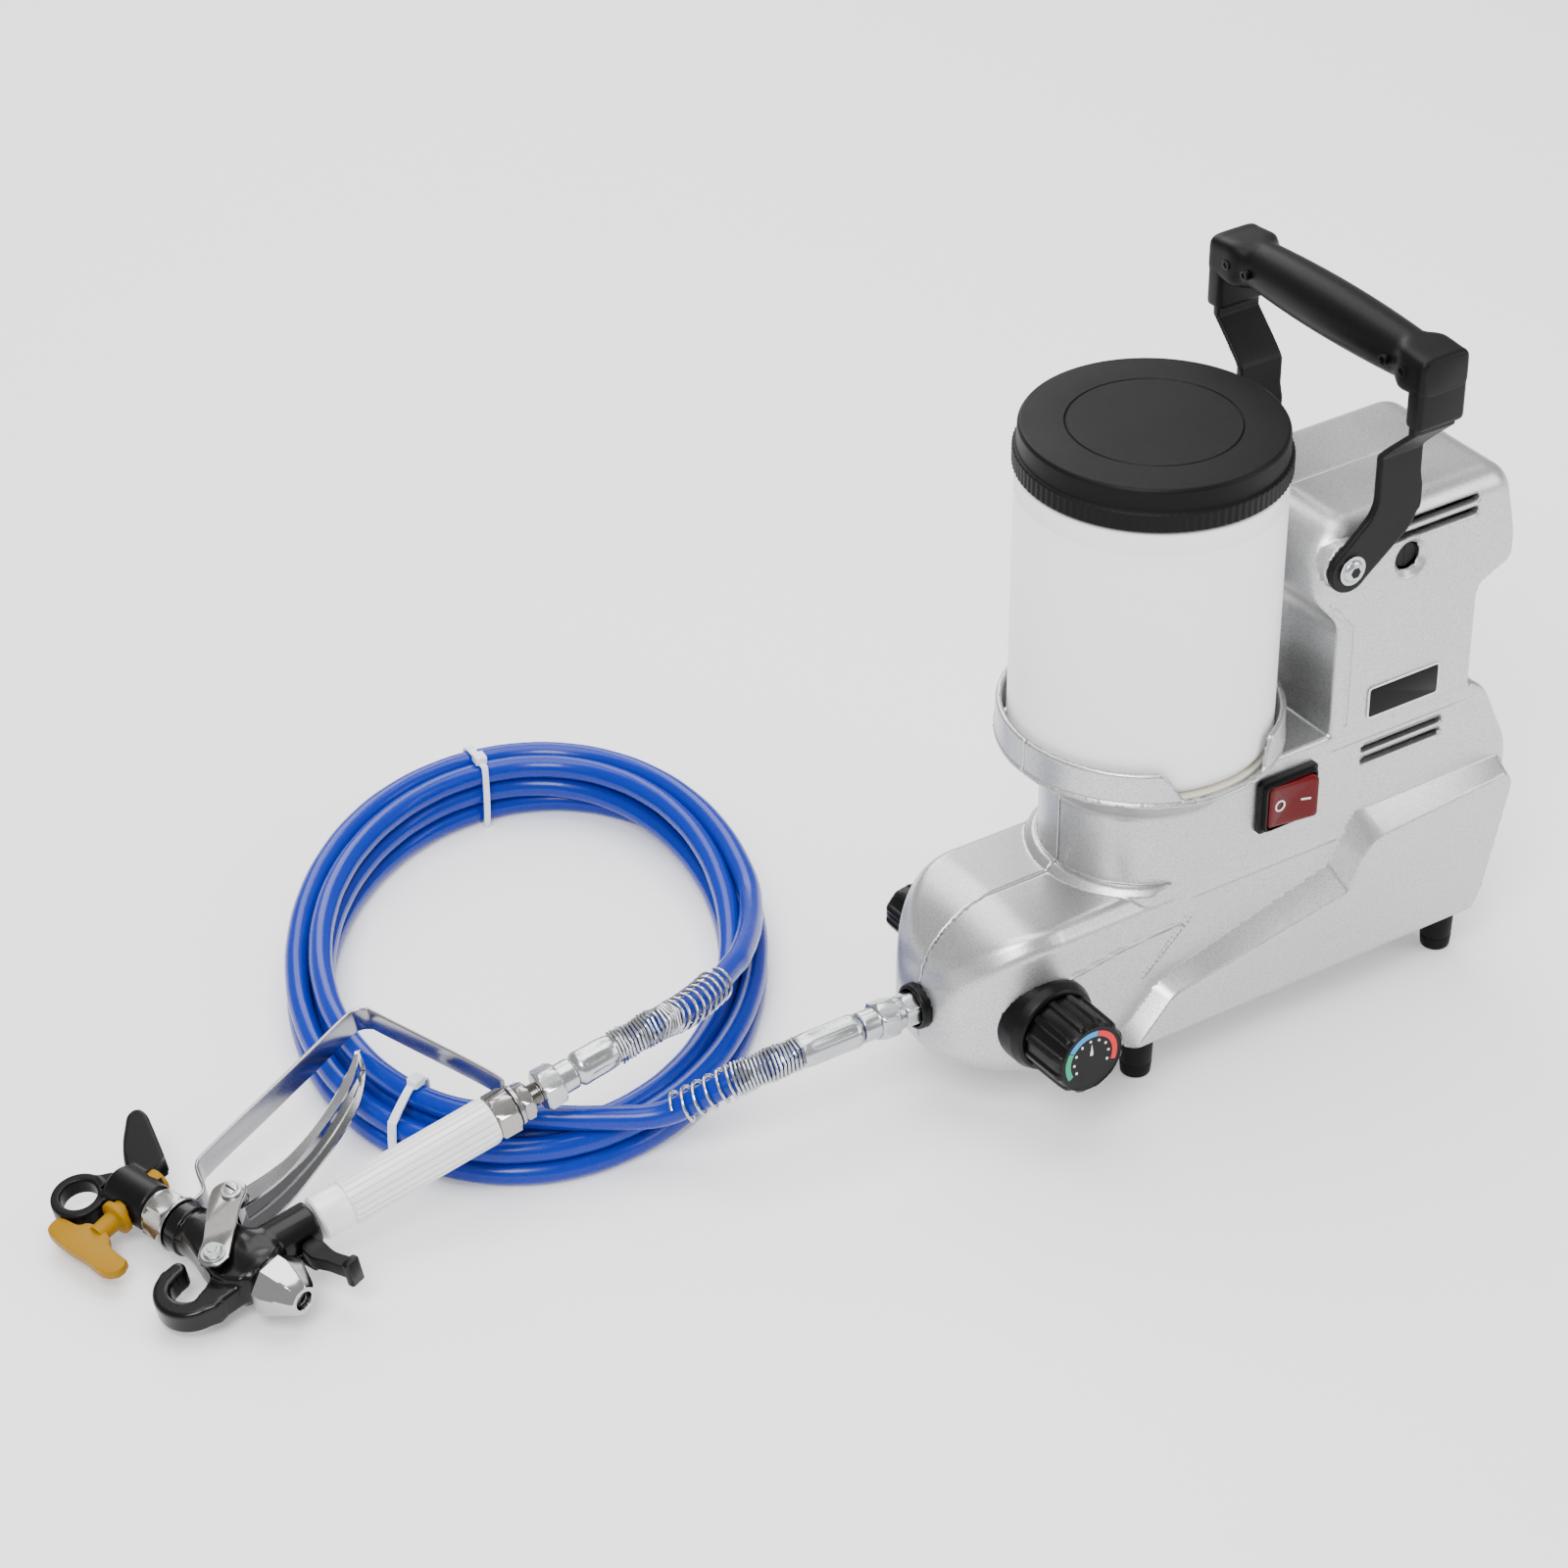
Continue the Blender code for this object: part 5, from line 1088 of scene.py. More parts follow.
@dataclass(frozen=True)
class Hose:
    """The blue hose: a lead from the machine, an oval coil and a lead to the gun.

    Attributes:
        radius: the hose's radius.
        centre: the coil's middle, from the jar's axis.
        heading: degrees from X to the coil's long axis.
        half_length, half_width: of the oval, to the middle of the bundle.
        turns: how many times the hose goes round.
        ferrule_end: how far along X the machine's ferrule ends.
        gun_end: how far along the grip the gun's ferrule ends.
    """

    radius: float = 6.75
    centre: Pair = (-257.0, 213.0)
    heading: float = 56.0
    half_length: float = 174.5
    half_width: float = 120.5
    turns: float = 4.72
    level: float = 65.0
    ferrule_end: float = -219.6
    gun_end: float = 224.9
    spring_radius: float = 9.05
    wire_radius: float = 0.95
    tie_width: float = 5.0
    tie_thickness: float = 1.3

    def bundle_place(self, turn: Array, offset: Array, height: Array) -> Array:
        """Points of the coil: centre - v a cos(t) - w b sin(t), moved outwards by an offset.

        Args:
            turn: turns made since the near end of the oval.
            offset: distance outwards from the bundle's middle.
            height: height over the floor.

        Returns:
            The place of each point.
        """
        angle = math.tau * np.asarray(turn, float)
        along, across = -self.half_length * np.cos(angle), -self.half_width * np.sin(angle)
        normal = np.stack([-self.half_width * np.cos(angle), -self.half_length * np.sin(angle)], axis=-1)
        normal /= np.linalg.norm(normal, axis=-1, keepdims=True)
        along = along + offset * normal[..., 0]
        across = across + offset * normal[..., 1]
        heading = math.radians(self.heading)
        v, w = (math.cos(heading), math.sin(heading)), (math.sin(heading), -math.cos(heading))
        return np.stack([self.centre[0] + along * v[0] + across * w[0],
                         self.centre[1] + along * v[1] + across * w[1],
                         np.broadcast_to(height, along.shape)], axis=-1)

    def coil(self) -> Array:
        """The coil's own points: down the inner column, then up the outer one.

        Returns:
            The coil's centreline.
        """
        turn = np.linspace(0.0, self.turns, round(self.turns * 30) + 1)
        knots = (0.0, 0.65, 0.8, 1.55, 1.7, 2.45, 2.6, 3.35, 3.5, 4.2, 4.35, 4.75)
        sides = (-0.5, -0.5, -0.5, -0.5, -0.5, -0.5, 0.5, 0.5, 0.5, 0.5, 0.5, 0.5)
        levels = (2.5, 2.5, 1.5, 1.5, 0.5, 0.5, 0.5, 0.5, 1.5, 1.5, 2.5, 2.5)
        window = np.array([1.0, 2.0, 3.0, 2.0, 1.0]) / 9.0
        columns = []
        for values in (sides, levels):
            line = np.interp(turn, knots, values)
            padded = np.concatenate([line[:1], line[:1], line, line[-1:], line[-1:]])
            columns.append(np.convolve(padded, window, mode="valid") * 2 * self.radius)
        wander = 0.5 * np.sin(turn * 9.1) + 0.4 * np.sin(turn * 23.7)
        return self.bundle_place(turn, columns[0] + wander, columns[1])

    def gun_lead(self) -> Array:
        """From the coil back up to the gun's ferrule.

        Returns:
            The lead's centreline.
        """
        ferrule = np.array([0.0, 0.0, 1.0])
        tail = [(GRIP.world(ferrule * distance) / MM - np.array(MACHINE_ORIGIN))
                for distance in (self.gun_end + 24.0, self.gun_end + 12.0, self.gun_end,
                                 self.gun_end - 22.0)]
        route = [(-186.0, 106.0, 50.5), (-218.0, 82.0, 58.5), (-249.0, 62.0, 68.0), *map(tuple, tail)]
        return smooth_path(route, 12.0)

    def machine_lead(self) -> Array:
        """From inside the machine's ferrule down to the coil.

        Returns:
            The lead's centreline.
        """
        start = self.ferrule_end
        route = [(start + 44.0, 0, self.level), (start + 22.0, 0, self.level), (start, 0, self.level),
                 (start - 12.0, 0.6, self.level - 0.6), (-256.0, 9.0, 56.0), (-272.0, 19.0, 44.0),
                 (-290.0, 31.0, 34.5), (-322.0, 52.0, 33.4)]
        return smooth_path(route, 12.0)

    def centreline(self) -> Array:
        """The whole hose from the machine to the gun.

        Returns:
            The points of the whole hose.
        """
        return np.concatenate([self.machine_lead(), self.coil(), self.gun_lead()])

    def build(self) -> None:
        """The hose with its springs, ties, ferrules and nuts."""
        line = self.centreline()
        points = MACHINE.world(line)
        curve = bpy.data.curves.new("hose", "CURVE")
        curve.dimensions = "3D"
        curve.bevel_depth = self.radius * MM
        curve.bevel_resolution = 5
        curve.resolution_u = 4
        curve.use_fill_caps = True
        spline = curve.splines.new("BEZIER")
        spline.bezier_points.add(len(points) - 1)
        for target, point in zip(spline.bezier_points, points):
            target.co = point
            target.handle_left_type = target.handle_right_type = "AUTO"
        curve.materials.append(HOSE_BLUE.material())
        hose = bpy.data.objects.new("hose", curve)
        bpy.context.scene.collection.objects.link(hose)
        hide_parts("hose_lead_machine", "hose_lead_gun", "hose_coil")
        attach(hose, "root")
        pieces = [self.spring("bend_spring_machine_wire", line, True),
                  self.spring("bend_spring_gun_wire", line[::-1], False)]
        pieces += [self.tie("cable_tie_near_strap", 0.075, "cable_tie_near"),
                   self.tie("cable_tie_far_strap", 0.45, "cable_tie_far")]
        pieces += [self.machine_nut(), self.machine_ferrule(), self.gun_nut(), self.gun_ferrule()]
        exit_point = MACHINE.world(np.array([-154.3, 0.0, self.level]))

    def spring(self, name: str, line: Array, machine: bool) -> bpy.types.Object:
        """A bend spring: close turns by the ferrule, then open ones along the hose.

        The wire's middle is the hose's point + R (cos t side + sin t up), where t grows by a whole turn
        in every pitch.

        Args:
            name: the piece's name.
            line: the hose's centreline, from this end.
            machine: True at the machine's end.

        Returns:
            The new piece.
        """
        fine = smooth_path(line[:40], 0.35)
        lengths = np.concatenate([[0.0], np.cumsum(np.linalg.norm(np.diff(fine, axis=0), axis=1))])
        start = 43.5 if machine else 22.0
        close, spread = (39.0, 34.0) if machine else (40.0, 58.0)
        keep = (lengths >= start) & (lengths <= start + close + spread)
        path, run = fine[keep], lengths[keep] - start
        pitch = 2.06 + 5.2 * smooth_step(run, close - 4.0, close + 8.0)
        turn = math.tau * np.concatenate([[0.0], np.cumsum(np.diff(run) / pitch[1:])])
        side, up = path_frames(path)
        swell = self.spring_radius * (1.0 + 0.03 * smooth_step(run, close, close + 30.0))
        wire = path + swell[:, None] * (side * np.cos(turn)[:, None] + up * np.sin(turn)[:, None])
        steps = np.interp(np.arange(0.0, turn[-1], math.tau / 20), turn, np.arange(len(turn)))
        picked = np.column_stack([np.interp(steps, np.arange(len(wire)), wire[:, i]) for i in range(3)])
        middle = np.column_stack([np.interp(steps, np.arange(len(path)), path[:, i]) for i in range(3)])
        ahead = unit_rows(np.gradient(picked, axis=0))
        out = unit_rows(picked - middle)
        other = np.cross(ahead, out)
        circle = circle_section(self.wire_radius, 8)
        rings = (picked[:, None] + out[:, None] * circle[None, :, :1] + other[:, None] * circle[None, :, 1:])
        vertices, faces = skin(rings)
        node = "bend_spring_machine" if machine else "bend_spring_gun"
        return place_piece(name, MACHINE.world(vertices), faces, SPRING_WIRE, "root", [node])

    def tie(self, name: str, turn: float, node: str) -> bpy.types.Object:
        """A nylon tie drawn round the bundle, with its head and a cut tail.

        Args:
            name: the piece's name.
            turn: its place round the coil.
            node: the CAD node it stands for.

        Returns:
            The new piece.
        """
        low, high = 0.4, 6 * self.radius + 0.6
        reach = 2 * self.radius + 0.6
        shoulder = 13.0 if node == "cable_tie_near" else 3.0
        corners = [(-reach + 4, low), (reach - 4, low), (reach, low + 4), (reach, high - shoulder - 3),
                   (reach - 2, high - shoulder + 1), (reach - shoulder - 1, high - 0.6),
                   (reach - shoulder - 5, high), (-reach + 4, high), (-reach, high - 4), (-reach, low + 4)]
        loop = smooth_path(np.array(corners + corners[:1]), 2.0)[:-1]
        middle = loop.mean(axis=0)
        out = unit_rows(loop - middle)
        step = self.tie_width / 2.0 / 930.0
        rings = []
        for place, grow in ((-step, 0.0), (step, 0.0), (step, self.tie_thickness),
                            (-step, self.tie_thickness)):
            shape = loop + out * grow
            rings.append(self.bundle_place(np.full(len(loop), turn + place), shape[:, 0],
                                           np.maximum(shape[:, 1], 0.1)))
        strap = skin(np.stack(rings, axis=1)[:, ::-1], closed=True)
        top = self.bundle_place(np.array([turn, turn + 0.001]), np.array([-6.0, -6.0]),
                                np.array([high, high]))
        ahead = unit(top[1] - top[0])
        across = np.cross(ahead, (0, 0, 1.0))
        block = rounded_rectangle(8.0, 7.0, 1.0, 3)
        rings = np.stack([top[0] + across * block[:, :1] * s + ahead * block[:, 1:] * s + np.array([0, 0,
                                                                                                    h])
                          for h, s in ((0.2, 1.0), (4.2, 1.0), (4.8, 0.88))])
        head = skin(rings[:, ::-1])
        points, faces = joined(strap, head)
        return place_piece(name, MACHINE.world(points), faces, TIE_WHITE, "root", [node], bevel=0.25)

    @staticmethod
    def crimp(low: float, high: float, radius: float) -> Body:
        """A ferrule pressed on in long flutes, with plain rolled ends.

        Args:
            low: the height it starts at.
            high: the height it ends at.
            radius: the radius.

        Returns:
            Its points and its faces.
        """
        corners = [(0.0, low), (radius - 2.6, low), (radius - 0.4, low + 2.4), (radius, low + 4.0),
                   (radius, low + 6.0), (radius, low + 8.5), (radius, high - 9.0),
                   (radius - 0.2, high - 6.0), (radius - 0.7, high - 2.0), (radius - 1.6, high),
                   (0.0, high)]
        profile = rounded_profile([(r, z, 0.0) for r, z in corners])
        segments = 96
        angle = np.linspace(0.0, math.tau, segments, endpoint=False)
        depth = -0.9 * (0.5 + 0.5 * np.cos(8 * angle)) ** 2
        strength = np.array([0, 0, 0, 0, 0.15, 1.0, 1.0, 0.15, 0, 0, 0])
        return turned_body(profile, segments, strength[:, None] * depth[None, :])

    def machine_nut(self) -> bpy.types.Object:
        """The swivel nut that joins the hose to the machine.

        Returns:
            The new piece.
        """
        parts = joined(nut_body(158.3, 170.3, 20.0),
                       turned_body(rounded_profile([(0, 154.3, 0), (9.0, 154.3, 0.8), (9.0, 158.5, 0),
                                                    (0, 158.5, 0)]), 48),
                       turned_body(rounded_profile([(0, 170.2, 0), (8.6, 170.2, 0), (8.6, 180.3, 1.0),
                                                    (7.2, 180.3, 0), (0, 180.3, 0)]), 48))
        points = ahead_of_nose(parts[0], self.level)
        return place_piece("hose_nut_hex", MACHINE.world(points), parts[1], ZINC, "root", ["hose_nut"])

    def machine_ferrule(self) -> bpy.types.Object:
        """The ferrule pressed on the machine's end of the hose.

        Returns:
            The new piece.
        """
        points, faces = self.crimp(180.6, 219.6, 9.6)
        points = ahead_of_nose(points, self.level)
        return place_piece("hose_ferrule_crimp", MACHINE.world(points), faces, ZINC, "root", ["hose_ferrule"])

    def gun_nut(self) -> bpy.types.Object:
        """The swivel nut under the grip.

        Returns:
            The new piece.
        """
        low = 178.6
        parts = joined(nut_body(low, low + 12.0, 21.0),
                       turned_body(rounded_profile([(0, low + 11.9, 0), (8.6, low + 11.9, 0),
                                                    (8.6, low + 21.0, 1.0), (7.0, low + 21.0, 0),
                                                    (0, low + 21.0, 0)]), 48))
        return place_piece("gun_swivel_nut_hex", GRIP.world(parts[0]), parts[1], ZINC, "root",
                           ["gun_swivel_nut"])

    def gun_ferrule(self) -> bpy.types.Object:
        """The ferrule pressed on the gun's end of the hose.

        Returns:
            The new piece.
        """
        points, faces = self.crimp(199.9, 224.9, 9.6)
        return place_piece("gun_ferrule_crimp", GRIP.world(points), faces, ZINC, "root", ["gun_ferrule"])


# ------------------------------------------------------------------ casing


@dataclass(frozen=True)
class Casing:
    """The silver casing in two halves, its feet, its cable gland and its brush caps."""

    half_width: float = 52.0
    skirt_width: float = 63.0
    nose_top: float = 119.5
    shelf_top: float = 179.0
    housing_top: float = 308.6
    bottom: float = 32.0
    wall: float = 5.0
    seam: float = 0.12
    step: float = 2.0
    knob: Pair = (-94.0, 65.0)
    pivot: Pair = (88.0, 287.0)
    brush: Pair = (137.0, 274.0)
    switch: Pair = (60.0, 152.0)
    gland_height: float = 205.0
    foot_places: tuple[tuple[str, float, float], ...] = (
        ("foot_front_near", -26.0, -43.0), ("foot_front_far", -26.0, 43.0),
        ("foot_rear_near", 188.0, -43.0), ("foot_rear_far", 188.0, 43.0))

    def lower_body(self, x: Array, w: Array, z: Array) -> Array:
        """The low body with its rounded nose; w is the distance from the centre plane.

        Args:
            x: place along the machine.
            w: distance from the centre plane.
            z: place up it.

        Returns:
            The distance to the surface, negative inside.
        """
        ellipse = (np.hypot((x + 93.0) / 53.0, (z - 65.0) / 54.5) - 1.0) * 53.5
        side = np.where(x < -93.0, np.where(z > 65.0, ellipse, -146.0 - x), z - self.nose_top)
        plan = np.where(x < -85.0, (np.hypot((x + 85.0) / 61.0, w / self.half_width) - 1.0) * 54.0,
                        w - self.half_width)
        chamfer = (side + plan + 7.0) / math.sqrt(2.0)
        shape = round_max(round_max(side, plan, 1.0), chamfer, 2.0)
        rounding = 3.0 + 15.0 * (1.0 - smooth_step(x, -140.0, -70.0))
        shape = round_max(shape, self.bottom - z, rounding)
        rear = round_max(edge_distance(x, z, (219.5, 112.0), (203.0, 38.0)),
                         edge_distance(x, z, (203.0, 38.0), (197.0, 32.0)), 4.0)
        return round_max(shape, round_max(rear, x - 219.5, 4.0), 2.0)

    def shelf(self, x: Array, w: Array, z: Array) -> Array:
        """The block behind the neck, under the motor.

        Args:
            x: place along the machine.
            w: distance from the centre plane.
            z: place up it.

        Returns:
            The distance to the surface, negative inside.
        """
        rear = round_max(edge_distance(x, z, (187.0, 179.0), (199.0, 174.0)),
                         edge_distance(x, z, (199.0, 174.0), (219.5, 130.0)), 6.0)
        rear = round_max(rear, x - 219.5, 4.0)
        shape = round_max(round_max(z - self.shelf_top, w - self.half_width, 3.0), rear, 3.0)
        return np.maximum(np.maximum(shape, -x), 110.0 - z)

    def cup(self, x: Array, y: Array, z: Array) -> Array:
        """The neck, the cone above it and the ring that holds the jar, low in front.

        Args:
            x: place along the machine.
            y: place across it.
            z: place up it.

        Returns:
            The distance to the surface, negative inside.
        """
        r = np.hypot(x, y)
        turn = np.degrees(np.arctan2(y, x))
        notch = smooth_step(turn, -120.0, -108.0) * (1.0 - smooth_step(turn, -70.0, -64.0))
        rim = z - (209.0 - 18.0 * notch)
        neck = np.maximum(np.maximum(r - 52.2, z - 186.0), 112.0 - z)
        cone = np.maximum(np.maximum(((r - 52.2) * 22.0 - (z - 167.0) * 24.3) / 32.8, z - 191.0), 160.0 - z)
        ring = np.maximum(round_max(r - 77.0, 0.75 * rim, 1.6), 188.0 - z)
        shape = round_min(round_min(neck, cone, 3.0), ring, 1.5)
        flange = round_max(round_max(r - 59.0, z - 124.0, 0.6), (r - 59.0 + z - 120.0) / math.sqrt(2.0), 0.8)
        flange = np.maximum(round_max(flange, np.abs(y) - 52.0, 0.8), 114.0 - z)
        return np.minimum(shape, flange)

    def cup_room(self, x: Array, y: Array, z: Array) -> Array:
        """The room for the jar and the inlet below it.

        Args:
            x: place along the machine.
            y: place across it.
            z: place up it.

        Returns:
            The distance to the surface, negative inside.
        """
        r = np.hypot(x, y)
        return np.minimum(np.maximum(r - 73.5, 187.5 - z), np.maximum(r - 12.0, 170.0 - z))

    def housing(self, x: Array, w: Array, z: Array) -> Array:
        """The motor housing on its narrower waist.

        Args:
            x: place along the machine.
            w: distance from the centre plane.
            z: place up it.

        Returns:
            The distance to the surface, negative inside.
        """
        top = round_max(round_max(72.0 - x, z - self.housing_top, 25.0), x - 210.0, 18.0)
        foot = round_max(edge_distance(x, z, (91.0, 246.0), (72.5, 267.0)),
                         edge_distance(x, z, (208.6, 249.6), (191.3, 242.0)), 2.0)
        block = round_max(round_max(top, foot, 4.0), 236.0 - z, 1.0)
        waist = round_max(np.maximum(89.5 - x, x - 187.0), z - 262.0, 1.0)
        side = round_min(block, waist, 5.0)
        edge = 2.5 + 11.5 * smooth_step(z, 262.0, 300.0)
        boss = round_max(np.hypot(x - self.pivot[0], z - self.pivot[1]) - 13.5, w - 55.0, 0.8)
        return np.minimum(np.maximum(round_max(side, w - self.half_width, edge), 170.0 - z), boss)

    def skirt(self, x: Array, w: Array, z: Array) -> Array:
        """The raised panel: each edge leans in from its foot on the wall to the panel's face.

        Args:
            x: place along the machine.
            w: distance from the centre plane.
            z: place up it.

        Returns:
            The distance to the surface, negative inside.
        """
        wall = ((-50.0, 32.0), (-22.4, 63.2), (94.2, 95.3), (104.2, 116.9), (112.0, 125.0), (213.0, 123.5),
                (219.0, 113.0), (203.0, 38.0), (197.5, 32.0))
        face = ((-43.0, 32.0), (-17.0, 58.5), (101.7, 79.5), (113.0, 103.0), (119.6, 107.7), (212.0, 116.5),
                (216.6, 109.6), (200.0, 41.0), (194.0, 32.0))
        rise = np.clip((w - self.half_width) / (self.skirt_width - self.half_width), -0.3, 1.2)

        def border(index: int) -> Array:
            """The distance outside one leaning side of the panel.

            Args:
                index: which side of the outline.

            Returns:
                The distance to the surface, negative inside.
            """
            ends = [[wall[i][k] + (face[i][k] - wall[i][k]) * rise for k in (0, 1)] for i in (index,
                                                                                              index + 1)]
            lean = edge_distance(*face[index], wall[index],
                                 wall[index + 1]) / (self.skirt_width - self.half_width)
            return edge_distance(x, z, ends[0], ends[1]) / np.hypot(1.0, lean)

        first = np.maximum(round_max(border(0), border(1), 2.0), x - 108.0)
        second = border(2)
        for index in (3, 4, 5, 6, 7):
            second = round_max(second, border(index), 2.0)
        panel = round_max(round_min(first, second, 0.5), w - self.skirt_width, 0.8)
        return np.maximum(round_max(panel, self.bottom - z, 1.5), 40.0 - w)

    def swelling(self, x: Array, w: Array, z: Array) -> Array:
        """How far the raised lines stand out of the side walls: a smooth ridge along each.

        Args:
            x: place along the machine.
            w: distance from the centre plane.
            z: place up it.

        Returns:
            How far the wall is raised there.
        """
        waist = np.minimum(capsule_field(x, z, (98.5, 184.0), (98.5, 243.0), 0.0),
                           capsule_field(x, z, (98.5, 243.0), (83.0, 262.0), 0.0))
        leaf = np.minimum(capsule_field(x, z, (-81.6, 88.7), (-45.0, 94.5), 0.0),
                          capsule_field(x, z, (-45.0, 94.5), (-2.0, 97.0), 0.0))
        leaf = np.minimum(leaf, capsule_field(x, z, (-31.0, 71.0), (-2.0, 97.0), 0.0))
        share = 1.0 - smooth_step(np.minimum(waist, leaf), 0.2, 2.4)
        return 1.3 * share * smooth_step(w, 44.0, 50.0)

    def cuts(self, x: Array, y: Array, z: Array) -> Array:
        """What is cut out of the walls: slots, screw holes and the holes for knobs, switch and pipes.

        Args:
            x: place along the machine.
            y: place across it.
            z: place up it.

        Returns:
            The distance to the surface, negative inside.
        """
        w = np.abs(y)
        slots = np.full_like(x, 1e3)
        for low, high, height in ((112.5, 168.5, 162.2), (112.5, 168.5, 154.6), (118.0, 182.0, 297.2),
                                  (118.0, 182.0, 289.6)):
            slots = np.minimum(slots, capsule_field(x, z, (low + 1.9, height), (high - 1.9, height), 1.9))
        slots = np.maximum(slots, 40.0 - w)
        brush = (np.hypot(x - self.brush[0], z - self.brush[1]) - 8.0 - np.maximum(w - 48.0, 0.0)) * 0.75
        screw = np.hypot(x - self.pivot[0], z - self.pivot[1]) - 2.6
        knob = np.hypot(x - self.knob[0], z - self.knob[1])
        knob = np.where(y < 0.0, knob - 24.4, knob - 13.0)
        sides = np.minimum(np.minimum(brush, screw), np.maximum(knob, 30.0 - w))
        sides = np.maximum(sides, 40.0 - w)
        outlet = np.maximum(np.hypot(y, z - self.knob[1]) - 11.0, x + 130.0)
        gland = np.maximum(np.hypot(y, z - self.gland_height) - 8.0, 176.0 - x)
        switch = np.maximum(np.maximum(np.abs(x - self.switch[0]) - 15.0,
                                       np.abs(z - self.switch[1]) - 12.0), y + 40.0)
        cuts = np.minimum(np.minimum(slots, sides), np.minimum(np.minimum(outlet, gland), switch))
        for _, foot_x, foot_y in self.foot_places:
            cuts = np.minimum(cuts, np.maximum(np.hypot(x - foot_x, y - foot_y) - 2.2, z - 45.0))
        return cuts

    def outer(self, x: Array, y: Array, z: Array) -> Array:
        """The casing's outer shape, both halves together, without its cuts.

        Args:
            x: place along the machine.
            y: place across it.
            z: place up it.

        Returns:
            The distance to the surface, negative inside.
        """
        w = np.abs(y)
        body = round_min(self.lower_body(x, w, z), self.shelf(x, w, z), 1.5)
        body = round_min(body, self.housing(x, w, z), 2.0)
        body = np.minimum(body, self.skirt(x, w, z))
        return round_min(body, self.cup(x, y, z), 1.0)

    def half(self, side: int) -> Field:
        """The shell of one half; side is -1 for the near one.

        Args:
            side: -1 for the near side, 1 for the far one.

        Returns:
            The half's field.
        """

        def shape(x: Array, y: Array, z: Array) -> Array:
            """The distance outside this half's shell.

            Args:
                x: place along the machine.
                y: place across it.
                z: place up it.

            Returns:
                The distance to the surface, negative inside.
            """
            solid = round_max(self.outer(x, y, z), -self.cup_room(x, y, z), 1.0)
            raised = solid - self.swelling(x, np.abs(y), z)
            shell = np.maximum(raised, -(solid + self.wall))
            shell = round_max(shell, -self.cuts(x, y, z), 0.5)
            return round_max(shell, self.seam - side * y, 1.1)

        return shape

    def build(self) -> None:
        """Both halves, the feet and the small parts let into the casing."""
        for name, side in (("casing_near", -1), ("casing_far", 1)):
            low, high = (-80.0, 0.85) if side < 0 else (-0.85, 80.0)
            place_field(name + "_shell", self.half(side), (-150.0, low, 28.0), (224.0, high, 312.0),
                        self.step, MACHINE, SILVER, "root", [name])
        self.feet()
        self.gland()
        self.brush_caps()

    def feet(self) -> None:
        """Four tapered rubber feet with a rolled edge and a groove."""
        for name, x, y in self.foot_places:
            profile = rounded_profile([(0, 0, 0), (8.2, 0, 1.2), (8.9, 7, 0), (8.4, 8, 0.3), (8.9, 9, 0),
                                       (9.3, 24, 0), (8.9, 25, 0.3), (9.4, 26, 0), (9.5, 31.7, 1.0),
                                       (2.0, 31.7, 0), (2.0, 39.0, 0), (0, 39.0, 0)])
            points, faces = turned_body(profile, 48)
            points = points + np.array([x, y, 0.0])
            place_piece(name + "_rubber", MACHINE.world(points), faces, FOOT_BLACK, "root", [name])

    def gland(self) -> None:
        """The ribbed cable gland at the back."""
        corners = [(4.2, 180, 0), (7.6, 180, 0), (7.6, 187.4, 0), (10.2, 187.4, 0.6), (10.2, 190, 0.6)]
        for height in (191.0, 193.0, 195.0, 197.0):
            corners += [(8.2, height, 0.3), (8.6, height + 0.8, 0.3)]
        corners += [(6.6, 199.5, 0.8), (4.2, 199.5, 0)]
        points, faces = turned_body(rounded_profile(corners), 40, hollow=True)
        points = on_axis(points, "X", (0.0, self.gland_height))
        place_piece("mains_gland_boot", MACHINE.world(points), faces, FOOT_BLACK, "root", ["mains_gland"])

    def brush_caps(self) -> None:
        """The slotted cap that closes each brush holder."""
        for name, side in (("brush_holder_near", -1), ("brush_holder_far", 1)):
            outline = circle_section(7.5, 48)
            rings = lifted((outline * share, height) for share, height in
                           ((0.6, 14.6), (0.6, 41.0), (1.0, 41.0), (1.0, 45.8), (0.92, 46.4)))
            bar = prism_body([(-7.2, -0.9), (7.2, -0.9), (7.2, 0.9), (-7.2, 0.9)], 46.1, 46.55)
            place_body(name + "_cap", on_side(joined(skin(rings), bar), self.brush, side), MOULDED_BLACK,
                       "root", [name])


# ------------------------------------------------------------------ jar, gasket and lid


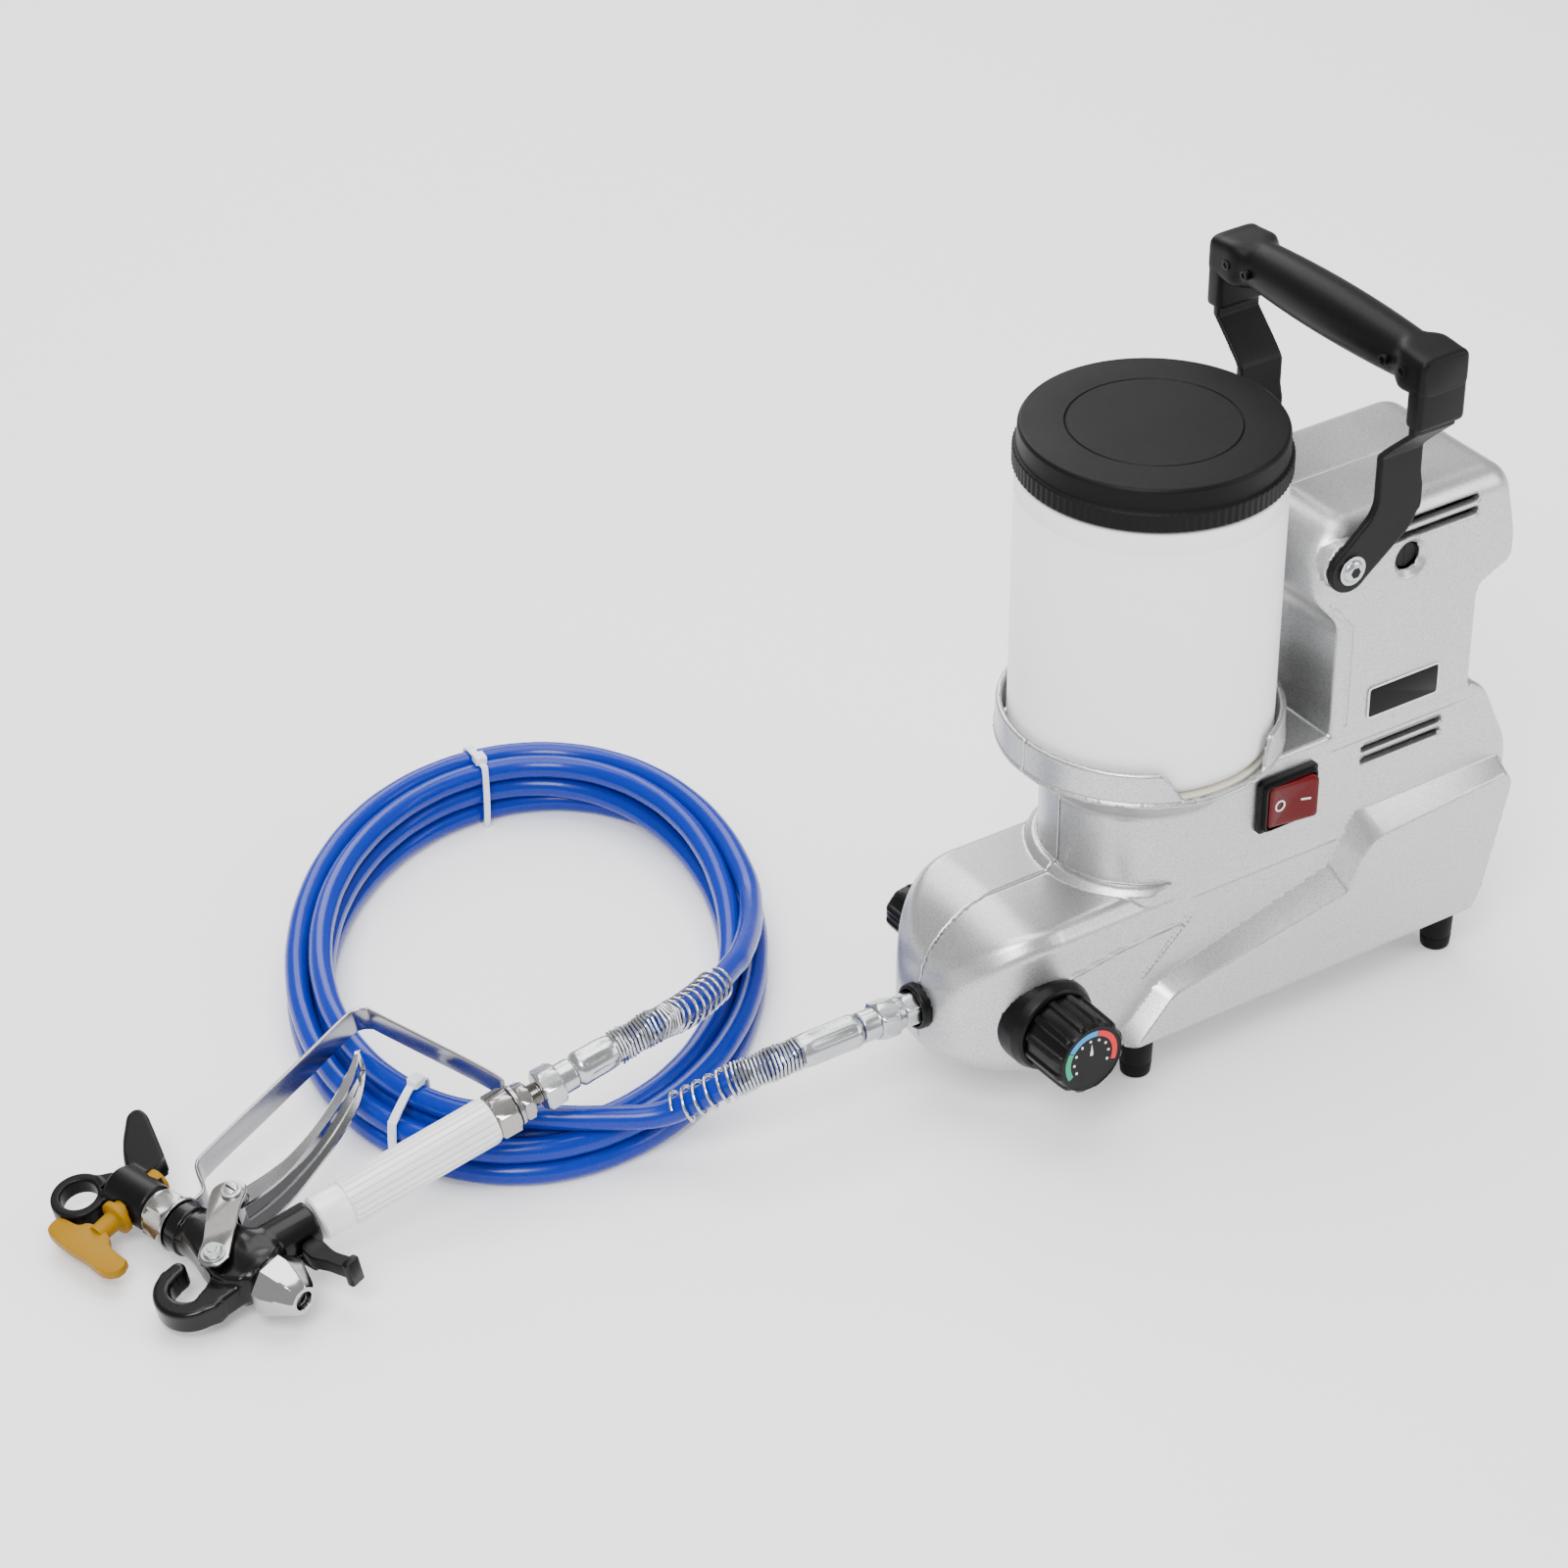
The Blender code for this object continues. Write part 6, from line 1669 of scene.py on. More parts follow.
@dataclass(frozen=True)
class Cup:
    """The milky jar on its gasket, and its screw lid."""

    radius: float = 71.0
    thickness: float = 2.5
    foot: float = 190.1
    shoulder: float = 349.0
    neck: float = 67.0
    rim: float = 370.7
    lid_top: float = 375.0

    def build(self) -> None:
        """Gasket, jar and lid."""
        gasket = rounded_profile([(15.0, 187.3, 0), (70.5, 187.3, 0.8), (70.5, 189.8, 0.8), (15.0, 189.8, 0)])
        place_body("jar_gasket_ring", turned_body(gasket, 96, hollow=True), SEAL_CREAM, "root",
                   ["jar_gasket"])
        inner = self.radius - self.thickness
        wall = [(12.2, self.foot, 0), (self.radius, self.foot, 10.0), (self.radius, 336.0, 0),
                (self.radius - 0.6, 337.0, 0.4), (self.radius, 338.0, 0), (self.radius, self.shoulder, 1.2),
                (self.neck, self.shoulder + 1.0, 0.3), (self.neck, self.rim, 0.6),
                (self.neck - 2.5, self.rim, 0), (self.neck - 2.5, self.shoulder - 3.0, 0),
                (inner, self.shoulder - 6.0, 0), (inner, self.foot + 2.5, 8.0), (12.2, self.foot + 2.5, 0)]
        place_body("jar_body", turned_body(rounded_profile(wall, 9), 128, hollow=True), JAR_WHITE, "root",
                   ["jar"])
        self.lid()

    def lid(self) -> None:
        """The lid: a plain top with a ring line, a smooth band and a ribbed skirt below it."""
        corners = [(0, 371.0, 0), (64.0, 371.0, 0), (64.0, 356.0, 0), (67.4, 356.0, 0), (67.4, 350.8, 0),
                   (71.4, 350.8, 0), (72.6, 351.8, 0), (72.6, 353.0, 0), (72.6, 356.0, 0), (72.6, 359.5, 0),
                   (72.6, 361.2, 0), (71.6, 362.0, 0), (70.4, 362.4, 0.4), (70.2, self.lid_top - 1.8, 0.6),
                   (69.0, self.lid_top, 0.9), (46.5, self.lid_top, 0), (45.8, self.lid_top - 0.7, 0),
                   (45.1, self.lid_top, 0), (0, self.lid_top, 0)]
        profile = rounded_profile(corners)
        segments = 432
        heights = np.array(profile)
        angle = np.linspace(0.0, math.tau, segments, endpoint=False)
        band = (heights[:, 0] > 71.0) & (heights[:, 1] > 351.5) & (heights[:, 1] < 361.5)
        ridges = -0.55 * (0.5 + 0.5 * np.cos(108 * angle))
        place_body("jar_lid_cap", turned_body(profile, segments, band[:, None] * ridges[None, :]),
                   LID_BLACK, "lid", ["jar_lid"])


# ------------------------------------------------------------------ carry handle


@dataclass(frozen=True)
class CarryHandle:
    """Two bent flat arms and the grip between them, on bright pivot screws."""

    pivot: Pair = (88.0, 287.0)
    arm_x: float = 117.0
    width: float = 28.5
    thickness: float = 4.5
    inner: float = 55.3
    joggle: float = 22.0
    joggle_low: float = 350.0
    joggle_high: float = 371.0
    eye: float = 13.5
    grip_height: float = 405.0
    grip_half: float = 87.0

    def arm(self, side: int) -> Field:
        """The flat arm: an eye, a diagonal, an outward joggle and the stretch into the grip.

        Args:
            side: -1 for the near side, 1 for the far one.

        Returns:
            The arm's field.
        """

        def shape(x: Array, y: Array, z: Array) -> Array:
            """The distance outside the arm.

            Args:
                x: place along the machine.
                y: place across it.
                z: place up it.

            Returns:
                The distance to the surface, negative inside.
            """
            eye = np.hypot(x - self.pivot[0], z - self.pivot[1]) - self.eye
            ahead = -((x - self.pivot[0]) * 0.78 + (z - self.pivot[1]) * 0.62)
            lower = edge_distance(x, z, (131.25, 304.0), (98.3, 278.3))
            upper = edge_distance(x, z, (81.25, 298.7), (102.75, 317.0))
            diagonal = np.maximum(np.maximum(lower, upper), np.maximum(ahead, z - 330.0))
            upright = np.maximum(np.abs(x - self.arm_x) - self.width / 2.0, 312.0 - z)
            foot = round_min(np.minimum(eye, round_max(diagonal, x - self.arm_x - self.width / 2.0, 8.0)),
                             upright, 6.0)
            outline = round_max(foot, z - self.grip_height - 4.0, 2.0)
            rise = (z - self.joggle_low) / (self.joggle_high - self.joggle_low)
            shift = self.joggle * round_min(round_max(rise, np.zeros_like(z), 0.12), np.ones_like(z), 0.12)
            slope = np.where((rise > 0.0) & (rise < 1.0), 0.72, 1.0)
            middle = self.inner + self.thickness / 2.0 + np.clip(shift, 0.0, self.joggle)
            slab = (np.abs(side * y - middle) - self.thickness / 2.0) * slope
            ring = round_max(outline, slab, 1.0)
            return round_max(ring, -(np.hypot(x - self.pivot[0], z - self.pivot[1]) - 2.9), 0.3)

        return shape

    def grip(self) -> Body:
        """The spindle grip, round in the middle and squared off at its ends.

        At share s of its half length the height is end + (middle - end) cos(s 0.54 pi)^0.8 and the
        section is a rounded square that gets squarer past s = 0.7.

        Returns:
            Its points and its faces.
        """
        along = np.concatenate([[-1.0, -0.995, -0.985], np.linspace(-0.97, 0.97, 61), [0.985, 0.995, 1.0]])
        share = np.abs(along)
        swell = np.cos(np.minimum(1.0, share * 1.08) * math.pi / 2.0) ** 0.8
        height = 11.5 + 4.0 * swell
        flat = smooth_step(share, 0.68, 0.80)
        width = height + (16.0 - height) * flat
        end = np.sqrt(np.maximum(0.0, 1.0 - np.maximum(0.0, (share - 0.97) / 0.03) ** 2))
        inset = 2.6 * (1.0 - end)
        power = 2.0 + 3.5 * flat
        angle = np.linspace(0.0, math.tau, 64, endpoint=False)
        ca, sa = np.cos(angle), np.sin(angle)
        order = power[:, None]
        reach = (np.abs(ca)[None] ** order + np.abs(sa)[None] ** order) ** (-1.0 / order)
        x = self.arm_x + (width - inset)[:, None] * reach * ca
        z = self.grip_height + (height - inset)[:, None] * reach * sa
        y = np.broadcast_to((along * self.grip_half)[:, None], x.shape)
        return skin(np.stack([x, y, z], axis=-1)[:, ::-1])

    def build(self) -> None:
        """Arms, grip, screws and the small screws in the grip's ends."""
        outer = self.inner + self.thickness + self.joggle
        for name, side in (("handle_arm_near", -1), ("handle_arm_far", 1)):
            low, high = sorted((side * (self.inner - 2.0), side * (outer + 2.0)))
            place_field(name + "_plate", self.arm(side), (70.0, low, 270.0), (136.0, high, 414.0), 1.3,
                        MACHINE, POWDER_BLACK, "handle", [name])
            self.pivot_screw(name.replace("arm", "screw"), side)
        for name, side in (("grip_end_near", -1), ("grip_end_far", 1)):
            rings = []
            for height, shrink in ((376.0, 0.90), (376.7, 0.97), (378.5, 1.0), (404.0, 1.0)):
                outline = rounded_rectangle(31.6, 11.6, 3.0) * shrink
                place = np.array([self.arm_x, side * (self.grip_half - 6.0)])
                rings.append(np.column_stack([outline + place, np.full(len(outline), height)]))
            place_body(name, skin(np.stack(rings)), GRIP_BLACK, "handle")
        place_body("handle_grip_spindle", self.grip(), GRIP_BLACK, "handle", ["handle_grip"])
        head = rounded_profile([(0, 0, 0), (2.9, 0, 0), (2.9, 2.4, 0.5), (1.6, 2.4, 0), (1.3, 1.6, 0),
                                (0, 1.6, 0)])
        for index, side in enumerate((-1, 1)):
            for number, along in enumerate((56.0, 71.0)):
                points, faces = turned_body(head, 24)
                points = ahead_of_nose(points,
                                       self.grip_height) + np.array([self.arm_x - 14.2, side * along, 0.0])
                place_piece(f"grip_screw_{index}_{number}", MACHINE.world(points), faces, MOULDED_BLACK,
                            "handle")

    def pivot_screw(self, name: str, side: int) -> None:
        """A bright button-head screw with a hexagon socket on a washer.

        Args:
            name: the piece's name.
            side: -1 for the near side, 1 for the far one.
        """
        outer = self.inner + self.thickness + 0.3
        socket = polygon_points(6, 5.6)
        dome = rounded_profile([(2.2, 44.0, 0), (2.2, outer, 0), (8.2, outer, 0), (8.4, outer + 0.9, 0.2),
                                (6.4, outer + 1.0, 0), (6.2, outer + 1.8, 0.6), (4.6, outer + 3.1, 1.0),
                                (3.2, outer + 3.3, 0.2), (0, outer + 3.3, 0)])
        # A black hexagon just proud of the dome's top: painted shade standing for the socket's hollow, which
        # is not cut.
        painted_socket_shade = prism_body(socket, outer + 3.0, outer + 3.5)
        points, faces = turned_body(dome, 48)
        for label, (vertices, corners), finish in ((name + "_head", (points, faces), ZINC),
                                                   (name + "_socket_painted_shade", painted_socket_shade, MOULDED_BLACK)):
            laid, corners = on_side((vertices, corners), self.pivot, side)
            place_piece(label, MACHINE.world(laid), corners, finish, "root", [name] if finish is ZINC else ())


# ------------------------------------------------------------------ controls


@dataclass(frozen=True)
class Controls:
    """Pressure knob with its coloured arc, drain knob, rocker switch and blank plate."""

    knob: Pair = (-94.0, 65.0)
    switch: Pair = (60.0, 152.0)
    face: float = 90.0

    @staticmethod
    def near(body: Body, centre: Pair) -> Body:
        """A body made about Z, with Z towards the near side, on an axis along Y.

        Args:
            body: a body made about Z.
            centre: where the axis stands, in the two directions across it.

        Returns:
            The laid body.
        """
        x, y, z = body[0].T
        return np.column_stack([centre[0] + x, -z, centre[1] + y]), body[1]

    @staticmethod
    def far(body: Body, centre: Pair) -> Body:
        """The same towards the far side.

        Args:
            body: a body made about Z.
            centre: where the axis stands, in the two directions across it.

        Returns:
            The laid body.
        """
        x, y, z = body[0].T
        return np.column_stack([centre[0] - x, z, centre[1] + y]), body[1]

    @staticmethod
    def fluted_knob(radius: float, low: float, high: float, flutes: int, depth: float) -> Body:
        """A knob whose side has wide shallow flutes between narrow ridges.

        Args:
            radius: the radius.
            low: the height it starts at.
            high: the height it ends at.
            flutes: how many flutes it has.
            depth: how deep they are.

        Returns:
            Its points and its faces.
        """
        corners = [(0, low, 0), (radius - 1.0, low, 0), (radius, low + 1.0, 0), (radius, low + 3.0, 0),
                   (radius - 0.2, high - 6.0, 0), (radius - 0.5, high - 2.4, 0),
                   (radius - 1.6, high - 0.8, 0), (radius - 3.0, high, 0), (radius - 3.6, high - 0.5, 0),
                   (0, high - 0.5, 0)]
        profile = rounded_profile(corners)
        segments = flutes * 16
        angle = np.linspace(0.0, math.tau, segments, endpoint=False)
        wave = -depth * smooth_step(np.cos(flutes * angle), -0.75, 0.1)
        strength = np.array([0, 0.6, 1, 1, 1, 1, 0.5, 0, 0, 0])
        return turned_body(profile, segments, strength[:, None] * wave[None, :])

    @staticmethod
    def sector(inner: float, outer: float, start: float, sweep: float, low: float, high: float) -> Body:
        """A flat stretch of ring.

        Args:
            inner: the inner radius.
            outer: the outer radius.
            start: where it starts, in degrees.
            sweep: how far it turns, in degrees.
            low: the height it starts at.
            high: the height it ends at.

        Returns:
            Its points and its faces.
        """
        outline = arc(outer, (0, 0), start, sweep, 16) + arc(inner, (0, 0), start + sweep, -sweep, 16)
        return prism_body(outline if sweep > 0 else outline[::-1], low, high)

    def build(self) -> None:
        """All the controls."""
        collar = rounded_profile([(8.3, 41, 0), (26.5, 41, 0), (26.5, 54, 0.8), (24.4, 59.2, 0.8),
                                  (22.9, 60, 0.4), (8.3, 60, 0)])
        place_body("pressure_knob_collar_ring", self.near(turned_body(collar, 96, hollow=True), self.knob),
                   MOULDED_BLACK, "root", ["pressure_knob_collar"])
        body = joined(self.fluted_knob(22.5, 60.4, self.face, 12, 1.5),
                      turned_body([(0, 20.3), (4, 20.3), (4, 61), (0, 61)], 24))
        place_body("pressure_knob_grip", self.near(body, self.knob), MOULDED_BLACK, "pressure_dial",
                   ["pressure_knob"])
        for name, start, sweep, finish in (("dial_arc_low", 212.0, -62.0, DIAL_GREEN),
                                           ("dial_arc_middle", 148.0, -72.0, DIAL_BLUE),
                                           ("dial_arc_high", 74.0, -96.0, DIAL_RED)):
            place_body(name, self.near(self.sector(13.6, 16.9, start, sweep, self.face - 0.7,
                                                   self.face - 0.3), self.knob), finish, "pressure_dial")
        for index in range(9):
            angle = math.radians(212.0 - index * 29.2)
            dot = turned_body([(0, 0), (0.75, 0), (0.75, 0.35), (0, 0.35)], 16)
            moved = dot[0] + np.array([11.2 * math.cos(angle), 11.2 * math.sin(angle), self.face - 0.6])
            place_body(f"dial_dot_{index}", self.near((moved, dot[1]), self.knob), MARK_WHITE,
                       "pressure_dial")
        pointer = prism_body([(-1.0, 2.0), (1.0, 2.0), (0.0, 9.0)], self.face - 0.7, self.face - 0.25)
        place_body("dial_pointer", self.near(pointer, self.knob), MARK_WHITE, "pressure_dial")
        body = joined(self.fluted_knob(15.0, 53.5, 80.0, 9, 1.2),
                      turned_body([(0, 20.3), (4, 20.3), (4, 54), (0, 54)], 24))
        place_body("drain_knob_grip", self.far(body, self.knob), MOULDED_BLACK, "drain_dial", ["drain_knob"])
        arrow = prism_body([(-0.9, -8.0), (0.9, -8.0), (0.9, 3.0), (3.2, 3.0), (0.0, 8.5), (-3.2, 3.0),
                            (-0.9, 3.0)], 79.3, 79.8)
        place_body("drain_arrow", self.far(arrow, self.knob), MARK_WHITE, "drain_dial")
        self.rocker_switch()
        self.plate()

    @staticmethod
    def rocker_front(x: Array) -> Array:
        """How far the rocker's face stands out: hollow on the side pressed in, rising on the other.

        Args:
            x: place along the rocker, from its middle.

        Returns:
            The heights.
        """
        return 57.2 + np.where(x < 0, 1.5 * (x / 15.5) ** 2, 5.6 * (x / 15.5))

    def rocker_switch(self) -> None:
        """The stepped black surround, the red rocker and its two marks."""
        steps = ((40.0, 33.0, 52.3), (40.0, 33.0, 54.6), (38.6, 31.6, 55.2), (36.6, 29.6, 55.4),
                 (36.0, 29.0, 57.4), (35.0, 28.0, 58.0), (32.8, 27.6, 58.0), (32.4, 27.2, 54.2))
        box = rounded_rectangle(29.2, 23.2, 1.5)
        rings = [(box, 36.0), (box, 52.3)]
        rings += [(rounded_rectangle(a, b, 3.0), height) for a, b, height in steps]
        place_body("switch_bezel_frame", self.near(skin(lifted(rings)), self.switch), MOULDED_BLACK, "root",
                   ["switch_bezel"])
        foot = rounded_rectangle(30.6, 26.0, 2.6)
        rings = [np.column_stack([foot, 54.7 + 2.9 * np.clip(foot[:, 0] / 15.3, 0.0, 1.0)])]
        for share, inset in ((0.0, 0.0), (0.45, 0.25), (0.8, 0.9), (1.0, 1.9)):
            outline = rounded_rectangle(30.6 - 2 * inset, 26.0 - 2 * inset, 2.6)
            rings.append(np.column_stack([outline, self.rocker_front(outline[:, 0]) - 1.6 + 1.6 * share]))
        for shrink in (0.8, 0.55, 0.3, 0.08):
            inner = outline * shrink
            rings.append(np.column_stack([inner, self.rocker_front(inner[:, 0])]))
        place_body("switch_rocker_cap", self.near(skin(np.stack(rings)), self.switch), SWITCH_RED, "rocker",
                   ["switch_rocker"])
        ring = self.sector(2.6, 3.4, 0.0, 359.9, 57.75, 58.25)
        place_body("switch_mark_off", self.near((ring[0] + np.array([-8.0, 0, 0]), ring[1]), self.switch),
                   MARK_WHITE, "rocker")
        dash, corners = prism_body([(5.4, -0.5), (10.6, -0.5), (10.6, 0.5), (5.4, 0.5)], 57.0, 57.4)
        dash[:, 2] += 5.6 * dash[:, 0] / 15.5
        place_body("switch_mark_on", self.near((dash, corners), self.switch), MARK_WHITE, "rocker")

    def plate(self) -> None:
        """A blank black plate in a thin raised silver frame."""
        low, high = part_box("rating_plate")
        middle = ((low.x + high.x) / 2 / MM - MACHINE_ORIGIN[0], (low.z + high.z) / 2 / MM)
        width, height = (high.x - low.x) / MM, (high.z - low.z) / MM
        outline = rounded_rectangle(width - 2.0, height - 2.0, 2.0)
        levels = ((1, 52.25), (1, 52.75), (0.99, 52.85))
        rings = lifted((outline * share, height) for share, height in levels)
        place_body("rating_plate_face", self.near(skin(rings), middle), PLATE_BLACK, "root", ["rating_plate"])
        outer = rounded_rectangle(width, height, 2.6)
        inner = rounded_rectangle(width - 2.4, height - 2.4, 1.6)
        rings = lifted(((outer, 52.1), (outer, 53.0), (inner, 53.0), (inner, 52.1)))
        place_body("rating_plate_edge", self.near(skin(rings, closed=True), middle), PLATE_EDGE, "root",
                   bevel=0.15)


@dataclass(frozen=True)
class Outlet:
    """The threaded outlet on the nose."""

    level: float = 65.0

    def build(self) -> None:
        """Pipe, hexagon and thread."""
        thread = [(6.2, 152.0, 0)]
        for turn in range(7):
            thread += [(6.2, 153.0 + turn * 1.2, 0), (5.6, 153.6 + turn * 1.2, 0)]
        thread += [(5.4, 162.0, 0), (0, 162.0, 0)]
        rim = turned_body(rounded_profile([(10.4, 140.0, 0), (12.8, 140.0, 0), (12.8, 145.4, 0.5),
                                           (12.0, 146.4, 0.4), (10.8, 146.4, 0.3), (10.4, 145.6, 0)]), 64,
                          hollow=True)
        place_piece("outlet_rim", MACHINE.world(ahead_of_nose(rim[0], self.level)), rim[1], MOULDED_BLACK,
                    "root")
        parts = joined(turned_body([(0, 113), (7.5, 113), (7.5, 138), (0, 138)], 36),
                       nut_body(137.0, 154.0, 17.0),
                       turned_body(rounded_profile([(0, 152, 0), *thread]), 36))
        points = ahead_of_nose(parts[0], self.level)
        place_piece("outlet_fitting_hex", MACHINE.world(points), parts[1], ZINC, "root", ["outlet_fitting"])


# ------------------------------------------------------------------ spray gun


@dataclass(frozen=True)
class Gun:
    """The spray gun on its side: X along the spray, Z up its back, the grip running down."""

    pin: Pair = (3.0, 12.0)
    screw: Pair = (26.0, -23.0)
    lock: Pair = (-27.5, -26.0)
    key_x: float = 78.0
    grip_start: float = 43.8
    grip_end: float = 149.0
    foot: float = 163.7
    plate: float = 15.5
    guard_corner: Pair = (72.5, -161.0)

    def put(self, name: str, body: Body, finish: Finish, nodes: Sequence[str] = (),
            ride: str = "root", axis: str = "Z", centre: Pair = (0.0, 0.0), stand: Stand = GUN,
            bevel: float = 0.0, sharp: float = 35.0) -> bpy.types.Object:
        """Lays a body on an axis of a stand and makes it a piece.

        Args:
            name: the piece's name.
            body: points and faces.
            finish: its finish.
            nodes: the CAD nodes it stands for.
            ride: the body it rides on.
            axis: X, Y or Z.
            centre: where the axis stands, in the two directions across it.
            stand: the stand the points belong to.
            bevel: width of a bevel, in millimetres.
            sharp: edges bent further stay sharp, in degrees.

        Returns:
            The new piece.
        """
        points = on_axis(body[0], axis, centre)
        return place_piece(name, stand.world(points), body[1], finish, ride, nodes, sharp=sharp, bevel=bevel)

    def body_field(self, x: Array, y: Array, z: Array) -> Array:
        """Barrel, collar, cheeks, grip socket, hook and the lock lever's lug.

        Args:
            x: place along the gun.
            y: place across it.
            z: place up it.

        Returns:
            The distance to the surface, negative inside.
        """
        w = np.abs(y)
        across = np.hypot(y, z)
        barrel = np.maximum(across - 12.5, np.maximum(-20.0 - x, x - 37.0))
        collar = round_max(across - 14.0, np.maximum(36.0 - x, x - 44.7), 1.2)
        outline = [(-18.0, -14.0), (-18.0, 14.0), (-6.0, 20.0), (12.0, 17.0), (33.0, 8.0), (33.0, -8.0),
                   (14.0, -14.0)]
        cheek = round_max(polygon_field(x, z, outline, 3.0), w - 11.0, 3.0)
        down = grip_heading()
        along = x * down[0] + z * down[2]
        socket = np.hypot(x * down[2] - z * down[0], y) - 12.0
        socket = round_max(socket, np.maximum(4.0 - along, along - 42.0), 1.5)
        ring = np.hypot(x - 6.0, z - 30.0)
        turn = np.degrees(np.arctan2(z - 30.0, x - 6.0))
        hook = np.abs(ring - 14.6) - 4.6 - 0.8 * smooth_step(turn, 30.0, 150.0)
        hook = np.maximum(hook, 30.0 - z)
        tip = capsule_field(x, z, (20.4, 25.0), (20.6, 31.0), 4.5)
        stem = polygon_field(x, z, [(-19.0, 6.0), (-14.6, 32.0), (-3.2, 32.0), (6.0, 8.0)], 2.0)
        hook = round_max(round_min(round_min(hook, tip, 1.0), stem, 5.0), w - 7.0, 2.5)
        lug = round_max(polygon_field(x, z, [(-31.5, -31.0), (-31.5, -21.0), (-6.0, -20.0), (-6.0, -33.0)],
                                      1.5),
                        np.abs(y - 6.4) - 1.6, 0.6)
        shape = round_min(barrel, cheek, 3.0)
        shape = round_min(shape, socket, 4.0)
        shape = round_min(shape, hook, 2.5)
        shape = np.minimum(round_min(shape, lug, 1.0), collar)
        shape = round_max(shape, -(across - 3.2), 0.4)
        return round_max(shape, -(np.hypot(x - self.pin[0], z - self.pin[1]) - 3.1), 0.4)

    def tip_field(self, x: Array, y: Array, z: Array) -> Array:
        """The tip guard: its round block, the pointed wing and the wing with a ring.

        Args:
            x: place along the gun.
            y: place across it.
            z: place up it.

        Returns:
            The distance to the surface, negative inside.
        """
        w = np.abs(y)
        across = np.hypot(y, z)
        block = round_max(across - 13.0, np.maximum(63.4 - x, x - 93.0), 2.5)
        fin = round_max(polygon_field(x, z, [(70.0, -8.0), (92.0, -6.0), (107.0, -16.0), (123.0, -35.0),
                                             (121.5, -41.5), (115.0, -42.5), (95.0, -33.0), (74.0, -21.0)],
                                      3.0), w - 6.5, 2.5)
        ring = np.abs(np.hypot(x - 103.0, z - 18.5) - 12.6) - 2.7
        ring = round_max(ring, w - 5.2, 1.4)
        web = round_max(polygon_field(x, z,
                                      [(80.0, -6.0), (80.0, 12.0), (86.0, 12.0), (96.0, 8.0), (108.0, 6.0),
                                             (100.0, -3.0)], 1.0), w - 4.8, 1.2)
        shape = round_min(round_min(block, fin, 2.0), round_min(ring, web, 1.0), 2.0)
        around = np.hypot(x - self.key_x, y)
        cuts = np.minimum(np.maximum(around - 7.3, -30.0 - z), np.maximum(around - 10.2, 13.4 - z))
        mouth = np.maximum(across - 5.0 - np.maximum(0.0, x - self.key_x) * 0.28, np.abs(x - 87.0) - 9.5)
        seat = np.maximum(across - 6.2, x - 73.0)
        return round_max(round_max(shape, -cuts, 0.5), -np.minimum(mouth, seat), 0.6)

    def build(self) -> None:
        """All of the gun."""
        place_field("gun_body_forging", self.body_field, (-36.0, -16.0, -44.0), (48.0, 16.0, 52.0), 1.1,
                    GUN, FORGED_BLACK, "root", ["gun_body"])
        place_field("tip_guard_moulding", self.tip_field, (60.0, -15.0, -46.0), (126.0, 15.0, 36.0), 1.0,
                    GUN, MOULDED_BLACK, "root", ["tip_guard"])
        self.ends()
        self.key()
        self.grip()
        self.trigger()
        self.guard()
        self.lock_lever()

    def ends(self) -> None:
        """The eight-sided chrome cap at the back and the nut at the head."""
        angle = np.linspace(0.0, math.tau, 80, endpoint=False)
        off = (angle + math.pi / 8) % (math.pi / 4) - math.pi / 8
        rings = []
        for x, radius, facet in ((-20.3, 12.2, 0.0), (-21.5, 13.4, 0.4), (-25.0, 15.6, 1.0),
                                 (-31.0, 15.6, 1.0), (-44.5, 9.0, 1.0), (-46.0, 7.6, 0.6),
                                 (-46.0, 5.4, 0.0), (-45.0, 5.0, 0.0), (-39.0, 5.0, 0.0), (-38.5, 4.0, 0.0),
                                 (-38.5, 2.8, 0.0), (-20.3, 2.8, 0.0)):
            shape = radius * (1.0 + facet * (1.0 / np.cos(off) - 1.0))
            rings.append(np.column_stack([shape * np.cos(angle), shape * np.sin(angle), np.full(80, x)]))
        self.put("rear_cap_octagon", skin(np.stack(rings)[::-1], closed=True), CHROME, ["rear_cap"],
                 axis="X", sharp=28.0)
        thread = [(7.6, 45.0)]
        for index in range(4):
            thread += [(11.7, 45.0 + index * 0.75), (11.0, 45.4 + index * 0.75)]
        thread += [(11.0, 48.0), (7.6, 48.0)]
        nut = nut_body(47.8, 60.6, 26.0)
        collar = turned_body(rounded_profile([(7.6, 60.4, 0), (12.3, 60.4, 0.3), (12.3, 63.0, 0.6),
                                              (7.6, 63.0, 0)]), 48,
                             hollow=True)
        self.put("head_nut_hex", joined(turned_body(thread, 48, hollow=True), nut, collar), NICKEL,
                 ["head_nut"], axis="X")

    def key(self) -> None:
        """The reversible tip's yellow key."""
        barrel = turned_body(rounded_profile([(0, -16, 0), (7.0, -16, 1.0), (7.0, 13.7, 0),
                                              (9.6, 13.7, 0.4), (9.6, 17.0, 0.6), (5.6, 18.0, 0.5),
                                              (5.2, 30.0, 0), (0, 30.0, 0)]), 48)
        barrel = (barrel[0] + np.array([self.key_x, 0, 0]), barrel[1])
        x = self.key_x
        outline = smooth_path([(x - 28, 34), (x - 14, 32.5), (x - 8, 28), (x, 26.5), (x + 8, 28),
                               (x + 12, 32), (x + 23, 33.5), (x + 25, 38), (x + 22, 44), (x + 8, 46),
                               (x - 8, 46), (x - 22, 47), (x - 29, 43), (x - 30, 38)], 2.0)
        levels = ((-3.0, 0.94), (-2.7, 0.985), (-2.0, 1.0), (2.0, 1.0), (2.7, 0.985), (3.0, 0.94))
        flag = skin(edge_plate(outline, levels)[::-1])
        self.put("tip_key_flag", joined(barrel, flag), KEY_YELLOW, ["tip_key"], "tip_selector")

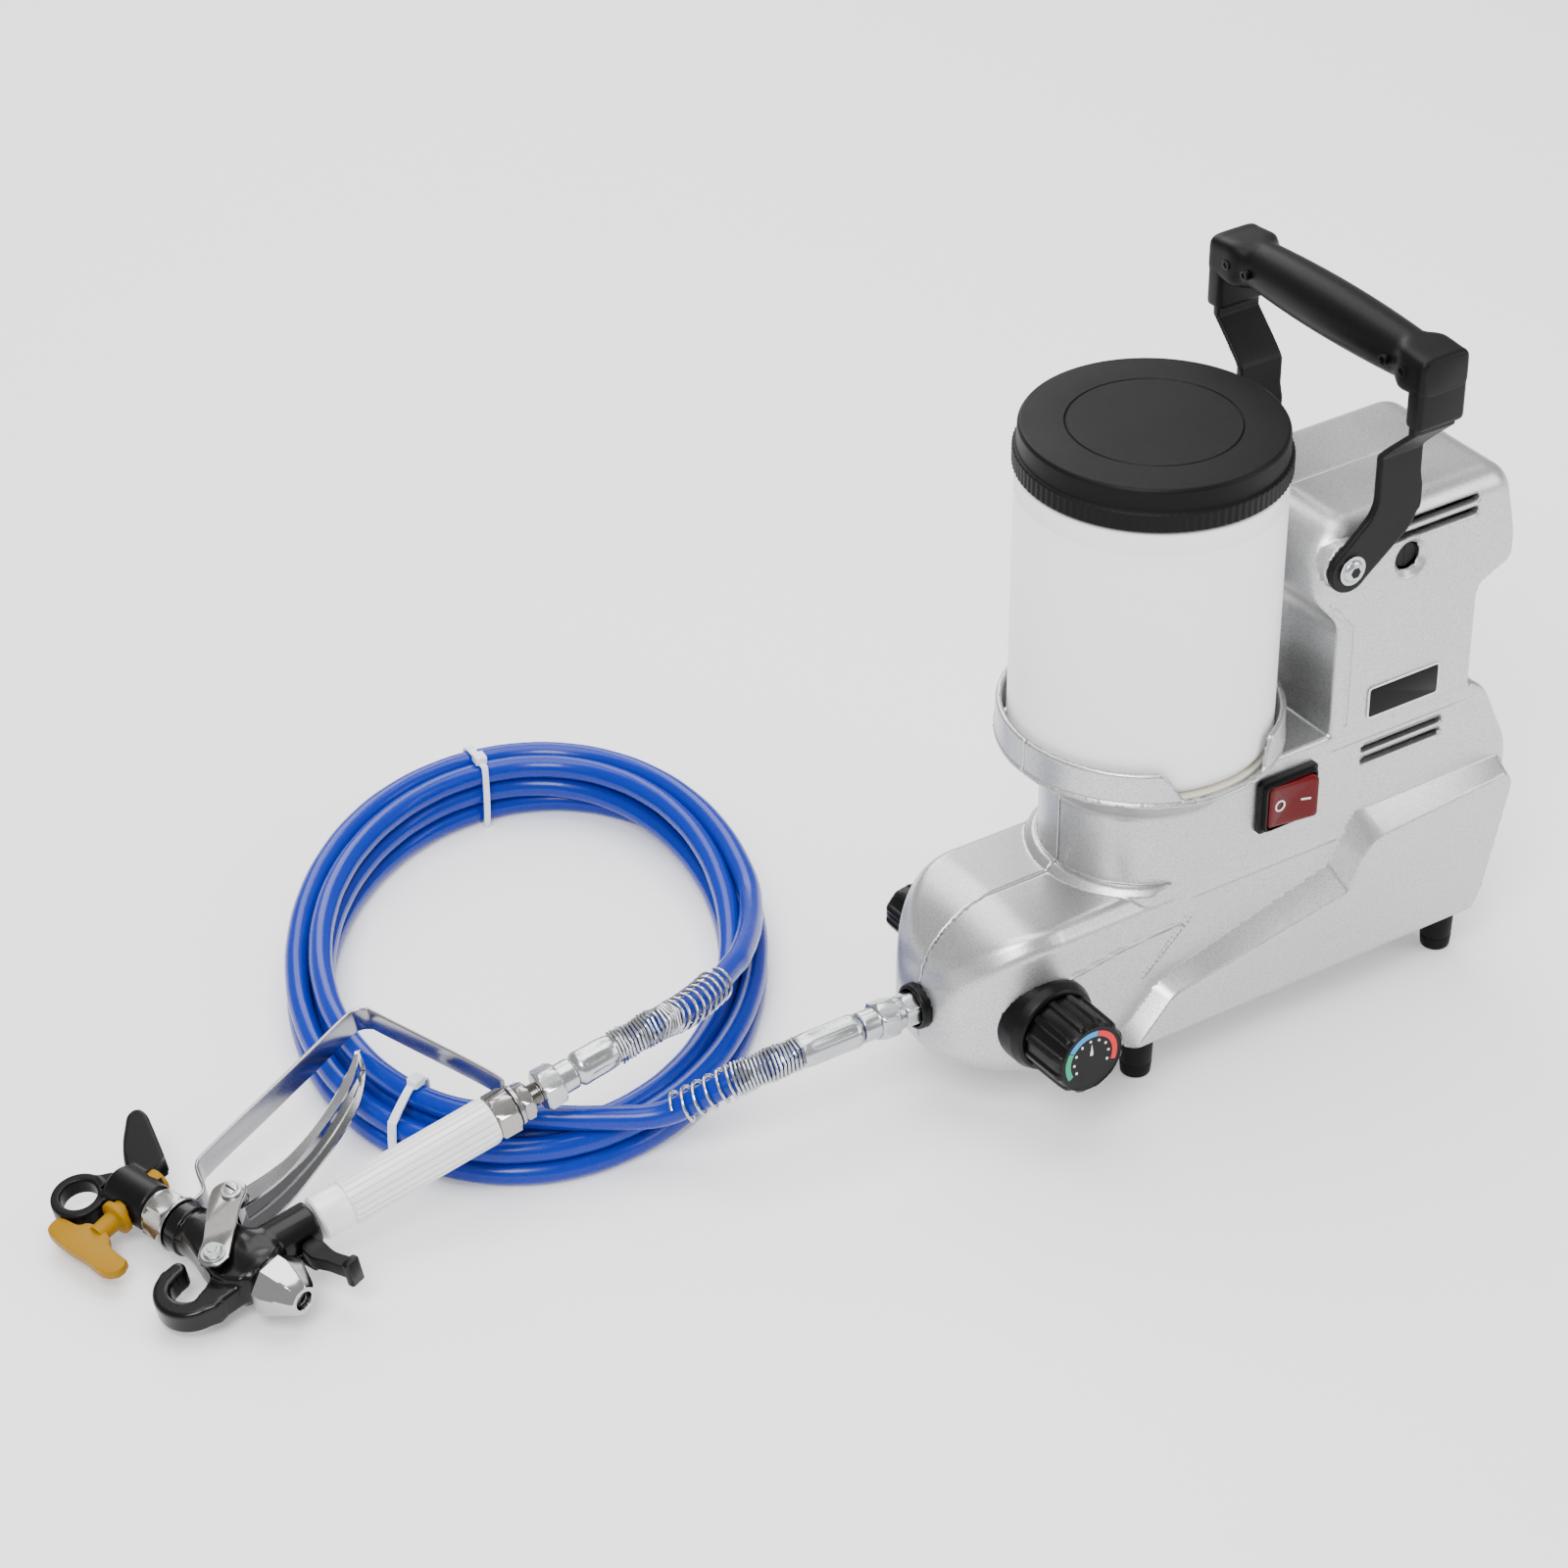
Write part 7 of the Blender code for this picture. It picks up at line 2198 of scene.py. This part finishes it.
    def grip(self) -> None:
        """The white ribbed grip with its smooth collar and the plated nuts below it."""
        low, high = self.grip_start, self.grip_end
        corners = [(5.2, low, 0), (11.2, low, 0), (12.3, low + 1.2, 0), (12.3, low + 15.6, 0),
                   (11.6, low + 16.6, 0), (11.6, low + 17.2, 0), (12.8, low + 18.2, 0),
                   (13.0, low + 20.0, 0), (13.0, high - 4.0, 0), (12.7, high - 1.4, 0), (11.8, high, 0),
                   (5.2, high, 0)]
        angle = np.linspace(0.0, math.tau, 198, endpoint=False)
        wave = -1.1 * smooth_step(np.cos(22 * angle), 0.25, 0.85)
        strength = np.array([0, 0, 0, 0, 0, 0, 0.6, 1.0, 1.0, 0.8, 0, 0])
        body = turned_body(rounded_profile(corners), 198, strength[:, None] * wave[None, :], hollow=True)
        self.put("gun_grip_sleeve", body, GRIP_WHITE, ["gun_grip"], stand=GRIP)
        start = self.grip_end + 0.3
        neck = turned_body(rounded_profile([(0, start + 12.8, 0), (7.0, start + 12.8, 0),
                                            (7.0, start + 16.2, 0.3), (0, start + 16.2, 0)]), 36)
        thread = [(0.0, start + 22.8)]
        for index in range(6):
            thread += [(6.3, start + 22.8 + index), (5.8, start + 23.3 + index)]
        thread += [(5.8, start + 28.9), (0.0, start + 28.9)]
        body = joined(nut_body(start, start + 13.0, 23.0), neck, nut_body(start + 16.0, start + 23.0, 19.0),
                      turned_body(thread, 36))
        self.put("grip_nuts_hex", body, NICKEL, ["grip_nuts"], stand=GRIP)

    def trigger(self) -> None:
        """The chrome channel trigger, its brushed side plates, pivot pin and screw."""
        (x, z), (sx, sz) = self.pin, self.screw
        path = smooth_path([(26.5, -22.0), (24.0, -34.0), (22.5, -50.0), (24.0, -70.0), (28.0, -90.0),
                            (34.5, -110.0), (42.0, -126.0), (50.0, -138.0)], 1.0)
        share = np.linspace(0.0, 1.0, len(path))
        outer = [(-9.5, 4.5), (-9.5, -0.5), (-8.2, -1.8), (8.2, -1.8), (9.5, -0.5), (9.5, 4.5)]
        inner = [(8.0, 4.5), (8.0, 0.4), (7.4, -0.2), (-7.4, -0.2), (-8.0, 0.4), (-8.0, 4.5)]
        section = np.array(outer + inner)
        depth = 1.0 + 0.9 * (1.0 - smooth_step(share, 0.05, 0.5)) - 0.6 * smooth_step(share, 0.75, 0.97)
        width = (1.0 + 0.22 * (1.0 - smooth_step(share, 0.0, 0.35))) * np.sqrt(
            1.0 - 0.94 * np.clip((share - 0.94) / 0.06, 0.0, 1.0) ** 2)
        depth = depth * np.where(share > 0.94, width, 1.0)
        self.put("trigger_channel", strip_body(path, section, width, depth), CHROME, ["trigger"],
                 "trigger_lever", bevel=0.5, sharp=50.0)
        outline = [(x - 8.0, z - 3.0), (x - 7.0, z + 4.5), (x, z + 8.5), (x + 6.0, z + 5.5),
                   (x + 12.0, z - 4.0), (sx + 8.0, sz + 8.0), (sx + 8.5, sz - 2.0), (sx + 3.0, sz - 7.0),
                   (sx - 4.0, sz - 7.0), (sx - 12.0, sz + 6.0)]
        outline = smooth_path(outline + outline[:1], 1.5)[:-1]
        for name, side_sign in (("near", -1), ("far", 1)):
            levels = [(side_sign * self.plate + y, share) for y, share in
                      ((-1.0, 0.97), (-0.6, 1.0), (0.6, 1.0), (1.0, 0.97))]
            self.put(f"trigger_cheek_{name}", skin(edge_plate(outline, levels)), NICKEL, (), "trigger_lever")
            bush = turned_body(rounded_profile([(0, 0, 0), (5.6, 0, 0), (5.6, 1.6, 0.4), (3.9, 1.6, 0),
                                                (3.6, 2.6, 0.5), (0, 2.8, 0)]), 36)
            # A black bar just proud of the screw's top: painted shade standing for its slot, which is not
            # cut.
            painted_slot_shade = prism_body([(-3.4, -0.45), (3.4, -0.45), (3.4, 0.45), (-3.4, 0.45)], 2.55, 2.9)
            base = side_sign * (self.plate + 0.9)
            for label, (points, faces), finish in ((f"trigger_screw_{name}", bush, ZINC),
                                                   (f"trigger_slot_painted_shade_{name}", painted_slot_shade, MOULDED_BLACK)):
                laid = np.column_stack([points[:, 0] + sx, base + side_sign * points[:, 2],
                                        points[:, 1] + sz])
                corners = faces if side_sign < 0 else [face[::-1] for face in faces]
                place_piece(label, GUN.world(laid), corners, finish, "trigger_lever")
        bridge = prism_body(rounded_rectangle(7.0, 7.0, 2.0), -15.0, 15.0)
        self.put("trigger_bridge", bridge, CHROME, (), "trigger_lever", axis="Y", centre=self.screw)
        base = self.plate + 1.2
        washers = [turned_body([(0, low), (6.4, low), (6.4, low + 0.9), (0, low + 0.9)],
                               40) for low in (base, -base - 0.9)]
        nuts = joined(*washers, nut_body(base + 0.8, base + 3.6, 9.4),
                      nut_body(-base - 3.6, -base - 0.8, 9.4),
                      turned_body([(0, -20.9), (2.2, -20.9), (2.7, -20.4), (2.7, 20.4), (2.2, 20.9),
                                   (0, 20.9)], 24))
        self.put("trigger_pin_nuts", nuts, ZINC, ["trigger_pin"], axis="Y", centre=self.pin)

    def guard(self) -> None:
        """The brushed strap round the trigger, with an eye at each end."""
        down = grip_heading()
        forward = np.array([-down[2], down[0]])
        foot = np.array([down[0], down[2]]) * self.foot + forward * 9.0
        corner = np.array(self.guard_corner)
        route = [(46.1, -10.0), (46.1, -17.0), (48.5, -21.5), (58.0, -26.5), (63.5, -31.0), (65.5, -39.0),
                 (67.6, -80.0), (69.8, -120.0), tuple(corner + (-0.9, 12.0)), tuple(corner + (-2.5, 4.5)),
                 tuple(corner + (-8.0, 0.6)), tuple(corner + (-15.0, 0.2)), tuple(foot + forward * 14.0),
                 tuple(foot)]
        path = smooth_path(route, 1.5)
        strap = strip_body(path, rounded_rectangle(16.0, 2.0, 0.9, 3))
        eye = turned_body(rounded_profile([(12.0, 45.1, 0), (15.0, 45.1, 0.3), (15.0, 47.2, 0.3),
                                           (12.0, 47.2, 0)]), 64, hollow=True)
        eye = (on_axis(eye[0], "X"), eye[1])
        ring = turned_body(rounded_profile([(7.3, 162.7, 0), (11.5, 162.7, 0.3), (11.5, 164.9, 0.3),
                                            (7.3, 164.9, 0)]), 64, hollow=True)
        matrix = np.array(GUN.axes).T @ np.array(GRIP.axes)
        ring = (ring[0] @ matrix.T, ring[1])
        self.put("trigger_guard_strap", joined(strap, eye, ring), SATIN_CHROME, ["trigger_guard"], sharp=50.0)

    def lock_lever(self) -> None:
        """The black lever that locks the trigger, with a thumb pad across its end."""
        x, z = self.lock
        outline = smooth_path([(x + 4, z + 4.5), (x - 4, z + 5.5), (x - 12, z + 3.0), (x - 24, z + 0.5),
                               (x - 27, z - 3.0), (x - 25, z - 7.0), (x - 12, z - 4.5), (x, z - 6.0),
                               (x + 5.4, z - 3.0), (x + 6.0, z + 1.5), (x + 4, z + 4.5)], 1.2)[:-1]
        levels = ((-4.5, 0.93), (-4.1, 0.985), (-3.4, 1.0), (3.4, 1.0), (4.1, 0.985), (4.5, 0.93))
        lever = skin(edge_plate(outline, levels))
        pad = rounded_rectangle(5.0, 9.0, 1.6, 3)
        rings = np.stack([np.column_stack([x - 25.5 + pad[:, 0] * s, np.full(len(pad), y),
                                           z - 2.5 + pad[:, 1] * s])
                          for y, s in ((-8.0, 0.8), (-7.4, 1.0), (7.4, 1.0), (8.0, 0.8))])
        bar = skin(rings)
        self.put("trigger_lock_lever", joined(lever, bar), MOULDED_BLACK, ["trigger_lock"], "lock_lever",
                 sharp=40.0)


def dress_kept_nodes(nodes: dict[str, bpy.types.Object], subparts: Iterable[dict]) -> None:
    """Gives every CAD node that is still shown the finish of its slot.

    Args:
        nodes: the CAD nodes by name.
        subparts: the record's list of nodes.
    """
    slots = {entry["node"]: entry["material_slot"] for entry in subparts}
    for name, node in nodes.items():
        if node.hide_render:
            continue
        finish = KEPT_FINISHES.get(slots[name], STEEL)
        node.data.materials.clear()
        node.data.materials.append(finish.material())
        LOG.info("kept %s as %s", name, finish.name)


def main() -> None:
    """Builds the whole sprayer."""
    logging.basicConfig(level=logging.INFO, format="%(message)s")
    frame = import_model()
    Studio().build()
    Hose().build()
    for assembly in (Casing(), Cup(), CarryHandle(), Controls(), Outlet(), Gun()):
        assembly.build()
    dress_kept_nodes(frame["nodes"], frame["record"]["subparts"])


if __name__ == "__main__":
    main()
